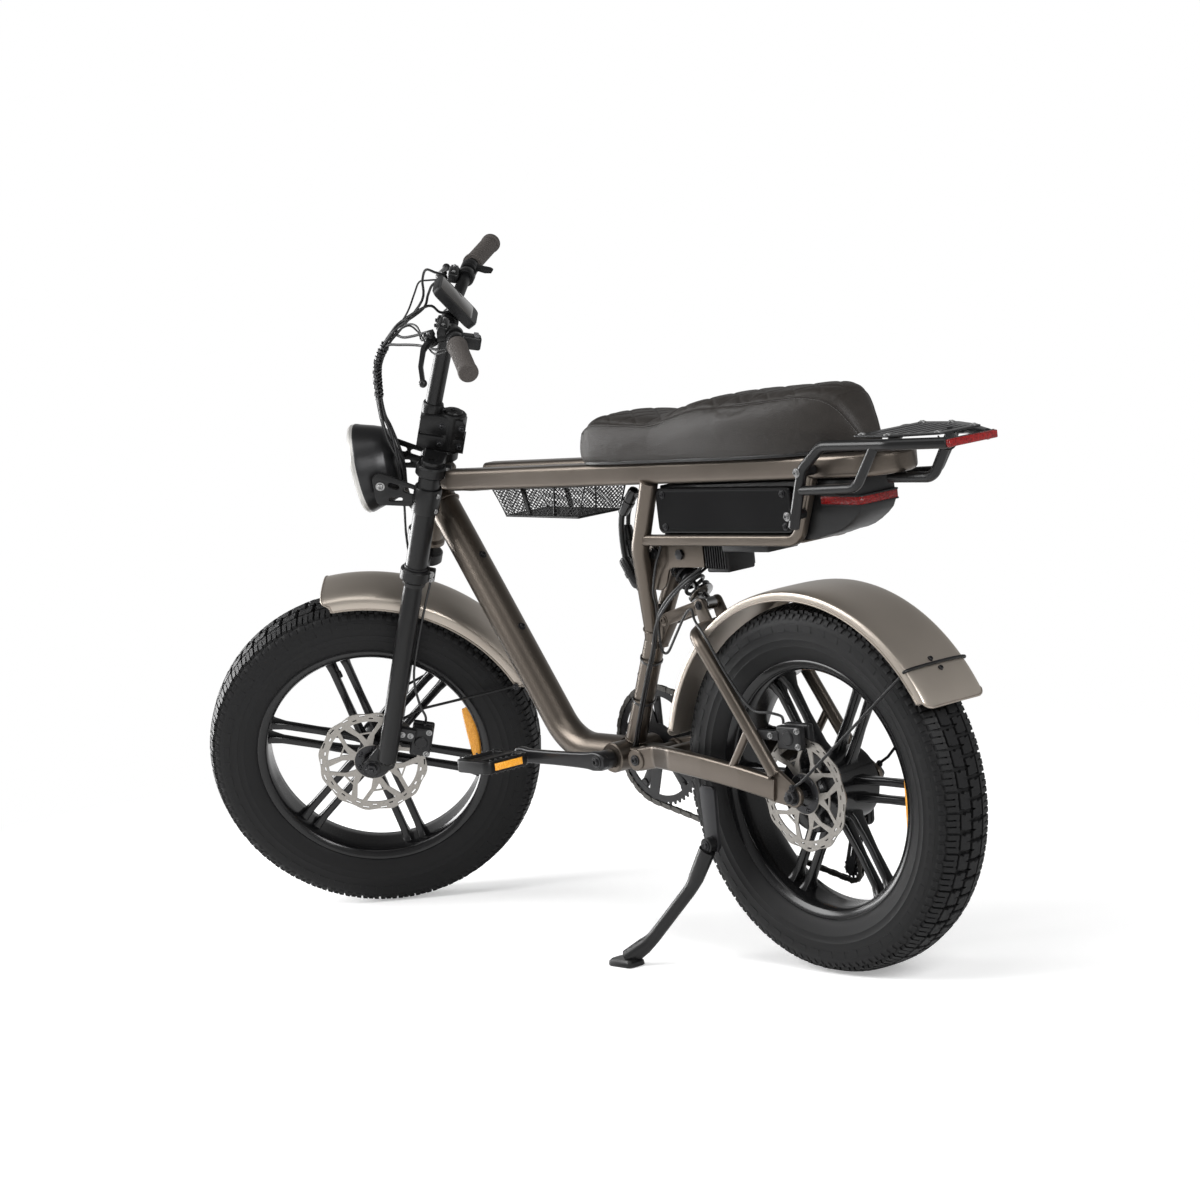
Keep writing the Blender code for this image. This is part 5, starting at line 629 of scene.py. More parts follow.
def lump(corners, low, high, taper=0.0014):
    """A tread block on four (angle, across) corners, from the casing out to a height."""
    centre_a = sum(a for a, y in corners) / len(corners)
    centre_y = sum(y for a, y in corners) / len(corners)
    rings = []
    for lift, shrink in ((low, 0.0), (high - 0.0008, taper * 0.8), (high, taper * 1.6)):
        ring = []
        for a, y in corners:
            reach = hypot((a - centre_a) * CASING, y - centre_y)
            keep = 1 - shrink / reach
            angle, across = centre_a + (a - centre_a) * keep, centre_y + (y - centre_y) * keep
            radius = crown_at(across) + lift
            ring.append((radius * sin(angle), across, radius * cos(angle)))
        rings.append(ring)
    return skin(rings)


def side_nub(angle, wide, low, high, out):
    """A nub standing out of the sidewall."""
    rings = []
    for push, ease in ((-0.001, 0.0), (out, 0.0008)):
        ring = []
        for a, radius, y in ((-wide, low + ease, 0.055), (wide, low + ease, 0.055),
                (wide * 0.9, high - ease, 0.0535), (-wide * 0.9, high - ease, 0.0535)):
            turn = angle + a * (1 - ease * 90)
            ring.append((radius * sin(turn), y + push, radius * cos(turn)))
        rings.append(ring)
    return skin(rings)


def mirror_across(mesh):
    """The mesh on the other side of the wheel's middle plane."""
    bm = bmesh.new()
    bm.from_mesh(mesh)
    bmesh.ops.transform(bm, matrix=Matrix.Diagonal((1, -1, 1, 1)), verts=bm.verts)
    bmesh.ops.reverse_faces(bm, faces=bm.faces)
    return poured(bm, "mirrored")


pitch = 2 * pi / TREAD_PITCHES
half_tread = joined(lump([(-0.43 * pitch, 0.0018), (-0.07 * pitch, 0.0018), (-0.05 * pitch, 0.0075),
    (0.05 * pitch, 0.0075), (0.07 * pitch, 0.0018), (0.39 * pitch, 0.0018), (0.45 * pitch, 0.012),
    (0.33 * pitch, 0.015), (0.43 * pitch, 0.0242), (-0.36 * pitch, 0.0242), (-0.45 * pitch, 0.0135)],
    -0.001, 0.0064),
    *[lump([((shift - 0.13) * pitch, 0.0264), ((shift + 0.13) * pitch, 0.0264),
    ((shift + 0.19) * pitch, reach), ((shift - 0.07) * pitch, reach)], -0.001, 0.0054, 0.0006)
    for shift, reach in ((-0.34, 0.0455), (-0.02, 0.0475), (0.3, 0.0455))],
    lump([(-0.44 * pitch, 0.027), (0.36 * pitch, 0.027), (0.38 * pitch, 0.0325), (-0.42 * pitch, 0.0325)],
    -0.001, 0.0046, 0.0006),
    *[lump([((shift - 0.17) * pitch, 0.0482), ((shift + 0.17) * pitch, 0.0482),
    ((shift + 0.15) * pitch, 0.053), ((shift - 0.15) * pitch, 0.053)], -0.002, 0.003, 0.0005)
    for shift in (-0.18, 0.3)], side_nub(0.06 * pitch, 0.36 * pitch, 0.266, 0.279, 0.0014))
other_half = mirror_across(half_tread)
tread = joined(ring_of(half_tread, TREAD_PITCHES), ring_of(other_half, TREAD_PITCHES, pitch / 2))
casing = turned(tyre_profile, 168, hollow=True)
tyre = joined((casing, ALONG_Y), tread)
piece("front_tyre_tread", tyre, rubber, "front_wheel", "front_tyre", place=front_hub)
piece("rear_tyre_tread", tyre, rubber, "rear_wheel", "rear_tyre", place=rear_hub)

# Cast wheels: one black-lacquered casting with a deep barrel, six pairs of slim blades
# and a round hub. The front hub is small; the rear one is the flat drum of the motor,
# closed by a ring of screws. Each has a rubber valve and an amber reflector.
gloss_black = coat("rim_lacquer", (0.0055, 0.0055, 0.006), 0.2, 0.05, peel=0.0001, varied=0.05, gloss=0.38,
    slot="black_coat")
amber = Finish("amber_lens", (0.9, 0.36, 0.02), 0.2)
prisms = amber.cells(420.0)
amber.put("Base Color", amber.mixed(prisms, (0.72, 0.24, 0.01), (0.98, 0.5, 0.06)))
# The lens is given a faint emission though it is no lamp: a painted glow for the light its prisms throw
# back.
amber.put("Emission Color", (0.85, 0.32, 0.02, 1.0))
amber.shader.inputs["Emission Strength"].default_value = 0.12
amber.bump(prisms, 0.0008)
LIP, WELL, RIM_HALF = 0.2165, 0.199, 0.043
BLADE_OFF, BLADE_PAIRS = 0.0146, 6
REFLECTOR, REFLECTOR_ARC, REFLECTOR_STEPS = 0.19, 0.56, 24
barrel = [(LIP, RIM_HALF - 0.001), (LIP - 0.002, RIM_HALF), (LIP - 0.005, RIM_HALF - 0.001),
    (WELL + 0.004, 0.0385), (WELL, 0.033), (WELL - 0.0008, 0.015), (WELL - 0.0008, -0.015), (WELL, -0.033),
    (WELL + 0.004, -0.0385), (LIP - 0.005, 0.001 - RIM_HALF), (LIP - 0.002, -RIM_HALF),
    (LIP, 0.001 - RIM_HALF), (LIP, -0.0375), (WELL + 0.01, -0.029), (WELL + 0.006, 0.0),
    (WELL + 0.01, 0.029), (LIP, 0.0375)]


def blades(hub_radius):
    """A pair of slim cast blades, flared where they meet the hub and the barrel."""
    rings = []
    for share, wide, deep in ((-0.06, 0.017, 0.036), (0.02, 0.015, 0.03), (0.12, 0.014, 0.021),
            (0.5, 0.0134, 0.0145), (0.85, 0.0138, 0.017), (0.96, 0.0152, 0.028), (1.02, 0.018, 0.04)):
        radius = hub_radius + (WELL - hub_radius) * share
        rings.append([(off, y, radius) for off, y in rounded_box(wide, deep, 0.0042, 3)])
    blade = skin(rings)
    return joined((blade, at(-BLADE_OFF, 0, 0)), (blade, at(BLADE_OFF, 0, 0)))


def wheel_bolts(count, radius, y, size, start=0.0):
    """Button-headed screws in a ring on the hub's left face."""
    head = turned([(0, -0.002), (size, -0.002), (size, size * 0.25), (size * 0.75, size * 0.6),
        (size * 0.4, size * 0.65), (size * 0.35, size * 0.2), (0, size * 0.2)], 10)
    return ring_of(joined((head, at(0, y, radius) @ ALONG_Y)), count, start)


def wheel(hub, name, body, hub_profile, seat, blade_start, screws):
    casting = joined((turned(barrel, 144, hollow=True), ALONG_Y),
        ring_of(blades(blade_start), BLADE_PAIRS, pi / 2), (turned(hub_profile, 72), ALONG_Y))
    piece(name + "_casting", casting, gloss_black, body, name, place=hub)
    piece(name + "_screws", screws, black_steel, body, place=hub)
    valve = turned([(0, 0), (0.0052, 0), (0.004, -0.006), (0.0028, -0.01), (0.0026, -0.03),
        (0.0038, -0.0305), (0.0038, -0.041), (0.003, -0.043), (0, -0.043)], 16)
    piece(name + "_valve", valve, rubber, body, place=hub @ Matrix.Rotation(0.55, 4, "Y")
        @ at(0, 0.004, WELL))
    arc = []
    for step in range(REFLECTOR_STEPS + 1):
        angle = (step / REFLECTOR_STEPS - 0.5) * REFLECTOR_ARC
        swell = cos(angle * pi / 0.62) ** 0.6
        arc.append([(r * sin(angle), y, r * cos(angle))
            for r, y in ((REFLECTOR - 0.013 * swell - 0.002, 0.013),
            (REFLECTOR - 0.011 * swell - 0.001, 0.0175), (REFLECTOR, 0.0195), (REFLECTOR + 0.005, 0.018),
            (REFLECTOR + 0.007, 0.013))])
    piece(name + "_reflector", skin(arc), amber, body, place=hub @ Matrix.Rotation(seat, 4, "Y"))


front_core = [(0, -0.0577), (0.02, -0.0577), (0.03, -0.0565), (0.031, -0.048), (0.0265, -0.043),
    (0.0255, -0.02), (0.0255, 0.02), (0.028, 0.042), (0.034, 0.046), (0.034, 0.06), (0.0325, 0.0611),
    (0, 0.0611)]
motor_core = [(0, -0.0487), (0.028, -0.0487), (0.03, -0.047), (0.058, -0.0455), (0.061, -0.043),
    (0.0625, -0.03), (0.0625, 0.03), (0.0655, 0.042), (0.068, 0.044), (0.068, 0.052), (0.066, 0.0545),
    (0.04, 0.056), (0.036, 0.06), (0.034, 0.0676), (0, 0.0676)]
wheel(front_hub, "front_rim", "front_wheel", front_core, radians(-69), 0.02,
    wheel_bolts(6, 0.027, 0.064, 0.004))
wheel(rear_hub, "rear_rim", "rear_wheel", motor_core, radians(-92.6), 0.052,
    joined(wheel_bolts(10, 0.0615, 0.054, 0.0034), wheel_bolts(6, 0.029, 0.0705, 0.004, 0.3)))

# Brake discs: thin stamped steel rings with a waved edge, rows of drilled slots and
# raked arms, bolted to the left side of each hub. Brushed round their axis.
disc_steel = Finish("brushed_disc", (0.28, 0.265, 0.245), 0.36, 0.92, slot="rotor_steel")
brushed = disc_steel.noise(90.0, 3.0, disc_steel.stretched((3.0, 3.0, 3.0)))
disc_steel.put("Roughness", 0.3 + 0.16 * brushed)
disc_steel.put("Base Color", disc_steel.mixed(brushed, (0.215, 0.205, 0.19), (0.345, 0.325, 0.3)))
DISC_THICK = 0.0022


def brake_disc(radius):
    """A waved ring with rows of long slots, on a star of thin struts set in pairs."""
    outer = [polar(radius - 0.0018 + 0.0018 * cos(24 * pi * i / 96), 2 * pi * i / 96) for i in range(96)]
    ring, foot = radius - 0.0175, 0.04
    holes = [[polar(0.0205, 2 * pi * i / 32) for i in range(32)]]
    for arm in range(6):
        middle = pi / 3 * arm + 0.16
        bar = foot + (ring - foot) * 0.46
        holes.append([polar(bar - 0.0018, middle - 0.125), polar(foot + 0.006, middle - 0.02),
            polar(bar - 0.0018, middle + 0.145)])
        holes.append([polar(bar + 0.0016, middle - 0.18)] + [polar(ring - 0.001, middle + 0.052 * i)
            for i in range(-6, 8)] + [polar(bar + 0.0016, middle + 0.205)])
        gap = middle + pi / 6
        holes.append([polar(ring - 0.001, gap + 0.03 * i) for i in range(-2, 3)]
            + [polar(0.056, gap + 0.235), polar(0.0355, gap + 0.29), polar(0.0345, gap),
            polar(0.0355, gap - 0.29), polar(0.056, gap - 0.235)])
    for i in range(18):
        middle = 2 * pi * (i + 0.5) / 18
        for reach, wide, turned_by in ((radius - 0.0058, 0.12, 0.0), (radius - 0.0122, 0.09, pi / 18)):
            arc = [middle + turned_by + wide * (k / 4 - 0.5) for k in range(5)]
            holes.append([polar(reach - 0.0013, a) for a in arc] + [polar(reach + 0.0013, a)
                for a in reversed(arc)])
    return slab([outer] + holes, DISC_THICK, 0.0)


disc_bolts = joined(wheel_bolts(6, 0.0272, 0.0011, 0.0042, 0.2))
for hub, name, body, radius, y in ((front_hub, "front_rotor", "front_wheel", 0.1015, 0.0625),
        (rear_hub, "rear_rotor", "rear_wheel", 0.0965, 0.069)):
    piece(name + "_disc", brake_disc(radius), disc_steel, body, name, place=hub @ upright(y))
    carrier = turned([(0.0205, -0.0013), (0.0335, -0.0013), (0.0335, 0.0016), (0.0315, 0.0022),
        (0.0205, 0.0022)], 48, hollow=True)
    piece(name + "_carrier", joined((carrier, ALONG_Y), disc_bolts), black_steel, body,
        place=hub @ at(0, y, 0))

# Fork sliders: the moving legs, turned and painted satin black, with a forged lug for
# the axle at each foot. The axle is dark steel with a nut and washer on each side.
satin_black = coat("satin_black", (0.0062, 0.0062, 0.0065), 0.32, 0.05, gloss=0.32, slot="black_coat")
LEG_LEAD, LEG_Y, FOOT_Y, SLIDER_RADIUS, STANCHION = 0.013, 0.09, 0.0826, 0.018, 0.02
AXLE = (AXLE_LEAD, -AXLE_LEAD / tan(HEAD_ANGLE))
slider_profile = [(0, -0.001), (0.012, -0.001), (0.0145, 0.002), (SLIDER_RADIUS, 0.006),
    (SLIDER_RADIUS, 0.348), (0.0172, 0.35), (0.0172, 0.45), (0, 0.45)]
leg_foot = slab([hull([(*AXLE, 0.0165), (LEG_LEAD, 0.03, 0.017), (LEG_LEAD - 0.004, -0.004, 0.012)])],
    0.014, 0.0025)
for name, side in (("slider_left", 1), ("slider_right", -1)):
    bosses = (pin(0.0175, -0.0085, 0.008, 0.0015, 32), crosswise(*AXLE, side * FOOT_Y))
    piece(name + "_leg", joined((turned(slider_profile, 48), at(LEG_LEAD, side * LEG_Y, 0)),
        (leg_foot, upright(side * FOOT_Y)), bosses), satin_black, "fork_lowers", name, place=steering)


NUT_TALL = 0.0085


def axle_end(radius, thread):
    """A hexagon nut on its washer, with the thread's end standing out, on Z = 0."""
    return joined(pin(radius * 1.25, 0, 0.0018, 0.0004, 32),
        (slab([circle(radius, 6)], NUT_TALL, 0.0008), at(0, 0, 0.0018 + NUT_TALL / 2)),
        pin(thread, 0, NUT_TALL + 0.0075, 0.001, 16))


def facing_out(x, z, y):
    """A frame whose Z points away from the bicycle's middle."""
    return at(x, y, z) @ Matrix.Rotation(-copysign(pi / 2, y), 4, "X")


zinc = coat("plated_steel", (0.3, 0.3, 0.3), 0.32, 0.9, peel=0.0001, slot="dark_steel")
front_nuts = [(pin(0.0058, -0.0899, 0.0899), crosswise(*AXLE))]
for side in (1, -1):
    front_nuts.append((axle_end(0.0112, 0.005), facing_out(*AXLE, side * 0.0903)))
piece("front_axle_nuts", joined(*front_nuts), black_steel, "fork_lowers", "front_axle", place=steering)

# Fork crowns and outer tubes: two forged bridges clamp the tubes, each by a lug on both
# sides with two plated cap screws, and a round cap closes every tube at the top.
crown_plan = hull([(LEG_LEAD, LEG_Y, 0.017), (0.005, 0.0, 0.019), (LEG_LEAD, -LEG_Y, 0.017)], 32)
for name, low, high, steerer in (("lower_crown", 0.377, 0.399, True), ("upper_crown", 0.583, 0.603, False)):
    tall = high - low
    parts = [(slab([crown_plan], tall, 0.0035), at(0, 0, (low + high) / 2)),
        pin(0.03, low - 0.0004, high + 0.0004, 0.003, 40)]
    bolts = []
    for side in (1, -1):
        parts.append((pin(0.0275, low - 0.0004, high + 0.0004, 0.003, 40), at(LEG_LEAD, side * LEG_Y, 0)))
        parts.append((block((0.016, 0.02, tall), 0.003), at(LEG_LEAD - 0.028, side * (LEG_Y - 0.006),
            (low + high) / 2)))
        for rise in (0.27, 0.73):
            bolts.append(cap_screw(0.0036, 0.005, facing_out(LEG_LEAD - 0.029, low + rise * tall,
                side * (LEG_Y + 0.0043))))
    if steerer:
        parts.append(pin(0.0127, low, 0.67))
    piece(name + "_forging", joined(*parts), satin_black, "steering", name)
    piece(name + "_screws", joined(*bolts), zinc, "steering")
outer_tube = [(0.0181, 0.372), (STANCHION - 0.0006, 0.372), (STANCHION, 0.3728), (STANCHION, 0.6055),
    (0.019, 0.606), (0.019, 0.6068), (STANCHION, 0.6073), (STANCHION, 0.6105), (0.0185, 0.612),
    (0.0075, 0.612), (0.0075, 0.6085), (0, 0.6085), (0, 0.605), (0.0181, 0.605)]
for name, side in (("fork_tube_left", 1), ("fork_tube_right", -1)):
    seal = turned([(0.0184, 0.3655), (0.0203, 0.366), (0.0212, 0.369), (0.0212, 0.3735), (0.0184, 0.3735)],
        48, hollow=True)
    piece(name + "_tube", joined(turned(outer_tube, 64), seal), satin_black, "steering", name,
        place=steering @ at(LEG_LEAD, side * LEG_Y, 0))

# Stem: a forged block on the steerer with four cap screws in its side and a domed top
# cap, a tall mast welded to it, and a clamp with two screws that holds the handlebar.
BAR_Z, BAR_RADIUS = 0.845, 0.0111
stem_low = [(-0.038, 0.6037), (0.047, 0.6037), (0.047, 0.63), (-0.038, 0.63)]
stem_core = [(-0.034, 0.628), (0.043, 0.628), (0.043, 0.636), (-0.034, 0.636)]
stem_top = [(-0.036, 0.6335), (0.047, 0.6335), (0.047, 0.66), (0.04, 0.667), (0.008, 0.67), (-0.03, 0.666),
    (-0.036, 0.658)]
mast_axis = between((0.03, 0, 0.6157), (0.0215, 0, BAR_Z))
mast_long = (Vector((0.0215, 0, BAR_Z)) - Vector((0.03, 0, 0.6157))).length
piece("stem", joined((slab([stem_low], 0.047, 0.0025), upright(0)),
    (slab([stem_core], 0.04, 0.001), upright(0)), (slab([stem_top], 0.047, 0.0025), upright(0)),
    (pin(0.0245, 0.6037, 0.672, 0.002, 48), at(-0.01, 0, 0)), (pin(0.015, 0, mast_long, 0.001, 40),
    mast_axis), (turned([(0.015, 0.05), (0.0185, 0.05), (0.019, 0.053), (0.019, 0.066), (0.018, 0.069),
    (0.015, 0.07)], 40), mast_axis), (sleeve(0.0113, 0.0163, -0.022, 0.022, 40, 0.0008, 0.002),
    crosswise(0.021, BAR_Z)), (block((0.012, 0.04, 0.016), 0.003), at(0.037, 0, BAR_Z - 0.008)),
    (turned([(0, 0.663), (0.0172, 0.663), (0.0172, 0.6735), (0.015, 0.676), (0.006, 0.6768),
    (0.0055, 0.6745), (0, 0.6745)], 40), at(-0.01, 0, 0))), satin_black, "steering", "stem_mast")
stem_screws = [cap_screw(0.0042, 0.006, facing_out(x, z, 0.0236)) for x in (-0.03, 0.006)
    for z in (0.617, 0.652)]
stem_screws += [cap_screw(0.0034, 0.005, between((0.042, y, BAR_Z - 0.009), (0.06, y, BAR_Z - 0.012)))
    for y in (-0.013, 0.013)]
stem_screws += [cap_screw(0.0036, 0.0052, mast_axis @ at(0, 0, 0.059) @ Matrix.Rotation(pi / 2, 4, "X")
    @ at(0, 0, 0.0186))]
stem_screws += [cap_screw(0.0042, 0.004, at(-0.01, 0, 0.6748))]
piece("stem_screws", joined(*stem_screws), black_steel, "steering")

# Handlebar: one alloy tube, level in the middle, rising on each side and swept back at
# the grips. The grips are ribbed charcoal rubber with a flared inner end and a plug.
half_bar = [(0.021, 0.045, BAR_Z), (0.011, 0.112, BAR_Z + 0.026), (0.001, 0.2, BAR_Z + 0.035),
    (-0.028, 0.3275, BAR_Z + 0.037)]
bar_line = rounded([(x, -y, z) for x, y, z in reversed(half_bar)] + half_bar, 0.05, 8)
piece("bar", swept(bar_line, circle(BAR_RADIUS, 32)), satin_black, "steering", "handlebar")


def bar_at(y):
    """The bar's centre and its outward direction at a distance from the middle."""
    side = copysign(1, y)
    corners = [Vector((x, side * across, z)) for x, across, z in half_bar]
    for a, b in zip(corners, corners[1:]):
        if abs(y) <= abs(b.y) or b is corners[-1]:
            return a.lerp(b, (y - a.y) / (b.y - a.y)), (b - a).normalized()


def bar_frame(y):
    """Coordinates on the bar: Z outwards along it, X ahead, Y up or down."""
    centre, way = bar_at(y)
    front = (Vector((1, 0, 0)) - way * way.x).normalized()
    return Matrix.Translation(centre) @ Matrix((front, way.cross(front), way)).transposed().to_4x4()


grip_rubber = coat("grip_rubber", (0.062, 0.055, 0.051), 0.7, 0.0, peel=0.0003, gloss=0.25,
    slot="grip_rubber")
grip_rubber.bump(grip_rubber.cells(340.0, distance="CHEBYCHEV"), 0.001, 0.8)
GRIP_RIBS, RIB_PITCH = 11, 0.0086
for name, side in (("grip_left", 1), ("grip_right", -1)):
    inner, outer = bar_at(side * 0.207)[0], bar_at(side * 0.331)[0]
    long = (outer - inner).length
    outline = [(0.0112, 0), (0.0172, 0), (0.0182, 0.0012), (0.0182, 0.0065), (0.0168, 0.0085)]
    for rib in range(GRIP_RIBS):
        foot = 0.011 + rib * RIB_PITCH
        outline += [(0.0156, foot), (0.0165, foot + 0.0012), (0.0166, foot + 0.0052),
            (0.0157, foot + 0.0066)]
    outline += [(0.016, long - 0.014), (0.0176, long - 0.012), (0.0178, long - 0.004),
        (0.0165, long - 0.001), (0.012, long), (0.009, long - 0.0012), (0, long - 0.0012)]
    piece(name + "_rubber", turned(outline, 40), grip_rubber, "steering", name,
        place=steering @ between(inner, outer))

# Brake levers: cast perches clamped on the bar, each with a small oil tank and its lid,
# and slim forged blades with a ball end that swing on a pin between two ears.
def flowing(points, steps=6):
    """A smooth path through all the points."""
    points = [Vector(point) for point in points]
    padded_points = [2 * points[0] - points[1]] + points + [2 * points[-1] - points[-2]]
    path = []
    for a, b, c, d in zip(padded_points, padded_points[1:], padded_points[2:], padded_points[3:]):
        for step in range(steps):
            t = step / steps
            path.append(0.5 * ((2 * b) + (c - a) * t + (2 * a - 5 * b + 4 * c - d) * t * t
                + (3 * b - a - 3 * c + d) * t ** 3))
    return path + [points[-1]]


lever_blade = [(0.0042, 0.003), (0.005, 0.0), (0.0042, -0.003), (-0.0042, -0.003), (-0.005, 0.0),
    (-0.0042, 0.003)]
for name, side in (("left", 1), ("right", -1)):
    hub_place = Vector((0.046, side * 0.152, BAR_Z + 0.0185))
    blade_way = Vector((0.0, side * 0.978, -0.205)).normalized()
    pull = Vector((-0.055, 0.0, 0.035)).normalized()
    pin_way = (blade_way.cross(pull) * side).normalized()
    hinge = at(*hub_place) @ pin_way.to_track_quat("Z", "Y").to_matrix().to_4x4()
    centre, way = bar_at(side * 0.15)
    on_bar = between(centre, centre + way)
    tank = centre + Vector((0.022, -side * 0.016, 0.006))
    clamp = sleeve(0.0113, 0.0166, -0.01, 0.01, 36, 0.0011, 0.002)
    ear = pin(0.0107, 0.0048, 0.0118, 0.0012, 28)
    ear_low = pin(0.0107, -0.0118, -0.0048, 0.0012, 28)
    piece("perch_" + name, joined((clamp, on_bar), (block((0.019, 0.046, 0.018), 0.004, 3), at(*tank)),
        (block((0.013, 0.04, 0.003), 0.001), at(*tank + Vector((0, 0, 0.0098)))),
        (turned([(0.009, 0.01), (0.0086, 0.03), (0, 0.03)], 20), between(centre, hub_place)), (ear, hinge),
        (ear_low, hinge), (pin(0.0032, -0.0125, 0.0125, 0.0005, 16), hinge)), satin_black, "steering",
        "brake_perch_" + name)
    piece("perch_screws_" + name, joined(cap_screw(0.0028, 0.003, hinge @ at(0, 0, 0.0118)),
        cap_screw(0.0022, 0.0024, at(*tank + Vector((0, 0.015, 0.0115)))),
        cap_screw(0.0022, 0.0024, at(*tank + Vector((0, -0.015, 0.0115))))), zinc, "steering")
    bends = [hub_place + blade_way * 0.002, hub_place + blade_way * 0.03 + Vector((0.01, 0, -0.004)),
        hub_place + blade_way * 0.085 + Vector((0.009, 0, -0.004)), hub_place + blade_way * 0.14]
    blade_line = flowing(rounded(bends, 0.05, 4), 2)
    swell = [1.35 - 0.45 * min(1.0, i / (len(blade_line) * 0.5)) for i in range(len(blade_line))]
    knob = bmesh.new()
    bmesh.ops.create_uvsphere(knob, u_segments=20, v_segments=12, radius=0.0074,
        matrix=at(*hub_place + blade_way * 0.141))
    piece("blade_" + name, joined((pin(0.0084, -0.0042, 0.0042, 0.0006, 28), hinge), poured(knob, "knob"),
        swept(blade_line, lever_blade, up=pin_way, sizes=swell)), satin_black, "lever_" + name,
        "lever_" + name, place=steering)

# Controls: a thumb throttle with its paddle on the right, a keypad with three soft
# buttons on the left, and the display over the clamp, a dark glass in a slim case.
plastic = coat("black_plastic", (0.0075, 0.0075, 0.008), 0.4, 0.0, peel=0.0004, gloss=0.28,
    slot="black_plastic")
grain = plastic.noise(900.0, 1.0)
plastic.bump(grain, 0.0003, 0.5)
key_grey = coat("soft_keys", (0.1, 0.1, 0.105), 0.65, 0.0)
throttle_place = bar_frame(-0.186)
paddle = slab([[(-0.012, 0.0), (-0.03, -0.0015), (-0.041, 0.001), (-0.043, 0.006), (-0.038, 0.0085),
    (-0.02, 0.0085), (-0.01, 0.01)]], 0.013, 0.002)
piece("throttle_ring", joined(sleeve(0.0118, 0.016, -0.008, 0.008, 36, 0.001, 0.002), paddle), plastic,
    "throttle", "throttle", place=steering @ throttle_place)
piece("throttle_base", turned([(0.0113, -0.0175), (0.015, -0.017), (0.0158, -0.015), (0.0158, -0.0092),
    (0.0113, -0.0092)], 36, hollow=True), satin_black, "steering", place=steering @ throttle_place, slot="")
pad_place = bar_frame(0.186)
piece("keypad", joined(sleeve(0.0113, 0.016, -0.01, 0.01, 36, 0.001, 0.002),
    (block((0.034, 0.024, 0.027), 0.0045, 4), at(-0.026, -0.004, 0))), plastic, "steering", "control_pad",
    place=steering @ pad_place)
keys = [(block((0.0085, 0.0036, 0.0066), 0.0012, 2), at(-0.034, -0.0168, along))
    for along in (-0.0085, 0.0, 0.0085)]
piece("keys", joined(*keys), key_grey, "steering", place=steering @ pad_place)
screen_place = at(0.0165, 0, BAR_Z + 0.0345) @ Matrix.Rotation(-radians(38.6), 4, "Y")
case_rings = [[(x * s, y * s, z) for x, y in rounded_box(0.098, 0.07, 0.012, 6)]
    for z, s in ((-0.0088, 0.93), (-0.0075, 0.985), (0.0055, 1.0), (0.0088, 0.975), (0.009, 0.945))]
case_foot = between((0.0185, 0, BAR_Z + 0.015), (0.0175, 0, BAR_Z + 0.03))
piece("display_case", joined((skin(case_rings), screen_place),
    (pin(0.011, 0, 0.015, 0.001, 28), case_foot)), plastic, "steering", "display")
glass = Finish("display_glass", (0.01, 0.01, 0.012), 0.08)
# A noise patches the dark glass with a warmer, lighter tone: a painted reflection on the screen.
warm_painted_reflection = glass.noise(14.0, 1.0)
glass.put("Base Color", glass.mixed(warm_painted_reflection, (0.008, 0.008, 0.01), (0.03, 0.024, 0.016)))
glass.put("Coat Weight", 0.8)
window_rings = [[(x * s + 0.004, y * s, z) for x, y in rounded_box(0.078, 0.06, 0.005, 5)]
    for z, s in ((0.0082, 1.0), (0.0093, 1.0), (0.0096, 0.985))]
piece("display_window", skin(window_rings), glass, "steering", place=steering @ screen_place)

# Headlight: a spun black drum with a pale bezel, a faceted reflector behind its glass,
# and two pierced arms that are held by rings clamped round the fork's outer tubes.
lamp_place = at(0.142, 0, 0.534) @ Matrix.Rotation(pi - HEAD_ANGLE, 4, "Y")
LAMP_BACK = 0.066
shell = [(0.07, -0.004), (0.0765, -0.004), (0.0765, -0.006), (0.08, -0.007), (0.0812, -0.01),
    (0.0802, -0.014), (0.078, -0.02), (0.0715, -0.043), (LAMP_BACK, -0.058), (0.064, -0.061),
    (0.056, -0.068), (0.04, -0.0745), (0.02, -0.0775), (0, -0.078), (0, -0.06), (0.05, -0.045)]
spun_black = coat("spun_black", (0.02, 0.02, 0.021), 0.3, 0.45, peel=0.0001, slot="black_coat")
piece("headlight_drum", turned(shell, 96), spun_black, "steering", "headlight_shell",
    place=steering @ lamp_place)
arm_outline = hull([(LEG_LEAD, 0.536, 0.016), (0.1, 0.556, 0.014), (0.092, 0.52, 0.01)], 32)
arm_holes = [hull([(0.04, 0.545, 0.005), (0.052, 0.547, 0.005)]),
    hull([(0.069, 0.549, 0.005), (0.08, 0.551, 0.005)]),
    hull([(0.058, 0.527, 0.0035), (0.076, 0.524, 0.0035)])]
arms, arm_screws = [], []
for side in (1, -1):
    arms.append((slab([arm_outline] + arm_holes, 0.005, 0.0008), upright(side * 0.088)))
    arms.append((sleeve(0.0203, 0.025, 0.512, 0.56, 48, 0.001, 0.003), at(LEG_LEAD, side * LEG_Y, 0)))
    arms.append((pin(0.0062, 0.055, 0.0905, 0.001, 20), crosswise(0.098, 0.546) if side > 0
        else crosswise(0.098, 0.546) @ Matrix.Rotation(pi, 4, "X")))
    arm_screws.append(cap_screw(0.0052, 0.0055, facing_out(0.098, 0.546, side * 0.091)))
    for z in (0.521, 0.551):
        arm_screws.append(cap_screw(0.003, 0.004, between((-0.006, side * 0.106, z),
            (-0.012, side * 0.125, z))))
piece("lamp_arms", joined(*arms), satin_black, "steering")
piece("lamp_screws", joined(*arm_screws), zinc, "steering")
pale_bezel = coat("satin_bezel", (0.52, 0.51, 0.49), 0.35, 0.55, peel=0.0001)
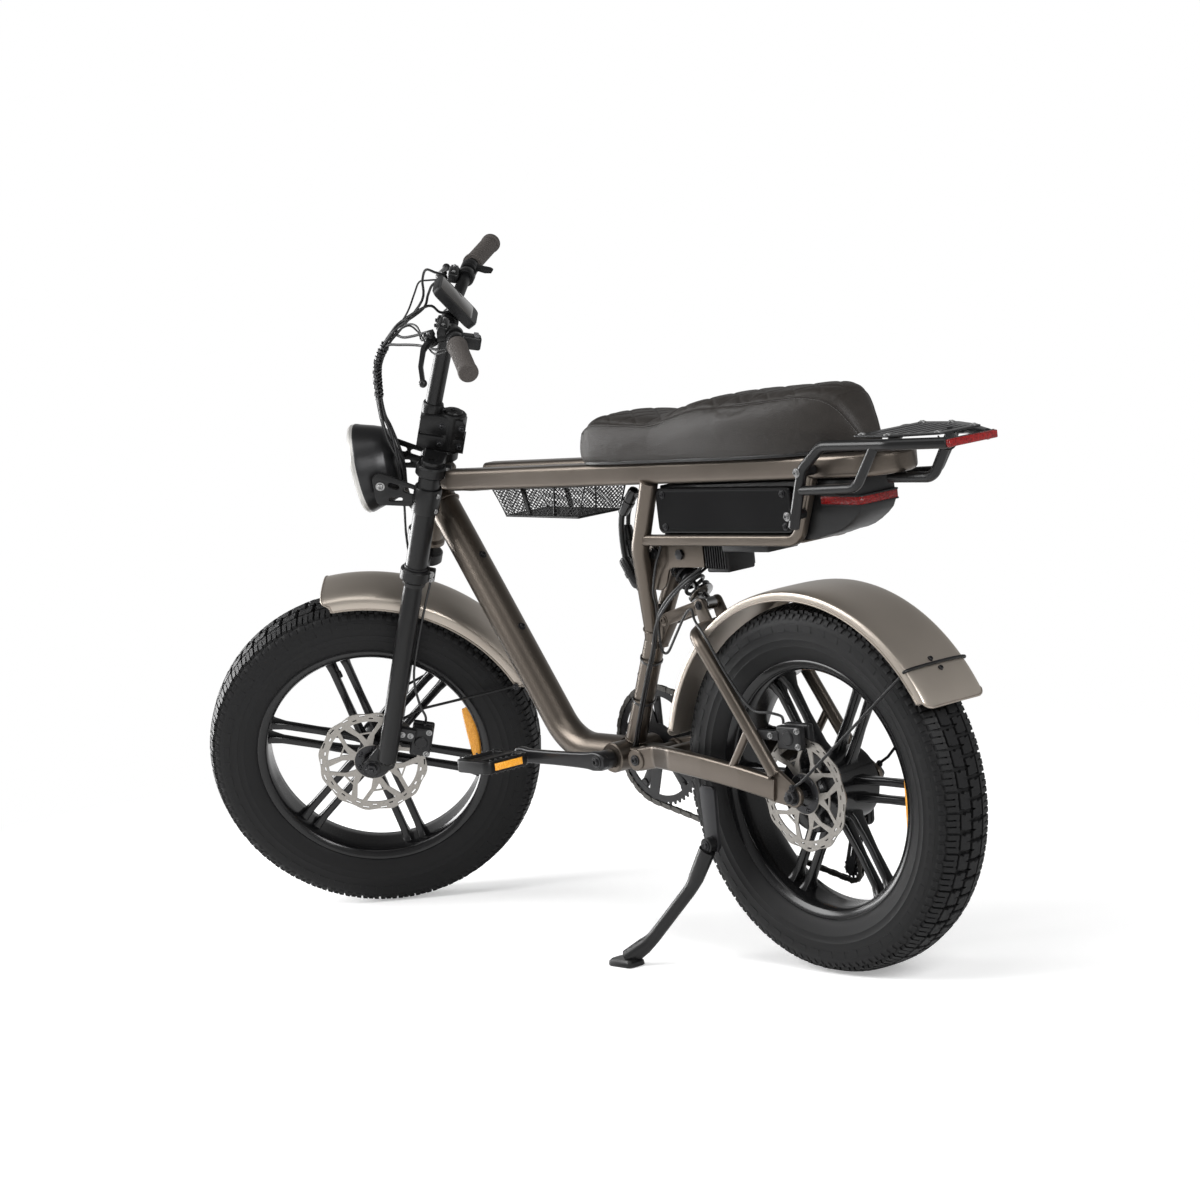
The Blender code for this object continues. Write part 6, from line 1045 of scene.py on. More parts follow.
piece("headlight_bezel", turned([(0.0705, -0.005), (0.0705, 0.0005), (0.0735, 0.0022), (0.0785, 0.001),
    (0.081, -0.003), (0.0805, -0.0085), (0.0775, -0.0085)], 96, hollow=True), pale_bezel, "steering",
    place=steering @ lamp_place)
mirror = Finish("lamp_mirror", (0.8, 0.8, 0.8), 0.16, 0.95)
facets = mirror.cells(70.0, distance="MANHATTAN")
mirror.put("Roughness", 0.12 + 0.25 * facets)
mirror.bump(facets, 0.004)
piece("headlight_mirror", turned([(0.07, -0.0055), (0.064, -0.016), (0.05, -0.029), (0.03, -0.039),
    (0.012, -0.042), (0.012, -0.02), (0.006, -0.016), (0, -0.0155), (0, -0.044), (0.031, -0.042),
    (0.066, -0.018), (0.071, -0.006)], 72), mirror, "steering", place=steering @ lamp_place)
lamp_glass = Finish("lamp_glass", (0.95, 0.96, 0.97), 0.05, slot="clear_lens")
lamp_glass.shader.inputs["Transmission Weight"].default_value = 0.9
lamp_glass.shader.inputs["IOR"].default_value = 1.45
fluting = lamp_glass.node("ShaderNodeTexWave", {"bands_direction": "Y"},
    {"Vector": lamp_glass.place, "Scale": 26.0})
lamp_glass.bump(fluting, 0.0012, 0.6)
piece("headlight_glass", turned([(0, 0.0065), (0.02, 0.006), (0.039, 0.0045), (0.06, 0.0018),
    (0.0712, -0.001), (0.0712, -0.0035), (0.06, -0.001), (0.039, 0.0018), (0.02, 0.0035), (0, 0.004)], 96),
    lamp_glass, "steering", "headlight_lens", place=steering @ lamp_place)

# Fenders: pressed sheet arched over each tyre, in a champagne metallic coat, with an
# upright band along each side and a rolled lip. Black wire stays and screws hold them.
champagne = coat("champagne_paint", (0.42, 0.374, 0.325), 0.33, 0.82, varied=0.06, slot="fender_paint")
# The rolled lip takes a darker copy of the champagne paint: painted shade that keeps its highlight down.
edge_paint = coat("worn_lip", (0.28, 0.245, 0.21), 0.42, 0.7, varied=0.06)
FENDER_CORNER, FENDER_BAND, FENDER_TUCK, FENDER_THICK = 0.02, 0.012, 0.0012, 0.0022


def arched(crown, edge, half, swing):
    """Radius and side of a fender's section at an angle up from its edge band."""
    return (edge + FENDER_BAND + (crown - edge - FENDER_BAND) * sin(swing) ** 0.85,
        (half - FENDER_TUCK) * cos(swing) ** 0.75)


def fender(crown, edge, half, front, rear, steps=56):
    """The pressed sheet as a closed skin over its sections, and the lip round it."""
    outer = [(edge, half), (edge + FENDER_BAND / 2, half + 0.0002),
        (edge + FENDER_BAND, half - FENDER_TUCK)]
    outer += [arched(crown, edge, half, step / 9 * pi / 2) for step in range(1, 9)]
    outer = [(r, y) for r, y in outer if y > 0.004] + [(crown, 0.0)]
    outer += [(r, -y) for r, y in reversed(outer[:-1])]
    inner = [(r - FENDER_THICK * (abs(y) < half - 0.004) - 0.0002, y * (1 - 0.0021 / half))
        for r, y in outer]
    section = outer + inner[::-1]

    def reached(r, y):
        """Where a line along the sheet starts and ends, for corners cut round."""
        inset = max(0.0, FENDER_CORNER - (half - abs(y)) - max(0.0, r - edge - FENDER_BAND))
        pull = FENDER_CORNER - sqrt(FENDER_CORNER ** 2 - min(inset, FENDER_CORNER - 0.0005) ** 2)
        short = degrees(pull / r)
        return front - short, rear + short

    def spot(r, y, share):
        begun, over = reached(r, y)
        angle = radians(begun + (over - begun) * share)
        return r * sin(angle), y, r * cos(angle)

    rings = [[spot(r, y, step / steps) for r, y in section] for step in range(steps + 1)]
    border = [spot(edge + 0.0008, half, step / steps) for step in range(steps + 1)]
    border += [spot(r - 0.0006, y, 1.0) for r, y in outer[2:-2]]
    border += [spot(edge + 0.0008, -half, 1.0 - step / steps) for step in range(steps + 1)]
    border += [spot(r - 0.0006, y, 0.0) for r, y in reversed(outer[2:-2])]
    lip = swept(border, circle(0.0019, 10), closed=True, up=(-0.26, 0.8, 0.97))
    return skin(rings), lip


def wire_stay(points, bend=0.012):
    return swept(rounded(points, bend, 8), circle(0.0025, 14))


def round_end(place):
    """The flattened eye at a wire's end with its screw."""
    return joined((sleeve(0.0022, 0.0052, -0.0012, 0.0012, 20), place),
        cap_screw(0.0038, 0.004, place @ at(0, 0, 0.0015)))


LEG_OFF = LEG_LEAD - AXLE_LEAD
FRONT_EDGE, FRONT_CROWN, FRONT_HALF = TYRE_RADIUS + 0.002, TYRE_RADIUS + 0.0315, 0.0655
sheet, lips = fender(FRONT_CROWN, FRONT_EDGE, FRONT_HALF, 24.2, -53.0)
piece("front_fender_sheet", sheet, champagne, "fork_lowers", "front_fender", place=front_hub)
piece("front_fender_lip", lips, edge_paint, "fork_lowers", place=front_hub)
stays, fixings = [], []
tab_z = sqrt(FRONT_EDGE ** 2 - LEG_OFF ** 2)
for side in (1, -1):
    stays.append(wire_stay([(-0.2375, side * 0.066, 0.201), (LEG_OFF - 0.05, side * 0.0745, 0.13),
        (LEG_OFF - 0.0165, side * 0.0735, 0.102)], 0.02))
    stays.append((block((0.014, 0.0095, 0.036), 0.0018), at(LEG_OFF, side * 0.0685, tab_z + 0.006)))
    fixings.append(round_end(at(-0.2375, side * 0.0685, 0.201) @ Matrix.Rotation(-side * pi / 2, 4, "X")))
piece("front_fender_stays", joined(*stays), satin_black, "fork_lowers", place=front_hub)
piece("front_fender_screws", joined(*fixings), black_steel, "fork_lowers", place=front_hub)

REAR_EDGE, REAR_CROWN, REAR_HALF = TYRE_RADIUS + 0.011, TYRE_RADIUS + 0.028, 0.068
sheet, lips = fender(REAR_CROWN, REAR_EDGE, REAR_HALF, 77.0, -62.0, 72)
notch = bmesh.new()
bmesh.ops.create_cube(notch, size=1.0, matrix=at(0.29, -0.0665, 0.098)
    @ Matrix.Diagonal((0.1, 0.03, 0.075, 1)))
notch_mesh = poured(notch, "notch")


def without(mesh, cutter):
    """A mesh with another taken out of it by a Boolean."""
    body, tool = linked("body", mesh), linked("tool", cutter)
    step = body.modifiers.new("cut", "BOOLEAN")
    step.operation, step.solver, step.object = "DIFFERENCE", "EXACT", tool
    made = applied(body)
    for obj in (body, tool):
        bpy.data.objects.remove(obj)
    return made


piece("rear_fender_sheet", without(sheet, notch_mesh), champagne, "swingarm", "rear_fender", place=rear_hub)
piece("rear_fender_lip", without(lips, notch_mesh), edge_paint, "swingarm", place=rear_hub)
arch = Vector((0.246, 0, 0.26))
stays = [(pin(0.006, REAR_CROWN - 0.001, arch.length - 0.0125), between((0, 0, 0), arch))]
fixings = []
hook_angle = atan2(-0.244, 0.205)
for side in (1, -1):
    stays.append(wire_stay([(-0.244, side * 0.0685, 0.205), (-0.03, side * 0.0985, 0.03),
        (-0.006, side * 0.0985, 0.0165)]))
    fixings.append(round_end(at(-0.006, side * 0.1, 0.0165) @ Matrix.Rotation(-side * pi / 2, 4, "X")))
    crown_place = Matrix.Rotation(hook_angle + side * 0.03, 4, "Y") @ at(0, 0.004 * side,
        REAR_CROWN - 0.0012)
    fixings.append(cap_screw(0.004, 0.0048, crown_place))
loop = []
LOOP_STEPS, LOOP_LIFT, LOOP_GAP = 14, 0.0034, 0.003
for step in range(-LOOP_STEPS, LOOP_STEPS + 1):
    swing = (1 - abs(step) / LOOP_STEPS) * pi / 2
    lift, y = arched(REAR_CROWN, REAR_EDGE, REAR_HALF, swing)
    lift += LOOP_LIFT * sin(swing) ** 0.5
    y = copysign(y + LOOP_GAP * cos(swing), step)
    loop.append((lift * sin(hook_angle), y, lift * cos(hook_angle)))
stays.append(swept(flowing(loop, 2), circle(0.0027, 12)))
piece("rear_fender_stays", joined(*stays), satin_black, "swingarm", place=rear_hub)
piece("rear_fender_screws", joined(*fixings), black_steel, "swingarm", place=rear_hub)

# Brake calipers: black castings of two halves that straddle the discs, with a round
# piston cap, a mounting foot and plated cap screws. The front one sits behind the leg.
cast_black = coat("cast_black", (0.01, 0.01, 0.0107), 0.4, 0.2, peel=0.0005, gloss=0.38, slot="black_coat")


def caliper(centre, size, disc_y):
    """Two half bodies with a slot between them for the disc."""
    x, y, z = centre
    wide, deep, tall = size
    inner, outer = disc_y - 0.0024, disc_y + 0.0024
    low_y, high_y = y - deep / 2, y + deep / 2
    parts = [(block((wide, inner - low_y, tall), 0.004, 3), at(x, (low_y + inner) / 2, z)),
        (block((wide * 0.94, high_y - outer, tall * 0.94), 0.004, 3), at(x, (high_y + outer) / 2, z)),
        (pin(0.0125, high_y - 0.004, high_y + 0.003, 0.002, 32), at(x, 0, z) @ ALONG_Y)]
    return parts


front_parts = caliper((-0.044, 0.0655, 0.048), (0.04, 0.034, 0.06), 0.0625)
front_parts.append((block((0.034, 0.012, 0.025), 0.002), at(-0.015, 0.0833, 0.0618)))
piece("front_caliper_body", joined(*front_parts), cast_black, "fork_lowers", "front_caliper",
    place=steering)
piece("front_caliper_screws",
    joined(*[cap_screw(0.0036, 0.0045, at(x, 0.0893 if x > -0.03 else 0.0815, z) @ ALONG_Y)
    for x, z in ((-0.008, 0.0618), (-0.023, 0.0618), (-0.056, 0.07), (-0.056, 0.026))]), zinc,
    "fork_lowers", place=steering)
rear_parts = caliper((0.008, 0.07, 0.095), (0.058, 0.034, 0.042), 0.069)
rear_parts.append((block((0.052, 0.012, 0.016), 0.002), at(0.055, 0.083, 0.098)))
piece("rear_caliper_body", joined(*rear_parts), cast_black, "swingarm", "rear_caliper", place=rear_hub)
piece("rear_caliper_screws",
    joined(*[cap_screw(0.0036, 0.0045, at(x, y, z) @ ALONG_Y) for x, y, z in ((0.046, 0.0893, 0.098),
    (-0.014, 0.0863, 0.108), (-0.014, 0.0863, 0.082))]), zinc, "swingarm", place=rear_hub)

# Swingarm: boxed chainstays and round seatstays that arch over the tyre, welded to
# plate dropouts with a brace in each corner. Two ears on the arch carry the shock.
HUB_X, HUB_Z, STAY_Y, FACE_Y = -0.6, TYRE_RADIUS, 0.0915, 0.0955
HANGER = (-0.59, 0.28)
SHOCK_REAR = (-0.34, 0.602)
chain_line = rounded([(PIVOT[0], 0.047, PIVOT[1]), (-0.222, 0.047, 0.3415), (-0.29, 0.0765, 0.347),
    (-0.381, 0.086, 0.341), (HUB_X + 0.123, STAY_Y, HUB_Z + 0.023),
    (HUB_X + 0.04, STAY_Y, HUB_Z + 0.0095)], 0.05, 6)
half_stay = rounded([(HUB_X + x, y, HUB_Z + z) for x, y, z in ((0.04, 0.0925, 0.033),
    (0.147, 0.0925, 0.186), (0.195, 0.089, 0.245), (0.2165, 0.076, 0.2555), (0.236, 0.044, 0.259),
    (0.246, 0.0, 0.26))], 0.04, 6)
stay_box = rounded_box(0.016, 0.04, 0.0055, 4)
ear = slab([hull([(HUB_X + 0.246, HUB_Z + 0.26, 0.015), (*SHOCK_REAR, 0.012)])], 0.006, 0.0012)
arm_parts = [swept(chain_line, stay_box, up=(0, 0, 1)), swept(flipped(chain_line), stay_box, up=(0, 0, 1)),
    swept(half_stay + flipped(half_stay[:-1])[::-1], circle(0.011, 28)), (ear, upright(0.02)),
    (ear, upright(-0.02)), (block((0.018, 0.104, 0.026), 0.003), at(-0.241, 0, 0.343)),
    (pin(0.007, -0.06, 0.06, 0.001, 24), crosswise(*PIVOT))]
arm_steel = [(pin(0.004, -0.027, 0.027, 0.0006, 16), crosswise(*SHOCK_REAR)), (pin(0.0058, -0.111, 0.111),
    crosswise(HUB_X, HUB_Z))]
for side in (1, -1):
    circles = [(HUB_X + 0.044, HUB_Z + 0.01, 0.022), (HUB_X, HUB_Z, 0.018),
        (HUB_X + 0.043, HUB_Z + 0.036, 0.011)]
    if side < 0:
        circles.append((*HANGER, 0.011))
    arm_parts.append((slab([hull(circles, 40)], 0.008, 0.0012), upright(side * STAY_Y)))
    arm_parts.append((pin(0.007, 0, 0.0888), between((HUB_X + 0.092, side * 0.0925, HUB_Z + 0.108),
        (HUB_X + 0.145, side * 0.0905, HUB_Z + 0.037))))
    arm_parts.append((pin(0.019, 0, 0.025, 0.0015, 36), facing_out(*PIVOT, side * 0.0328)))
    arm_parts.append(bead(0.007, between((HUB_X + 0.096, side * 0.0924, HUB_Z + 0.1025),
        (HUB_X + 0.145, side * 0.0905, HUB_Z + 0.037))))
    arm_parts.append(bead(0.019, facing_out(*PIVOT, side * 0.036)))
    arm_parts.append(bead(0.0112, between(*sided(half_stay[:2], side))))
    arm_steel.append((axle_end(0.0115, 0.0058), facing_out(HUB_X, HUB_Z, side * (FACE_Y + 0.0002))))
    arm_steel.append(cap_screw(0.0062, 0.004, facing_out(*PIVOT, 0.0585 if side > 0 else -0.0565)))
    arm_steel.append(cap_screw(0.005, 0.0045, facing_out(*SHOCK_REAR, side * 0.0232)))
stand_plate = slab([hull([(-0.381, 0.302, 0.009), (-0.399, 0.301, 0.009), (-0.39, 0.212, 0.015)])], 0.008,
    0.0012)
arm_steel.append((stand_plate, upright(0.09)))
piece("swingarm_weldment", joined(*arm_parts), bronze, "swingarm", "swingarm")
arm_steel.append((pin(0.005, 0.0905, 0.1123), crosswise(-0.39, 0.212)))
arm_steel.append(cap_screw(0.0058, 0.004, facing_out(-0.39, 0.212, 0.109)))
piece("swingarm_hardware", joined(*arm_steel), black_steel, "swingarm")

# Kickstand: a cast black leg of oval section that bows outwards to a flat foot. It turns
# on a pin below the left chainstay.
STAND = Vector((-0.39, 0.1013, 0.212))
leg_line = rounded([STAND + Vector((0.004, 0.001, -0.009)), (-0.35, 0.111, 0.14), (-0.262, 0.139, 0.044),
    (-0.216, 0.154, 0.0125)], 0.14, 12)
leg_sizes = [1.22 - 0.3 * sin(pi * min(1.0, i / (len(leg_line) - 1))) ** 0.5 for i in range(len(leg_line))]
foot_rings = [[(-0.212 + x * s, 0.156 + y * s, z) for x, y in rounded_box(0.062, 0.038, 0.01, 4)]
    for z, s in ((0.0006, 0.93), (0.002, 1.0), (0.0085, 0.98), (0.013, 0.8))]
piece("stand_leg",
    joined((sleeve(0.0054, 0.013, -0.007, 0.007, 32, 0.001), crosswise(STAND.x, STAND.z, STAND.y)),
    swept(leg_line, [(x, y * 0.8) for x, y in circle(0.0128, 24)], up=(0, 1, 0), sizes=leg_sizes),
    skin(foot_rings)), satin_black, "kickstand", "kickstand")

# Shock: a coil-over damper between the cradle's gussets and the swingarm's ears, with a
# ribbed black body, a polished rod and a wound spring between two round seats.
SPAN = 0.12166
SEAT_TOP, SEAT_LOW = 0.0115, 0.10016
body_turn = [(0, 0.008), (0.0125, 0.008), (0.0145, 0.01), (0.0145, 0.0172), (0.0136, 0.018)]
BODY_RIBS, BODY_PITCH = 9, 0.0034
for ring in range(BODY_RIBS):
    foot = 0.02 + ring * BODY_PITCH
    body_turn += [(0.0136, foot), (0.0145, foot + 0.0006), (0.0145, foot + 0.0022), (0.0136, foot + 0.0028)]
body_turn += [(0.0145, 0.053), (0.0145, 0.067), (0.012, 0.0682), (0.0055, 0.0682), (0.0055, 0.019),
    (0, 0.019)]
ring_seat = sleeve(0.01, 0.0232, SEAT_TOP, SEAT_TOP + 0.0055, 48, 0.001)
piece("damper", joined(turned(body_turn, 36), ring_seat, (sleeve(0.004, 0.011, -0.011, 0.011, 32, 0.001),
    ALONG_Y), (pin(0.007, -0.0272, 0.0272, 0.0005, 24), ALONG_Y), (pin(0.004, -0.038, 0.038, 0.0005, 16),
    ALONG_Y), (pin(0.0095, 0.0328, 0.0365, 0.0008, 24), ALONG_Y),
    (pin(0.0095, -0.0365, -0.0328, 0.0008, 24), ALONG_Y)), black_steel, "shock_body", "shock_body",
    place=shock)
polished = Finish("polished_rod", (0.34, 0.34, 0.34), 0.2, 1.0, slot="rotor_steel")
polished.put("Roughness", 0.1 + 0.12 * polished.noise(300.0, 2.0))
piece("damper_rod", joined(pin(0.005, SEAT_LOW - 0.038, SPAN - 0.006),
    turned([(0.005, SEAT_LOW - 0.0055), (0.0222, SEAT_LOW - 0.0055), (0.0232, SEAT_LOW - 0.0045),
    (0.0232, SEAT_LOW - 0.001), (0.0222, SEAT_LOW), (0.013, SEAT_LOW + 0.002), (0.0095, SEAT_LOW + 0.004),
    (0.0095, SPAN - 0.006), (0.005, SPAN - 0.006)], 48, hollow=True),
    (sleeve(0.0058, 0.011, -0.011, 0.011, 32, 0.001), at(0, 0, SPAN) @ ALONG_Y)), polished, "shock_rod",
    "shock_rod", place=shock)
COILS, COIL_STEPS, COIL_RADIUS, WIRE = 5, 28, 0.019, 0.0033
coil_low, coil_high = 0.0206, SEAT_LOW - 0.0055 - WIRE - 0.0003
coil = []
for step in range(COILS * COIL_STEPS + 1):
    height = coil_low + (coil_high - coil_low) * step / (COILS * COIL_STEPS)
    coil.append((*polar(COIL_RADIUS, 2 * pi * step / COIL_STEPS), height))
spring_steel = coat("spring_lacquer", (0.012, 0.012, 0.013), 0.25, 0.35, peel=0.0001, slot="dark_steel")
spring = piece("coil_spring", swept(coil, circle(WIRE, 16), up=(0, 0, 1)), spring_steel, None,
    "shock_spring", place=shock)
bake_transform(spring)

# Rocker: two pressed straps joined by a web, pinned to the seat tube's lug, with an
# open slot at the tip that lies round the shock's lower bolt.
tip, root = Vector(SHOCK_REAR), Vector(LINK)
along_link = (root - tip).normalized()
across_link = Vector((-along_link.y, along_link.x))
slot_line = []
for centre, first in ((tip - along_link * 0.0008, 0.5), (tip + along_link * 0.015, 1.5)):
    for step in range(9):
        angle = pi * (first + step / 8)
        slot_line.append(tuple(centre + 0.0053 * (across_link * sin(angle) + along_link * cos(angle))))
strap = slab([hull([(*LINK, 0.011), (*SHOCK_REAR, 0.0098)], 32), slot_line], 0.004, 0.0006)
web = root - along_link * 0.038
piece("rocker_link", joined((strap, upright(0.0142)), (strap, upright(-0.0142)),
    (block((0.03, 0.0284, 0.011), 0.002),
    at(web.x, 0, web.y) @ Matrix.Rotation(-atan2(along_link.y, along_link.x), 4, "Y")),
    cap_screw(0.006, 0.004, facing_out(*LINK, 0.0164)),
    cap_screw(0.006, 0.004, facing_out(*LINK, -0.0164))), bronze, "rocker", "rocker")

# Cranks: forged arms that widen at both ends, the right one in one piece with a
# five-armed spider. The chainring is a stamped plate held by five short bolts.
CRANK_LONG, CRANK_TILT, CHAIN_Y, CHAIN_PITCH = 0.172, radians(2.3), -0.0625, 0.0127
RING_TEETH, COG_TEETH, JOCKEY_TEETH = 52, 14, 11
tilt = Matrix.Translation(BRACKET) @ Matrix.Rotation(-CRANK_TILT, 4, "Y")


def pitch_radius(teeth):
    return CHAIN_PITCH / (2 * sin(pi / teeth))


def toothed(teeth, centre=(0.0, 0.0)):
    """The outline of a sprocket, six points to a tooth."""
    tip, outline = pitch_radius(teeth), []
    for tooth in range(teeth):
        for share, depth in ((-0.36, 0.0048), (-0.2, 0.003), (-0.08, -0.0006), (0.08, -0.0006),
                (0.2, 0.003), (0.36, 0.0048)):
            x, y = polar(tip - depth, 2 * pi * (tooth + share) / teeth)
            outline.append((centre[0] + x, centre[1] + y))
    return outline


stations = flowing([(-0.1, 0.016, 0.9), (-0.04, 0.03, 1.0), (0.06, 0.034, 1.0), (0.18, 0.0285, 0.95),
    (0.55, 0.025, 0.85), (0.86, 0.0255, 0.85), (0.96, 0.0285, 0.95), (1.04, 0.027, 0.95),
    (1.09, 0.014, 0.85)], 5)


def crank_arm(side):
    rings = []
    for share, tall, thick in stations:
        y = side * (0.079 + 0.029 * min(max((share - 0.02) / 0.85, 0.0), 1.0))
        rings.append([tilt @ Vector((side * CRANK_LONG * share, y + a, up))
            for a, up in rounded_box(0.015 * thick, tall, 0.005, 4)])
    return skin(rings)


forged = coat("forged_black", (0.012, 0.012, 0.013), 0.3, 0.25, peel=0.0002, gloss=0.45, slot="dark_steel")
ring_inner = pitch_radius(RING_TEETH) - 0.016
windows = []
for arm in range(5):
    middle = 2 * pi * (arm + 0.5) / 5
    window = [polar(ring_inner, middle - 0.5 + 0.1 * step) for step in range(11)]
    window += [polar(0.04, middle + 0.33 - 0.11 * step) for step in range(7)]
    windows.append([(BRACKET.x + x, BRACKET.z + z) for x, z in window])
end = Matrix.Rotation(-CRANK_TILT, 3, "Y") @ Vector((CRANK_LONG, 0, 0))
spider = ring_of(joined((pin(0.0085, -0.0035, 0.003, 0.001, 20), at(0, -0.002, 0.087) @ ALONG_Y),
    (block((0.016, 0.006, 0.062), 0.002), at(0, -0.004, 0.058))), 5, 0.0)
piece("crank_right_forging",
    joined(crank_arm(-1), (slab([toothed(RING_TEETH, AT_BRACKET)] + windows, 0.0026, 0.0),
    upright(CHAIN_Y)), (spider, at(BRACKET.x, CHAIN_Y, BRACKET.z)),
    (pin(0.027, -0.078, -0.0635, 0.001, 40), crosswise(*AT_BRACKET)), (pin(0.009, -0.079, 0.0885),
    crosswise(*AT_BRACKET)), (pin(0.0065, -(0.176 + 0.04), -0.104),
    crosswise(BRACKET.x - end.x, BRACKET.z - end.z)),
    cap_screw(0.0075, 0.0045, facing_out(*AT_BRACKET, -0.0868))), forged, "crank", "crank_right")
piece("crank_left_forging",
    joined(crank_arm(1),
    (turned([(0.0093, 0.054), (0.0165, 0.054), (0.017, 0.055), (0.017, 0.079), (0.0093, 0.079)], 36,
    hollow=True), crosswise(*AT_BRACKET)),
    (pin(0.0065, 0.104, 0.216), crosswise(BRACKET.x + end.x, BRACKET.z + end.z)),
    cap_screw(0.0075, 0.0045, facing_out(*AT_BRACKET, 0.0868))), forged, "crank", "crank_left")

# Pedals: an alloy platform with two open windows, a bearing tube across its middle, a
# row of grip teeth along each edge, and amber reflectors let into the front and back.
def row_tree():
    """Copies of a shape in a straight row, each moved on by Step."""
    wire, given = new_tree("row_of_copies", ("Copies", "Int"), ("Step", "Vector"))
    index = wire.node("GeometryNodeInputIndex")
    place = wire.node("ShaderNodeVectorMath", {"operation": "SCALE"},
        {"Vector": given["Step"], "Scale": index})
    points = wire.node("GeometryNodePoints", {}, {"Count": given["Copies"], "Position": place})
    copies = wire.node("GeometryNodeInstanceOnPoints", {},
        {"Points": points, "Instance": given["Geometry"]})
    return ended(wire, copies, given["Finish"])


ROW = row_tree()


def row_of(shape, copies, step):
    return grown(ROW, shape, {"Copies": copies, "Step": step, "Finish": bronze.material})


PEDAL_Y = 0.176
pedal_side = [rounded_box(0.088, 0.098, 0.013, 6)] + [[(shift + x, y)
    for x, y in rounded_box(0.0235, 0.074, 0.004, 4)] for shift in (-0.0265, 0.0265)]
tooth = turned([(0, 0), (0.0022, 0), (0.0016, 0.0022), (0, 0.0024)], 8)
GRIP_TEETH, GRIP_PITCH, GRIP_X = 7, 0.0122, 0.0405
tooth_row = row_of(tooth, GRIP_TEETH, (0, GRIP_PITCH, 0))
teeth = [(tooth_row, at(x, -0.0366, 0.0115)) for x in (-GRIP_X, GRIP_X)]
teeth += [(tooth_row, at(x, -0.0366, -0.0115) @ Matrix.Rotation(pi, 4, "Y")) for x in (-GRIP_X, GRIP_X)]
pedal_mesh = joined(slab(pedal_side, 0.022, 0.0022), (pin(0.0112, -0.047, 0.047, 0.001, 28), ALONG_Y),
    *teeth)
for name, sign in (("pedal_left", 1), ("pedal_right", -1)):
    hub = bike @ Matrix.Translation((BRACKET.x + sign * end.x, sign * PEDAL_Y, BRACKET.z + sign * end.z))
    piece(name + "_platform", pedal_mesh, satin_black, name, name, place=hub, slot="black_plastic")
    for tag, x in (("front", 0.0436), ("back", -0.0436)):
        piece(name + "_" + tag + "_reflector", block((0.003, 0.062, 0.0125), 0.0008), amber, name,
            place=hub @ at(x, 0, 0))

# Drive: a short roller chain of outer and inner links round the chainring, the sprocket
# and the two jockey wheels. Wider sprockets of the freewheel sit inside of it.
chain_steel = coat("chain_steel", (0.1, 0.096, 0.09), 0.38, 0.9, peel=0.0002, varied=0.3, slot="dark_steel")
GUIDE, TENSION, JOCKEY = (HUB_X + 0.015, HUB_Z - 0.072), (HUB_X + 0.044, HUB_Z - 0.156), 0.0215


BELT_ARC = radians(3)


def belt(wheels):
    """A closed belt round wheels given as (x, z, radius, sense)."""
    rounds = [(Vector((x, z)), sense * radius, sense) for x, z, radius, sense in wheels]
    ways = []
    for (c0, r0, s0), (c1, r1, s1) in zip(rounds, rounds[1:] + rounds[:1]):
        gap = c1 - c0
        ways.append(atan2(gap.y, gap.x) - asin((r1 - r0) / gap.length))
    line = []
    for number, (centre, radius, sense) in enumerate(rounds):
        turn = (ways[number] - ways[number - 1]) % (2 * pi)
        if sense < 0:
            turn -= 2 * pi
        count = max(2, round(abs(turn) / BELT_ARC))
        for k in range(count + 1):
            way = ways[number - 1] + turn * k / count
            spot = centre - Vector((-sin(way), cos(way))) * radius
            line.append((spot.x, CHAIN_Y, spot.y))
    return line


def closed_line(points):
    """A mesh of edges through the points and back to the first, and its length."""
    count = len(points)
    mesh = bpy.data.meshes.new("line")
    mesh.from_pydata([tuple(point) for point in points], [(i, (i + 1) % count) for i in range(count)], [])
    return mesh, sum((Vector(points[i]) - Vector(points[(i + 1) % count])).length for i in range(count))


def spread_on(wire, given, count):
    """Evenly spaced points along the line that a tree is given."""
    curve = wire.node("GeometryNodeMeshToCurve", {}, {"Mesh": given["Geometry"]})
    return wire.node("GeometryNodeCurveToPoints", {"mode": "COUNT"},
        {"Curve": curve, "Count": given[count]})


def path_tree():
    """Even and Odd shapes in turn along a path in the bicycle's side view."""
    wire, given = new_tree("links_on_path", ("Links", "Int"), ("Even", "Object"), ("Odd", "Object"))
    points = spread_on(wire, given, "Links")
    parts = wire.node("ShaderNodeSeparateXYZ", {}, {"Vector": points.other("Tangent")})
    angle = wire.math("ARCTAN2", parts.other("Z") * -1.0, parts)
    turn = wire.node("FunctionNodeEulerToRotation", {},
        {"Euler": wire.node("ShaderNodeCombineXYZ", {}, {"Y": angle})})
    pair = wire.tree.nodes.new("GeometryNodeJoinGeometry")
    for name in ("Odd", "Even"):
        shape = wire.node("GeometryNodeObjectInfo", {}, {"Object": given[name], "As Instance": True},
            output=4)
        wire.tree.links.new(shape.socket, pair.inputs["Geometry"])
    which = wire.math("MODULO", wire.node("GeometryNodeInputIndex"), 2.0)
    copies = wire.node("GeometryNodeInstanceOnPoints", {},
        {"Points": points, "Instance": Wire(wire.tree, pair.outputs[0]), "Pick Instance": True,
        "Instance Index": which, "Rotation": turn})
    return ended(wire, copies, given["Finish"])


def chain_link(out, tall):
    """One link: two waisted plates, a roller and a pin, its middle at the origin."""
    waist = hull([(-CHAIN_PITCH / 2, 0, tall), (CHAIN_PITCH / 2, 0, tall)], 12)
    waist = [(x, z * (0.7 if abs(x) < 0.004 else 1.0)) for x, z in waist]
    plate = slab([waist], 0.001)
    return joined((plate, upright(out)), (plate, upright(-out)), (pin(0.0037, -out, out, 0.0004, 12),
        at(CHAIN_PITCH / 2, 0, 0) @ ALONG_Y))


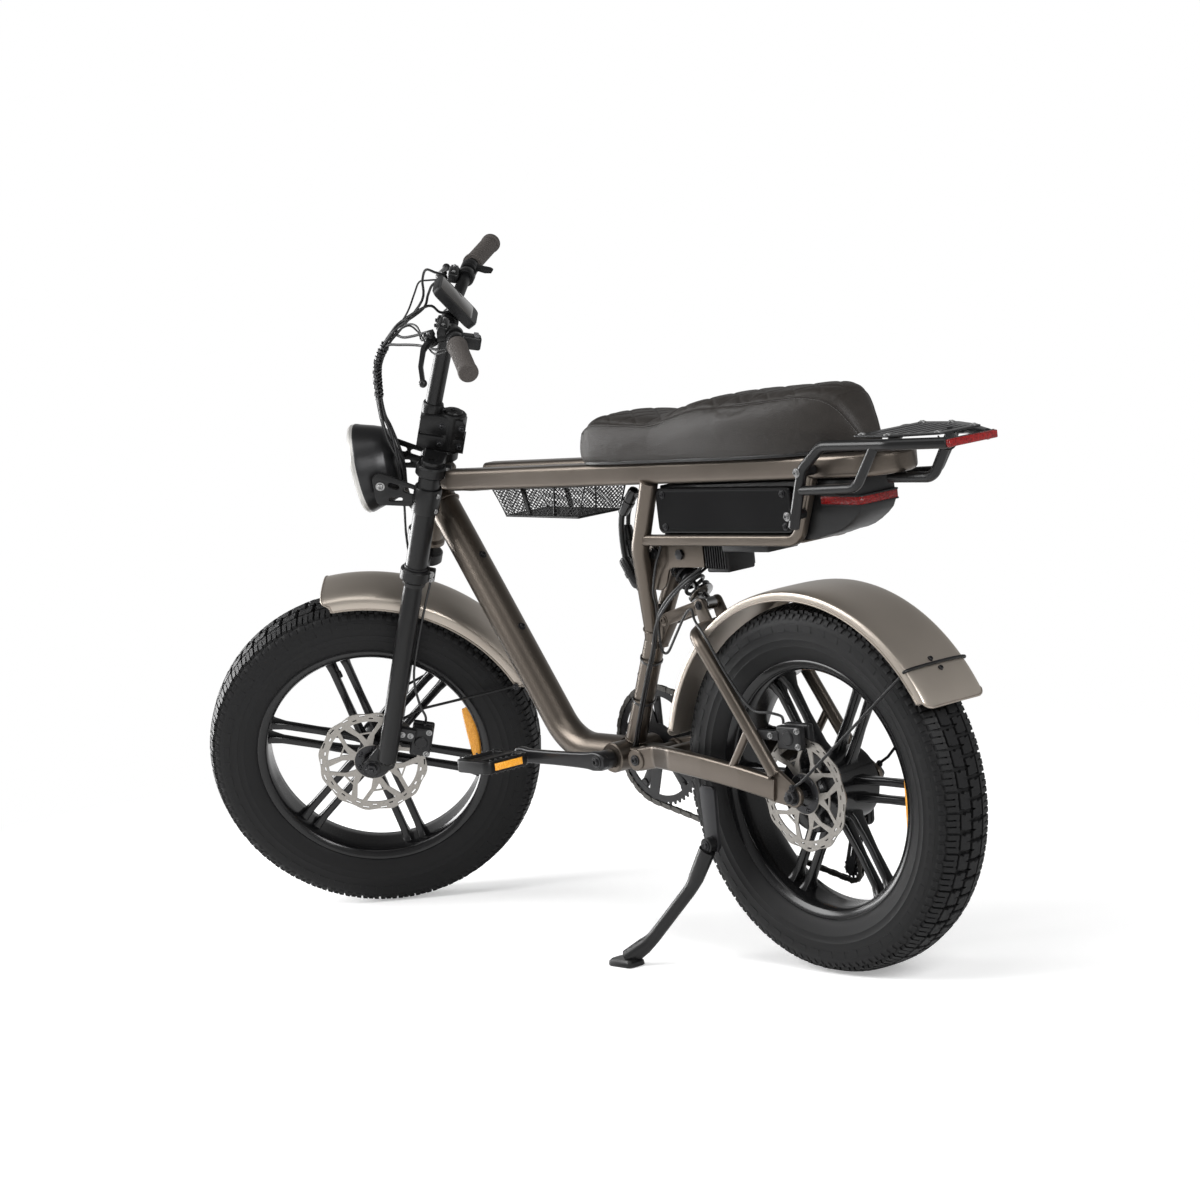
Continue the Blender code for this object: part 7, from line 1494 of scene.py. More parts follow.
belt_line = belt([(*AT_BRACKET, pitch_radius(RING_TEETH), 1), (HUB_X, HUB_Z, pitch_radius(COG_TEETH), 1),
    (*GUIDE, JOCKEY, -1), (*TENSION, JOCKEY, 1)])
belt_mesh, belt_long = closed_line(belt_line)
links = []
for name, out, tall in (("outer_link", 0.003, 0.0042), ("inner_link", 0.0019, 0.004)):
    links.append(linked(name, chain_link(out, tall)))
chain_mesh = grown(path_tree(), belt_mesh, {"Links": 2 * round(belt_long / CHAIN_PITCH / 2),
    "Even": links[0], "Odd": links[1], "Finish": chain_steel.material})
for link in links:
    bpy.data.objects.remove(link)
chain = piece("roller_chain", chain_mesh, chain_steel, None, "chain")
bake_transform(chain)
cogs = [(slab([toothed(teeth)], 0.0018), upright(y)) for teeth, y in ((COG_TEETH, CHAIN_Y), (17, -0.0575),
    (20, -0.0545), (24, -0.0515))]
cogs += [(pin(0.02, -0.056, -0.0494, 0.0008, 36), ALONG_Y), (pin(0.015, -0.064, -0.056, 0.0008, 36),
    ALONG_Y)]
piece("sprockets", joined(*cogs), chain_steel, "freewheel", "freewheel", place=rear_hub)

# Derailleur: a black parallelogram body under the hanger, and a sprung cage of two
# pressed plates that carries the jockey wheels.
inner_face, body_deep = 0.0872, 0.0872 - 0.0625 - 0.0075
body_side = slab([hull([(*HANGER, 0.0105), (*GUIDE, 0.0125)], 32)], body_deep * 0.42, 0.0018)
piece("derailleur_body", joined((body_side, upright(-inner_face + body_deep * 0.24)),
    (body_side, upright(-inner_face + body_deep * 0.76)),
    (pin(0.007, -inner_face, -inner_face + body_deep, 0.0006, 24), crosswise(*HANGER)),
    (pin(0.0078, -inner_face, -inner_face + body_deep, 0.0006, 24), crosswise(*GUIDE)),
    (pin(0.0035, -inner_face + body_deep - 0.003, -0.0547, 0.0004, 16), crosswise(*GUIDE)),
    cap_screw(0.0058, 0.004, facing_out(*HANGER, -0.096))), plastic, "swingarm", "derailleur")
cage_side = slab([hull([(*GUIDE, 0.01), (*TENSION, 0.01)], 32),
    hull([(GUIDE[0] + 0.009, GUIDE[1] - 0.024, 0.0035), (TENSION[0] - 0.008, TENSION[1] + 0.022, 0.0035)],
    16)], 0.0018)
wheel_side = slab([[(x * 0.74, z * 0.74) for x, z in toothed(JOCKEY_TEETH)]], 0.0028)
cage_parts = [(cage_side, upright(CHAIN_Y - 0.0052)), (cage_side, upright(CHAIN_Y + 0.0052))]
for x, z in (GUIDE, TENSION):
    cage_parts += [(wheel_side, upright(CHAIN_Y) @ at(x, z, 0)),
        (sleeve(0.0038, 0.008, -0.0042, 0.0042, 24), crosswise(x, z, CHAIN_Y))]
cage_parts.append(cap_screw(0.004, 0.0028, facing_out(*TENSION, CHAIN_Y - 0.0062)))
piece("jockey_cage", joined(*cage_parts), black_steel, "derailleur_cage", "derailleur_cage")

# Battery cradle: square tube loops on both sides, welded to a floor plate, with two
# gussets below that hold the shock between them by one hexagon bolt.
CRADLE_Y, CRADLE_FRONT, CRADLE_LEVEL, CRADLE_FALL = 0.053, -0.25, 0.716, 0.0217


def cradle_level(x):
    """Height of the cradle's side tubes."""
    return CRADLE_LEVEL - CRADLE_FALL * (x - CRADLE_FRONT)


loop_line = rounded([(CRADLE_FRONT, CRADLE_Y, CRADLE_LEVEL), (-0.63, CRADLE_Y, cradle_level(-0.63)),
    (-0.673, CRADLE_Y, 0.83)], 0.03, 8)
loop_box = rounded_box(0.018, 0.018, 0.0045, 4)
gusset_line = [(-0.232, 0.713), (-0.225, 0.69), (-0.2185, 0.665), (-0.214, 0.64), (-0.213, 0.626),
    (-0.2165, 0.6165), (-0.2235, 0.6145), (-0.2295, 0.6185), (-0.235, 0.625), (-0.2425, 0.628),
    (-0.25, 0.627), (-0.258, 0.6265), (-0.265, 0.629), (-0.272, 0.634), (-0.277, 0.642), (-0.281, 0.653),
    (-0.285, 0.662), (-0.2905, 0.6655), (-0.298, 0.667), (-0.374, 0.669), (-0.374, 0.7165)]
gusset = slab([gusset_line], 0.005, 0.0008)
turn_cradle = atan(CRADLE_FALL)
floor_mid = -0.448
SEAM_RIPPLES, SEAM_PITCH = 30, 0.0044
cradle_parts = [swept(loop_line, loop_box, up=(0, 1, 0)),
    swept(flipped(loop_line), loop_box, up=(0, 1, 0)), (block((0.372, 0.096, 0.004), 0.001),
    at(floor_mid, 0, cradle_level(floor_mid) - 0.003) @ Matrix.Rotation(turn_cradle, 4, "Y"))]
for side in (1, -1):
    cradle_parts.append((gusset, upright(side * 0.03)))
    seam = row_of(block((0.0036, 0.004, 0.0036), 0.0012, 1), SEAM_RIPPLES,
        (-SEAM_PITCH, 0, SEAM_PITCH * CRADLE_FALL))
    cradle_parts.append((seam, at(-0.242, side * 0.0435, cradle_level(-0.242) - 0.0085)))
piece("cradle_weldment", joined(*cradle_parts), bronze, "frame", "battery_cradle")
hexagon = slab([circle(0.0095, 6)], 0.0055, 0.0008)
cradle_bolts = [(hexagon, upright(side * 0.035) @ at(-0.318, 0.69, 0)) for side in (1, -1)]
piece("cradle_bolts", joined(*cradle_bolts), black_steel, "frame")

# Battery: a long black case between the rails and the cradle, its gloss side panels
# held by a screw in each corner, with a charging port, a key lock and a wedge tail.
gloss_panel = coat("gloss_panel", (0.004, 0.004, 0.0044), 0.16, 0.0, peel=0.00005, varied=0.05, gloss=0.22)


def rail_under(x):
    return rail_level(x) - RAIL_TALL / 2 - 0.0003


case_line = [(-0.292, cradle_level(-0.292) - 0.0007), (-0.292, rail_under(-0.292) - 0.004),
    (-0.766, rail_under(-0.766) - 0.004), (-0.766, 0.779), (-0.76, 0.768), (-0.748, 0.758),
    (-0.733, 0.7485), (-0.716, 0.74), (-0.699, 0.7345), (-0.68, 0.731),
    (-0.655, cradle_level(-0.655) - 0.0007)]
piece("battery_shell", joined((slab([case_line], 0.082, 0.004), upright(0))), plastic, "frame",
    "battery_case")
PANEL_X, PANEL_LONG, PANEL_TALL = -0.458, 0.326, 0.076
panel_z = cradle_level(PANEL_X) + 0.0115 + PANEL_TALL / 2
panel_bolts, ports = [], []
for side in (1, -1):
    panel_place = at(PANEL_X, side * 0.048, panel_z) @ Matrix.Rotation(turn_cradle, 4, "Y")
    rim_rings = [[(x, side * y, z) for x, z in rounded_box(PANEL_LONG - 2 * inset, PANEL_TALL - 2 * inset,
        0.01, 6)] for y, inset in ((-0.01, 0.0), (0.0045, 0.0), (0.0064, 0.0012), (0.007, 0.0035),
        (0.0066, 0.005), (0.0066, 0.006))]
    piece("battery_panel_" + ("left" if side > 0 else "right"), skin(rim_rings), gloss_panel, "frame",
        place=bike @ panel_place)
    for x in (-0.145, 0.145):
        for z in (-0.027, 0.027):
            panel_bolts.append(cap_screw(0.004, 0.0036, panel_place @ at(x, side * 0.0068, z)
                @ Matrix.Rotation(-side * pi / 2, 4, "X")))
ports.append((turned([(0, 0), (0.0095, 0), (0.0105, 0.001), (0.0105, 0.0032), (0.0085, 0.004),
    (0.006, 0.0036), (0, 0.0036)], 32), facing_out(-0.64, 0.8, -0.041)))
ports.append((turned([(0, 0), (0.008, 0), (0.0085, 0.001), (0.0085, 0.003), (0.0065, 0.004),
    (0.002, 0.004), (0.002, 0.0015), (0, 0.0015)], 32), facing_out(-0.7, 0.8, -0.041)))
piece("battery_screws", joined(*panel_bolts), black_steel, "frame")
piece("battery_ports", joined(*ports), satin_black, "frame", slot="")

# Tail light: a red lens with fine prisms wrapped round the end of the battery case,
# between two black edges. The rack's end carries a flat red light of the same plastic.
red_lens = Finish("red_lens", (0.17, 0.006, 0.005), 0.16, gloss=0.3, slot="red_lens")
red_cells = red_lens.cells(260.0, distance="MANHATTAN")
red_lens.put("Base Color", red_lens.mixed(red_cells, (0.06, 0.001, 0.001), (0.19, 0.004, 0.004)))
red_lens.put("Coat Weight", 0.15)
red_lens.bump(red_cells, 0.0006)
wrap = [(-0.682, 0.0458), (-0.74, 0.0458), (-0.76, 0.0452), (-0.766, 0.0437), (-0.7695, 0.041),
    (-0.7705, 0.0375)]
wrap_all = wrap + [(x, -y) for x, y in reversed(wrap)]
wrap_outline = wrap_all + [(-0.682, -0.0413), (-0.7663, -0.0413), (-0.7663, 0.0413), (-0.682, 0.0413)]
lens = slab([wrap_outline], 0.0135, 0.0006)
piece("tail_lens", joined((lens, at(0, 0, 0.7895))), red_lens, "frame", "tail_light")
frame_outline = [(x - (0.0008 if x < -0.7 else 0), y * 1.015) for x, y in wrap_all]
frame_outline += [(-0.682, -0.0412), (-0.7661, -0.0412), (-0.7661, 0.0412), (-0.682, 0.0412)]
frames = [(slab([frame_outline], 0.0022), at(0, 0, z)) for z in (0.782, 0.797)]
piece("tail_light_frame", joined(*frames), plastic, "frame")

# Controller: a finned alloy box under the cradle's floor, with three rubber-sleeved
# plugs at its front. A flat junction box lies behind it.
under = cradle_level(-0.4045) - 0.0053
fin_row = row_of(block((0.0022, 0.068, 0.04), 0.0006, 1), 9, (0.0058, 0, 0))
box_turn = Matrix.Rotation(turn_cradle, 4, "Y")
piece("controller_case", joined((block((0.054, 0.062, 0.052), 0.004, 3), at(-0.4045, 0, under - 0.027)
    @ box_turn), (fin_row, at(-0.4277, 0, under - 0.0265)), (block((0.112, 0.07, 0.018), 0.003, 3),
    at(-0.48, 0, cradle_level(-0.48) - 0.0143) @ box_turn)), cast_black, "frame", "controller",
    slot="black_plastic")
plugs = [(turned([(0, 0), (0.0055, 0), (0.006, 0.003), (0.006, 0.01), (0.0042, 0.013), (0.0036, 0.018),
    (0, 0.018)], 20), between((-0.3775, y, under - 0.034), (-0.36, y, under - 0.036)))
    for y in (-0.018, 0.0, 0.018)]
piece("controller_plugs", joined(*plugs), rubber, "frame", slot="")

# Basket: a tapered tray of black-coated expanded steel mesh hung between the rails, with
# staggered holes right through it. Wires follow its edges and two straps pass below.
BASKET_TOP, BASKET_BOTTOM, BASKET_HALF, BASKET_FLOOR = (0.138, -0.11), (0.107, -0.085), 0.048, 0.75


def mesh_tree():
    """Turns each face of a sheet into a frame round a hole, then gives it a thickness."""
    wire, given = new_tree("punched_sheet", ("Hole", "Float"), ("Thickness", "Float"))
    inset = wire.node("GeometryNodeExtrudeMesh", {"mode": "FACES"},
        {"Mesh": given["Geometry"], "Offset Scale": 0.0, "Individual": True})
    top = inset.other("Top")
    shrunk = wire.node("GeometryNodeScaleElements", {"domain": "FACE"},
        {"Geometry": inset, "Selection": top, "Scale": given["Hole"]})
    holed = wire.node("GeometryNodeDeleteGeometry", {"domain": "FACE"},
        {"Geometry": shrunk, "Selection": top})
    thick = wire.node("GeometryNodeExtrudeMesh", {"mode": "FACES"},
        {"Mesh": holed, "Offset Scale": given["Thickness"], "Individual": False})
    flip = wire.node("GeometryNodeFlipFaces", {}, {"Mesh": holed})
    both = wire.tree.nodes.new("GeometryNodeJoinGeometry")
    for part in (thick, flip):
        wire.tree.links.new(part.socket, both.inputs["Geometry"])
    return ended(wire, Wire(wire.tree, both.outputs[0]), given["Finish"])


def diamond_sheet(corners, across, down):
    """A flat quad divided into diamonds; the half diamonds at its border are left out."""
    a, b, c, d = (Vector(corner) for corner in corners)
    bm = bmesh.new()
    spots = {}

    def spot(i, j):
        if (i, j) not in spots:
            u, v = i / (2 * across), j / (2 * down)
            spots[i, j] = bm.verts.new(a.lerp(b, u).lerp(d.lerp(c, u), v))
        return spots[i, j]

    for i in range(2 * across):
        for j in range(2 * down):
            if (i + j) % 2 and 0 < i < 2 * across and 0 < j < 2 * down:
                bm.faces.new((spot(i - 1, j), spot(i, j - 1), spot(i + 1, j), spot(i, j + 1)))
    return poured(bm, "sheet")


MESH = mesh_tree()
DIAMOND_WIDE, DIAMOND_TALL, HOLE_SHARE, SHEET_THICK = 0.0104, 0.0084, 0.77, 0.0008
front_top, rear_top = (BASKET_TOP[0], rail_under(BASKET_TOP[0])), (BASKET_TOP[1], rail_under(BASKET_TOP[1]))
floor_ends = [(x, BASKET_FLOOR) for x in BASKET_BOTTOM]
sheets, wires, walls = [], [], []
for side in (1, -1):
    walls.append([(x, side * BASKET_HALF, z) for x, z in (front_top, rear_top, *floor_ends[::-1])])
walls.append([(x, y, BASKET_FLOOR) for x, y in ((BASKET_BOTTOM[0], BASKET_HALF),
    (BASKET_BOTTOM[1], BASKET_HALF), (BASKET_BOTTOM[1], -BASKET_HALF), (BASKET_BOTTOM[0], -BASKET_HALF))])
for top, low in ((front_top, floor_ends[0]), (rear_top, floor_ends[1])):
    walls.append([(x, y, z) for (x, z), y in ((top, BASKET_HALF), (top, -BASKET_HALF), (low, -BASKET_HALF),
        (low, BASKET_HALF))])
for corners in walls:
    span = (Vector(corners[0]) - Vector(corners[1])).length
    fall = (Vector(corners[0]) - Vector(corners[3])).length
    sheets.append(grown(MESH, diamond_sheet(corners, round(span / DIAMOND_WIDE),
        round(fall / DIAMOND_TALL)), {"Hole": HOLE_SHARE, "Thickness": SHEET_THICK,
        "Finish": satin_black.material}))
    wires.append(swept([Vector(p) for p in corners], circle(0.0019, 10), closed=True, up=(0.3, 0.5, 0.8)))
for share in (0.33, 0.67):
    x_top = front_top[0] + (rear_top[0] - front_top[0]) * share
    x_low = BASKET_BOTTOM[0] + (BASKET_BOTTOM[1] - BASKET_BOTTOM[0]) * share
    z_top = rail_under(x_top)
    line = [(x_top, BASKET_HALF, z_top), (x_low, BASKET_HALF, BASKET_FLOOR),
        (x_low, -BASKET_HALF, BASKET_FLOOR), (x_top, -BASKET_HALF, z_top)]
    wires.append(swept(rounded(line, 0.004, 3), rounded_box(0.009, 0.0022, 0.0008, 1), up=(0, 0.1, 1)))
piece("basket_mesh", joined(*sheets), satin_black, "frame", "basket")
piece("basket_wires", joined(*wires), satin_black, "frame", slot="")

# Seat: a long moulded foam pad on a plastic pan, covered in charcoal synthetic leather.
# A welted seam follows the crown's edge, and the top is sewn in a pattern of diamonds.
leather = Finish("seat_leather", (0.0195, 0.017, 0.015), 0.5, gloss=0.24, slot="seat_leather")
pores = leather.cells(620.0)
creases_and_shade = leather.noise(60.0, 4.0)
# The colour darkens where the same noise lowers the relief: painted shade in the creases, over a tone that
# differs at random.
leather.put("Base Color", leather.mixed(creases_and_shade, (0.0158, 0.0136, 0.012), (0.025, 0.0215, 0.019)))
leather.put("Roughness", 0.42 + 0.16 * creases_and_shade)
leather.bump(pores * 0.6 + creases_and_shade * 0.4, 0.0006, 0.7)
thread = coat("seat_thread", (0.085, 0.082, 0.08), 0.7, 0.0)
SKIRT = 0.021
seat_table = [(-0.113, 0.872, 0.04), (-0.1165, 0.886, 0.055), (-0.124, 0.899, 0.067),
    (-0.141, 0.914, 0.0775), (-0.17, 0.9275, 0.085), (-0.22, 0.9285, 0.089), (-0.282, 0.9275, 0.09),
    (-0.325, 0.929, 0.09), (-0.376, 0.943, 0.091), (-0.421, 0.953, 0.093), (-0.482, 0.9605, 0.095),
    (-0.56, 0.9655, 0.094), (-0.6, 0.968, 0.09), (-0.64, 0.971, 0.083), (-0.675, 0.973, 0.073),
    (-0.702, 0.971, 0.0625), (-0.72, 0.965, 0.054), (-0.734, 0.953, 0.046), (-0.749, 0.931, 0.038),
    (-0.762, 0.904, 0.03), (-0.771, 0.882, 0.024)]
seat_flow = flowing(seat_table, 3)
SHRINK = 0.0035


def seat_section(x, top, half, inset=0.0):
    foot = rail_level(x) + SKIRT
    rise = top - foot - inset
    shape = flowing([(0.93, 0.0, 0), (0.985, 0.16, 0), (1.0, 0.38, 0), (0.97, 0.66, 0), (0.885, 0.865, 0),
        (0.66, 0.965, 0), (0.34, 0.993, 0), (0.0, 1.0, 0)], 3)
    points = [(x, (half - inset) * y, foot + share * rise) for y, share, _ in shape]
    return points + [(x, -y, z) for x, y, z in reversed(points[:-1])]


def spots_of(mesh):
    """The places of a mesh's points, one row each."""
    flat = np.empty(len(mesh.vertices) * 3)
    mesh.vertices.foreach_get("co", flat)
    return flat.reshape(-1, 3)


CLOTH_FRAMES = 20


def puffed(mesh, voxel, pressure, cap):
    """A closed pad filled by cloth pressure, each point held near where it started."""
    obj = linked("pad", mesh)
    remesh = obj.modifiers.new("even", "REMESH")
    remesh.mode, remesh.voxel_size, remesh.use_smooth_shade = "VOXEL", voxel, True
    even = applied(obj)
    obj.data = even
    start = moved = spots_of(even)
    cloth = obj.modifiers.new("fill", "CLOTH")
    cloth.settings.use_pressure = True
    cloth.settings.uniform_pressure_force = pressure
    cloth.settings.effector_weights.gravity = 0
    cloth.settings.tension_stiffness = cloth.settings.compression_stiffness = 25
    for frame_number in range(1, CLOTH_FRAMES + 1):
        bpy.context.scene.frame_set(frame_number)
    moved = spots_of(applied(obj))
    bpy.context.scene.frame_set(1)
    shift = moved - start
    size = np.maximum(np.linalg.norm(shift, axis=1, keepdims=True), 1e-9)
    places = start + shift * np.minimum(1.0, cap / size)
    bpy.data.objects.remove(obj)
    return even, places


PAD_VOXEL, PAD_PRESSURE, PAD_SHIFT = 0.005, 2.5, 0.003
pad_start = skin([seat_section(*station, SHRINK) for station in seat_flow])
pad_mesh, pad_places = puffed(pad_start, PAD_VOXEL, PAD_PRESSURE, PAD_SHIFT)
xs, tops, halves = np.array([tuple(station) for station in reversed(seat_flow)]).T
pad_mesh.vertices.foreach_set("co", pad_places.reshape(-1))
pad_obj = linked("pad", pad_mesh)
divide = pad_obj.modifiers.new("divide", "SUBSURF")
divide.levels = divide.render_levels = 1
pad_mesh = applied(pad_obj)
bpy.data.objects.remove(pad_obj)
co, no = spots_of(pad_mesh), np.empty(len(pad_mesh.vertices) * 3)
pad_mesh.vertex_normals.foreach_get("vector", no)
no = no.reshape(-1, 3)
floor_z = rail_level(co[:, 0]) + SKIRT
co[:, 2] = np.maximum(co[:, 2], floor_z)
half_here = np.interp(co[:, 0], xs, halves)
SEAM_DROP = 0.0135
inside = np.minimum(half_here * 0.8 - np.abs(co[:, 1]), np.minimum(-0.148 - co[:, 0], co[:, 0] + 0.726))
top_side = np.clip((no[:, 2] - 0.55) / 0.25, 0, 1) * np.clip(inside / 0.006, 0, 1)
DIAMOND = 0.052
u = (co[:, 0] * 0.8 + co[:, 1]) / DIAMOND
v = (co[:, 0] * 0.8 - co[:, 1]) / DIAMOND
line_gap = np.minimum(np.abs(u - np.round(u)), np.abs(v - np.round(v))) * DIAMOND * 0.62
SEW_WIDE, SEW_DEEP, BORDER_DEEP, PILLOW_WIDE, PILLOW_HIGH = 0.0024, 0.0011, 0.0014, 0.012, 0.0008
groove = np.exp(-(line_gap / SEW_WIDE) ** 2) * top_side * SEW_DEEP
border = np.exp(-(np.abs(inside) / SEW_WIDE) ** 2) * np.clip((no[:, 2] - 0.3) / 0.25, 0, 1) * BORDER_DEEP
pillow = np.clip(line_gap / PILLOW_WIDE, 0, 1) ** 0.6 * top_side * PILLOW_HIGH
co += no * (pillow - groove - border)[:, None]
pad_mesh.vertices.foreach_set("co", co.reshape(-1))
pad_mesh.update()
tree = BVHTree.FromPolygons([Vector(p) for p in co.tolist()],
    [list(face.vertices) for face in pad_mesh.polygons])


def on_pad(point, towards):
    """The pad's surface as seen from outside at a point, and its normal."""
    place, normal, _, _ = tree.ray_cast(Vector(point), Vector(towards).normalized())
    return (place, normal) if place else (None, None)


SEAT_MIDDLE, SEAT_REACH = -0.443, 0.325
SEAM_STEPS, SEAM_SQUARE = 260, 0.35
seam = []
for step in range(SEAM_STEPS):
    angle = 2 * pi * step / SEAM_STEPS
    share = cos(angle)
    x = SEAT_MIDDLE + SEAT_REACH * copysign(abs(share) ** SEAM_SQUARE, share)
    share = sin(angle)
    half = float(np.interp(x, xs, halves)) * copysign(min(1.0, abs(share) ** SEAM_SQUARE), share)
    z = float(np.interp(x, xs, tops)) - SEAM_DROP - 0.008 * (1 - min(1.0, abs(share) * 1.3))
    aim = Vector((SEAT_MIDDLE + (x - SEAT_MIDDLE) * 0.8, half * 0.6, z - 0.004))
    outward = Vector((x, half, z)) - aim
    start = aim + outward.normalized() * 0.25
    place, normal = on_pad(start, -outward)
    if place:
        seam.append((place, normal))


def smoothed(line, rounds):
    """A closed line, each point drawn towards its neighbours a few times over."""
    for _ in range(rounds):
        line = [(line[i - 1] + line[i] * 2 + line[(i + 1) % len(line)]) / 4 for i in range(len(line))]
    return line


seam_line = smoothed([place - normal * 0.0004 for place, normal in seam], 3)
welt = swept(seam_line, circle(0.0017, 10), up=(0, 0, 1), closed=True)


def stitch_tree():
    """Stitches along a closed path, each turned to lie along it."""
    wire, given = new_tree("stitches", ("Count", "Int"), ("Stitch", "Object"))
    points = spread_on(wire, given, "Count")
    turn = wire.node("FunctionNodeAlignRotationToVector", {"axis": "X"},
        {"Vector": points.other("Tangent")})
    stitch = wire.node("GeometryNodeObjectInfo", {}, {"Object": given["Stitch"]}, output=4)
    copies = wire.node("GeometryNodeInstanceOnPoints", {}, {"Points": points, "Instance": stitch,
        "Rotation": turn})
    return ended(wire, copies, given["Finish"])


STITCHES = stitch_tree()


def stitches(line, spacing):
    """Raised thread along a closed line of points."""
    path, loop_long = closed_line(line)
    shape = linked("stitch", swept([(-0.0017, 0, -0.0002), (-0.001, 0, 0.0003), (0.001, 0, 0.0003),
        (0.0017, 0, -0.0002)], circle(0.00042, 6)))
    made = grown(STITCHES, path, {"Count": max(4, round(loop_long / spacing)), "Stitch": shape,
        "Finish": thread.material})
    bpy.data.objects.remove(shape)
    return made


low_row = []
for place, normal in seam:
    slide = (Vector((0, 0, -1)) + normal * normal.z).normalized() * 0.0042
    spot = tree.find_nearest(place + slide)
    low_row.append(spot[0] + spot[1] * 0.0002)
seat = piece("seat_cover", pad_mesh, leather, "frame", "seat_pad", smooth=70.0)
piece("seat_welt", welt, leather, "frame")
piece("seat_stitches", stitches(smoothed(low_row, 2), 0.0052), thread, "frame")
pan_edge = [(x, half - 0.012) for x, _, half in seat_flow[4:-2]]
pan = slab([pan_edge + [(x, -y) for x, y in reversed(pan_edge)]], 0.006, 0.0014)
pan_tilt = Matrix.Rotation(atan(RAIL_FALL), 4, "Y")
piece("seat_base", joined((pan, at(0, 0, rail_level(0) + 0.0223) @ pan_tilt)), plastic, "frame", "seat_pan")

# Rack: black steel tube in two loops that are bolted to the cradle and the rails, and
# meet at the tail. A slotted plate lies on them, with a stay down to the frame's end.
RACK_Y, RACK_END_Y, RACK_TUBE, RACK_TOP, RACK_END = 0.092, 0.047, 0.009, 0.884, -0.972
rack_black = coat("rack_black", (0.007, 0.007, 0.0074), 0.3, 0.08, gloss=0.34, slot="black_coat")
main_line = rounded([(-0.662, RACK_Y, 0.752), (-0.694, RACK_Y, 0.846), (-0.742, RACK_Y, RACK_TOP),
    (-0.888, RACK_Y, RACK_TOP + 0.003), (RACK_END, RACK_END_Y, RACK_TOP)], 0.035, 10)
strut_line = rounded([(-0.86, RACK_Y, RACK_TOP), (-0.812, RACK_Y, 0.818), (-0.688, RACK_Y, 0.812)], 0.03,
    10)
rack_screws = []
for name, side in (("rack_left", 1), ("rack_right", -1)):
    line, strut = sided(main_line, side), sided(strut_line, side)
    parts = [swept(line, circle(RACK_TUBE, 28)), swept(strut, circle(RACK_TUBE - 0.001, 28))]
    for x, z, inner in ((-0.6575, 0.771, 0.0623), (-0.689, 0.842, 0.0623)):
        parts.append((pin(0.0085, inner, 0.086, 0.001, 24), crosswise(x, z) if side > 0
            else crosswise(x, z) @ Matrix.Rotation(pi, 4, "X")))
        rack_screws.append(cap_screw(0.0048, 0.005, facing_out(x, z, side * 0.1003)))
    for spot, other in ((line[0], line[1]), (line[-1], line[-2])):
        parts.append((turned([(0, -0.0012), (0.0075, -0.0012), (0.0086, -0.0002), (0.0086, 0.003),
            (0, 0.003)], 24), between(spot, other)))
    piece(name + "_tube", joined(*parts), rack_black, "frame", name)
piece("rack_screws", joined(*rack_screws), zinc, "frame")
deck_grey = coat("deck_grey", (0.018, 0.018, 0.019), 0.38, 0.35, slot="rotor_steel")
deck_low = RACK_TOP + 0.0123
deck_outline = rounded([(-0.8, 0.0, 0), (-0.8, 0.08, 0), (-0.88, 0.082, 0), (-0.962, 0.046, 0),
    (-0.962, 0.0, 0)], 0.01, 5)
deck_outline = [(p.x, p.y) for p in deck_outline] + [(p.x, -p.y) for p in reversed(deck_outline[1:-1])]
slots = [[(x + px, py) for px, py in rounded_box(0.0085, width, 0.0042, 4)]
    for x, width in ((-0.826, 0.118), (-0.845, 0.118), (-0.864, 0.118), (-0.883, 0.116), (-0.902, 0.102),
    (-0.921, 0.086), (-0.94, 0.068))]
stay_line = rounded([(-0.797, 0, rail_under(-0.797) - 0.0085), (-0.892, 0, 0.8222),
    (-0.942, 0, deck_low + 0.001)], 0.03, 10)
piece("rack_plate", joined((slab([deck_outline] + slots, 0.003, 0.0006), at(0, 0, deck_low + 0.0015))),
    deck_grey, "frame", "rack_deck")
deck_screws = [cap_screw(0.0042, 0.0026, at(x, y, deck_low + 0.0034)) for x, y in ((-0.812, 0.068),
    (-0.812, -0.068), (-0.872, 0.072), (-0.872, -0.072), (-0.95, 0.04), (-0.95, -0.04))]
piece("deck_screws", joined(*deck_screws), zinc, "frame")
hook_line = flowing([(-0.958, 0.01, deck_low - 0.002), (-0.962, 0.012, deck_low - 0.016),
    (-0.956, 0.02, deck_low - 0.026), (-0.944, 0.026, deck_low - 0.024),
    (-0.938, 0.028, deck_low - 0.004)], 6)
piece("deck_stay", joined(swept(stay_line, circle(0.0085, 28)), swept(hook_line, circle(0.0014, 10))),
    rack_black, "frame")
rack_turn = atan2(RACK_Y - RACK_END_Y, -0.888 - RACK_END)
light_front = RACK_END - RACK_TUBE * sin(rack_turn) - 0.0003
piece("rack_lamp",
    joined((block((0.0088, 0.11, 0.0125), 0.002, 3), at(light_front - 0.0056, 0, RACK_TOP))), red_lens,
    "frame", "rack_light")
piece("rack_lamp_base",
    joined((block((0.003, 0.112, 0.014), 0.0008), at(light_front - 0.0015, 0, RACK_TOP))), plastic,
    "frame", slot="")

# Cables and hoses: thin black rubber-sheathed lines from the levers, the keypad, the
# throttle and the display. They gather in a spiral wrap ahead of the stem, then part
# again for the gland in the head tube and the brake hose on the left fork leg.
sheath = coat("cable_sheath", (0.01, 0.01, 0.0105), 0.34, 0.0, peel=0.0002)
wrap_plastic = coat("spiral_wrap", (0.022, 0.022, 0.023), 0.36, 0.0)
STEER_STOP = radians(47.1)
to_frame = Matrix.Rotation(-STEER_STOP, 3, "Z")
gland_tip = to_frame @ Vector((HEAD_RADIUS + 0.0104, 0, GLAND_UP))
gland_way = to_frame @ Vector((1, 0, 0))
spine = flowing([(0.088, 0.068, 0.866), (0.116, 0.08, 0.83), (0.133, 0.08, 0.78), (0.128, 0.074, 0.73),
    (0.112, 0.064, 0.67), (0.09, 0.052, 0.625)], 5)


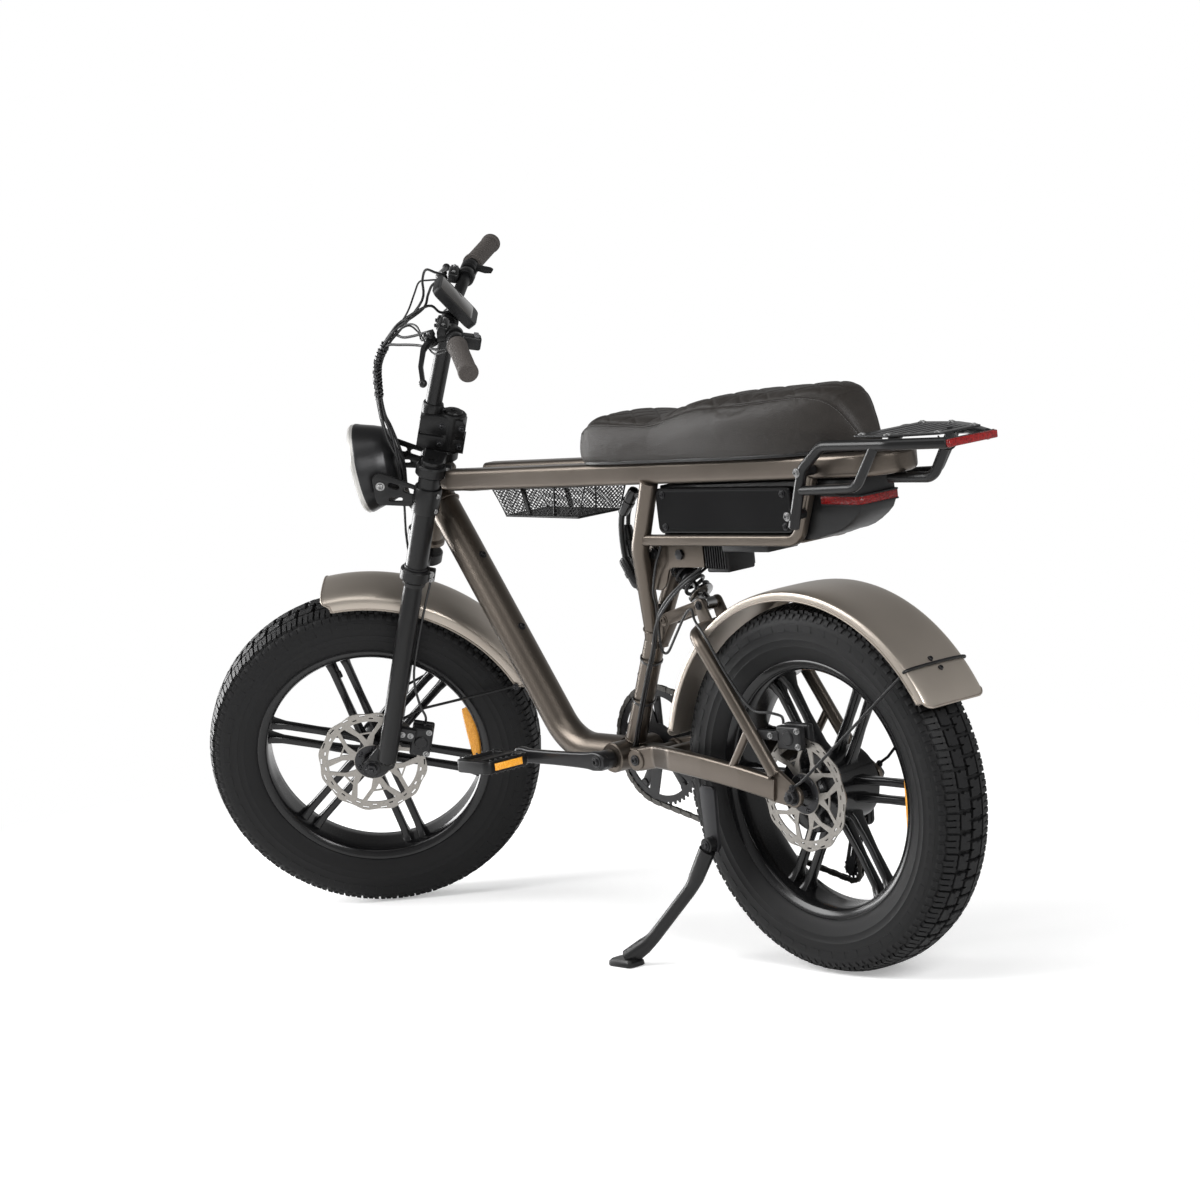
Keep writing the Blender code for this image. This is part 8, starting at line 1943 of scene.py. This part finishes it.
def wound(line, angles, reaches):
    """A line that stands off from another by a distance and an angle at each point."""
    made = []
    for i, (spot, angle, reach) in enumerate(zip(line, angles, reaches)):
        way = (line[min(i + 1, len(line) - 1)] - line[max(i - 1, 0)]).normalized()
        side = way.cross(Vector((0, 1, 0))).normalized()
        made.append(spot + (side * cos(angle) + way.cross(side) * sin(angle)) * reach)
    return made


def beside(line, across, twist, count):
    """A strand of the bundle: the shared line set off to its own place, turning slowly."""
    loose = [1.0 + 0.9 * (max(0, i - 17) / 7) ** 2 + 0.8 * (max(0, 5 - i) / 5) ** 2
        for i in range(len(line))]
    return wound(line, [2 * pi * twist / count + 0.07 * i for i in range(len(line))],
        [across * size for size in loose])


def length_of(line):
    return sum((b - a).length for a, b in zip(line, line[1:]))


def cable(name, route, width, body, *stands_for, frame_place=None, steps=5, joint=None, with_pieces=(),
        finish=None):
    """A cable swept along a smooth route; with a joint it hangs on no body and its mesh is fixed in place.
    The joint's body and points are not used.
    """
    line = flowing(route, steps)
    place = frame_place or steering
    obj = piece(name, swept(line, circle(width / 2, 12)), finish or sheath, None if joint else body,
        *stands_for, place=place)
    world_line = [place @ spot for spot in line]
    if joint:
        place @ Vector(joint[1])
        place @ Vector(joint[2])
        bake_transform(obj)
    length_of(world_line)
    return obj


fine = flowing(spine[7:18], 14)
WRAP_TURNS, WRAP_RADIUS = 15, 0.0078
wrap_angles = [2 * pi * WRAP_TURNS * i / (len(fine) - 1) for i in range(len(fine))]
wrap_path = wound(fine, wrap_angles, [WRAP_RADIUS] * len(fine))
wrap = piece("cable_wrap", swept(wrap_path, [(0.0026, 0.0006), (0.0026, -0.0006), (-0.0026, -0.0006),
    (-0.0026, 0.0006)], up=(1, 0.2, 0)), wrap_plastic, "steering")
entries = [[(0.019, 0.008, 0.864), (0.04, 0.014, 0.862), (0.062, 0.034, 0.878)],
    [(0.0455, 0.138, 0.874), (0.062, 0.128, 0.862), (0.078, 0.112, 0.848), (0.096, 0.096, 0.836)],
    [(0.044, -0.138, 0.876), (0.062, -0.122, 0.884), (0.078, -0.09, 0.898), (0.08, -0.03, 0.9),
    (0.074, 0.034, 0.886)], [(0.005, 0.1745, 0.868), (0.03, 0.158, 0.848), (0.066, 0.122, 0.836),
    (0.1, 0.098, 0.822)], [(0.006, -0.17, 0.872), (0.034, -0.14, 0.866), (0.06, -0.086, 0.876),
    (0.066, -0.016, 0.88), (0.07, 0.036, 0.872)]]
hose_band = sleeve(STANCHION + 0.0002, STANCHION + 0.0016, 0.393, 0.404, 48)
piece("hose_clip", joined((hose_band, at(LEG_LEAD, LEG_Y, 0)), (block((0.014, 0.011, 0.011), 0.002),
    at(0.0225, 0.072, 0.3985))), plastic, "steering")
skips = (2, 5, 3, 7, 3)
gland_end = [gland_tip + gland_way * 0.022, gland_tip + gland_way * 0.01, gland_tip - gland_way * 0.001]
for number, (name, entry) in enumerate(zip(("display_cable", "left_brake_cable", "right_brake_hose",
        "keypad_cable", "throttle_cable"), entries)):
    strand = beside(spine, 0.0042, number, 5)
    route = [Vector(spot) for spot in entry] + strand[skips[number]::3]
    if name == "right_brake_hose":
        route += [Vector(spot) for spot in ((0.07, 0.056, 0.572), (0.054, 0.056, 0.515),
            (0.042, 0.06, 0.455), (0.03, 0.068, 0.415), (0.022, 0.072, 0.3985))]
        cable(name, route, 0.0046, "steering")
        continue
    spread = Vector((0.0, 0.004 * cos(number * 1.9), 0.004 * sin(number * 1.9)))
    route += [Vector((0.066, 0.046, 0.578)) + spread * 2.4, Vector((0.052, 0.028, 0.518)) + spread * 2.0]
    route += [spot + to_frame @ spread for spot in gland_end]
    stands = ("cable_bundle",) if number == 0 else ()
    cable(name, route, 0.0048, "steering", *stands, joint=("frame", (0.1, 0.058, 0.65),
        tuple(gland_tip + gland_way * 0.004)), with_pieces=[wrap] if number == 0 else ())
front_hose = [(-0.016, 0.089, 0.3764), (-0.016, 0.089, 0.37), (-0.0135, 0.088, 0.33),
    (-0.0105, 0.088, 0.25), (-0.013, 0.088, 0.18), (-0.03, 0.088, 0.13), (-0.044, 0.0855, 0.106),
    (-0.0465, 0.076, 0.09), (-0.046, 0.072, 0.0835), (-0.046, 0.072, 0.0783)]
cable("front_brake_hose", front_hose, 0.0046, "steering", "front_hose",
    joint=("fork_lowers", (-0.016, 0.089, 0.372), (-0.0105, 0.088, 0.25)))
rear_hose = [(-0.278, 0.04, cradle_level(-0.278) - 0.0053), (-0.278, 0.04, cradle_level(-0.278) - 0.0153),
    (-0.268, 0.044, 0.676), (-0.255, 0.041, 0.648), (-0.244, 0.0365, 0.622), (-0.236, 0.0265, 0.603),
    (-0.2285, 0.0197, 0.575), (-0.2265, 0.0175, 0.552), (-0.2248, 0.015, 0.528), (-0.231, 0.016, 0.516),
    (-0.25, 0.0215, 0.519), (-0.285, 0.034, 0.548), (-0.322, 0.04, 0.588), (-0.348, 0.048, 0.6),
    (-0.388, 0.078, 0.587), (-0.424, 0.0905, 0.562), (-0.471, 0.0945, 0.502), (-0.52, 0.0945, 0.45),
    (-0.556, 0.088, 0.444), (-0.572, 0.079, 0.438), (-0.575, 0.077, 0.432), (-0.575, 0.077, 0.4245)]
cable("rear_brake_hose", rear_hose, 0.0046, "frame", "rear_hose", frame_place=bike,
    joint=("swingarm", (-0.23, 0, 0.545), (-0.3, 0, 0.5)))
for name, route in (("left_switch_wire", [(0.047, 0.136, 0.866), (0.062, 0.122, 0.846),
        (0.07, 0.104, 0.852), (0.088, 0.092, 0.858), (0.106, 0.084, 0.842), (0.118, 0.0815, 0.82)]),
        ("right_switch_wire", [(0.045, -0.136, 0.868), (0.072, -0.108, 0.872), (0.086, -0.06, 0.884),
        (0.09, 0.004, 0.884), (0.096, 0.05, 0.866), (0.112, 0.074, 0.834)]),
        ("key_wire", [(0.008, 0.174, 0.86), (0.036, 0.15, 0.836), (0.06, 0.13, 0.852),
        (0.076, 0.108, 0.866), (0.096, 0.09, 0.856), (0.117, 0.0795, 0.822)])):
    cable(name, route, 0.0034, "steering")
plug_black = coat("plug_shell", (0.01, 0.01, 0.0105), 0.24, 0.0)
trunk = [(-0.2925, 0.016, 0.776), (-0.272, 0.015, 0.782), (-0.232, 0.014, 0.788), (-0.188, 0.014, 0.783),
    (-0.161, 0.015, 0.752), (-0.156, 0.016, 0.706), (-0.164, 0.017, 0.662), (-0.186, 0.016, 0.626),
    (-0.207, 0.012, 0.602), (-0.22, 0.007, 0.586), (-0.22, 0.002, 0.57)]
plug_shape = turned([(0.0046, -0.03), (0.0088, -0.0275), (0.01, -0.0225), (0.01, -0.004),
    (0.0114, -0.0025), (0.0114, 0.005), (0.0098, 0.0062), (0.0098, 0.021), (0.0083, 0.026),
    (0.0046, 0.03)], 28)
trunk_plugs = [(plug_shape, between(Vector(trunk[at_point]), Vector(trunk[at_point + 1]))
    @ at(0, 0, 0.012)) for at_point in (3, 6)]
trunk_plug = piece("trunk_plugs", joined(*trunk_plugs), plug_black, "frame")
cable("trunk_cable", trunk, 0.0104, "frame", frame_place=bike, with_pieces=[trunk_plug])
second = [(x + 0.004, y - 0.019 + (0.01 if i > 7 else 0), z + 0.002 - 0.004 * i / 10)
    for i, (x, y, z) in enumerate(trunk[:-2])] + [(-0.218, -0.003, 0.586), (-0.213, -0.002, 0.57)]
trunk_plug_b = piece("trunk_plugs_b",
    joined((plug_shape, between(Vector(second[5]), Vector(second[6])) @ at(0, 0, 0.004))), plug_black,
    "frame")
cable("trunk_cable_b", second, 0.0078, "frame", frame_place=bike, with_pieces=[trunk_plug_b])
for number, shift in enumerate((0.0, 0.006)):
    harness = [(-0.364 + shift, 0.018 - shift * 6, 0.679), (-0.352, 0.0235, 0.664 - shift),
        (-0.334, 0.04 + shift * 0.5, 0.648 - shift), (-0.3, 0.048, 0.622 - shift),
        (-0.262, 0.044, 0.59 - shift), (-0.234, 0.03 + shift * 0.6, 0.556),
        (-0.214, 0.021 + shift * 0.8, 0.52), (-0.194, 0.02 + shift, 0.478), (-0.174, 0.02 + shift, 0.432),
        (-0.156, 0.0195 + shift, 0.39), (-0.138, 0.013 + shift, 0.36), (-0.13, 0.012 + shift, 0.344)]
    cable("harness_" + "ab"[number], harness, 0.0052, "frame", frame_place=bike)
ties = []
for height in (0.5, 0.428):
    share = (height - BRACKET.z) / (SEAT_HEAD.z - BRACKET.z)
    centre = BRACKET.lerp(SEAT_HEAD, share)
    line = []
    for i in range(40):
        a = 2 * pi * i / 40
        reach = 0.0192 + 0.0085 * max(0.0, cos(a - 2.2)) ** 4
        line.append(centre + Vector((-seat_way.z, 0, seat_way.x)) * (-reach * cos(a))
            + Vector((0, reach * sin(a), 0)))
    ties.append(swept(line, [(0.0008, 0.0018), (0.0008, -0.0018), (-0.0008, -0.0018), (-0.0008, 0.0018)],
        up=seat_way, closed=True))
piece("cable_ties", joined(*ties), wrap_plastic, "frame")

# Studio: a flat pale floor that turns plain white away from the bicycle, soft lamps above and beside the
# bicycle, and the camera where the photograph was taken from.
LENS, SENSOR = 118.26, 36.0
CAMERA_TURN, CAMERA_RISE, CAMERA_ROLL, CAMERA_AWAY = (229.4509, 7.9361, -6.1548, 6.8284)
scene = bpy.context.scene
scene.view_settings.view_transform = "Standard"
turn, rise, roll = map(radians, (CAMERA_TURN, CAMERA_RISE, CAMERA_ROLL))
back = Vector((sin(turn) * cos(rise), -cos(turn) * cos(rise), sin(rise)))
level_right = (-back).cross(Vector((0, 0, 1))).normalized()
level_up = level_right.cross(-back)
right = cos(roll) * level_right + sin(roll) * level_up
above = -sin(roll) * level_right + cos(roll) * level_up
CAMERA_AIM = Vector((-0.0617, 0, 0.5977))
eye = bike @ CAMERA_AIM + back * CAMERA_AWAY
camera = linked("camera", bpy.data.cameras.new("camera"))
camera.matrix_world = Matrix.Translation(eye) @ Matrix((right, above, back)).transposed().to_4x4()
camera.data.lens = LENS
camera.data.sensor_width = SENSOR
scene.camera = camera


def lamp(name, size, power, azimuth, height, away):
    """A square soft lamp that faces the bicycle."""
    light = bpy.data.lights.new(name, "AREA")
    light.shape = "SQUARE"
    light.size = size
    light.energy = power
    place = Vector((sin(radians(azimuth)) * away, -cos(radians(azimuth)) * away, height))
    linked(name, light).matrix_world = Matrix.Translation(place) @ (Vector((0, 0, 0.5))
        - place).to_track_quat("-Z", "Y").to_matrix().to_4x4()


lamp("lamp_over", 2.6, 40.0, 200.0, 4.2, 1.4)
lamp("lamp_rear", 1.8, 110.0, 262.0, 2.3, 3.6)
lamp("lamp_front", 2.3, 150.0, 142.0, 2.8, 3.3)
lamp("lamp_nose", 1.4, 75.0, 100.0, 0.75, 3.0)
world = bpy.data.worlds.new("studio")
world.use_nodes = True
scene.world = world
surround = Wire(world.node_tree)


def rays(wire):
    """The rays that see the white surround plainly, and those of a reflection."""
    path = wire.node("ShaderNodeLightPath")
    seen, shine, clear = (path.other(name) for name in ("Is Camera Ray", "Is Glossy Ray",
        "Is Transmission Ray"))
    return wire.math("MAXIMUM", seen, clear), shine


open_view, mirrored_view = rays(surround)
way = surround.node("ShaderNodeSeparateXYZ", {}, {0: surround.node("ShaderNodeTexCoord")}, output=2)
overhead = surround.node("ShaderNodeMapRange", {"interpolation_type": "SMOOTHSTEP"},
    {"Value": way, "From Min": 0.2, "From Max": 0.75})
dimmed = (0.42 + 0.12 * mirrored_view) * (1.0 - 0.8 * overhead)
sky = surround.node("ShaderNodeBackground", {}, {"Color": (1.0, 1.0, 1.0, 1.0), "Strength": open_view
    + (1.0 - open_view) * dimmed})
world.node_tree.links.new(sky.socket, world.node_tree.nodes["World Output"].inputs["Surface"])
floor_mesh = bpy.data.meshes.new("floor")
FLOOR_HALF = 9
floor_mesh.from_pydata([(x * FLOOR_HALF, y * FLOOR_HALF, 0)
    for x, y in ((-1, -1), (1, -1), (1, 1), (-1, 1))], [], [(0, 1, 2, 3)])
white = Finish("studio_floor", (0.9, 0.9, 0.9), 0.95)
white.put("Base Color", white.mixed(white.noise(2.0), (0.895, 0.895, 0.895), (0.905, 0.905, 0.905)))
reach = white.node("ShaderNodeVectorMath", {"operation": "LENGTH"}, {"Vector": white.place}, output=1)
far = white.node("ShaderNodeMapRange", {"interpolation_type": "SMOOTHSTEP"},
    {"Value": reach, "From Min": 0.9, "From Max": 2.2})
glow = white.node("ShaderNodeEmission", {}, {"Color": (1.0, 1.0, 1.0, 1.0), "Strength": 1.0})
lit = white.node("ShaderNodeAddShader", {}, {0: Wire(white.tree, white.shader.outputs[0]),
    1: white.node("ShaderNodeEmission", {}, {"Strength": 0.34})})
open_floor = white.node("ShaderNodeMixShader", {}, {0: far, 1: lit, 2: glow})
floor_view, floor_mirror = rays(white)
seen = white.node("ShaderNodeMixShader", {}, {0: white.math("MAXIMUM", floor_view, floor_mirror * 0.2),
    1: Wire(white.tree, white.shader.outputs[0]), 2: open_floor})
white.tree.links.new(seen.socket, white.tree.nodes["Material Output"].inputs["Surface"])
floor_mesh.materials.append(white.material)
floor = linked("floor", floor_mesh)
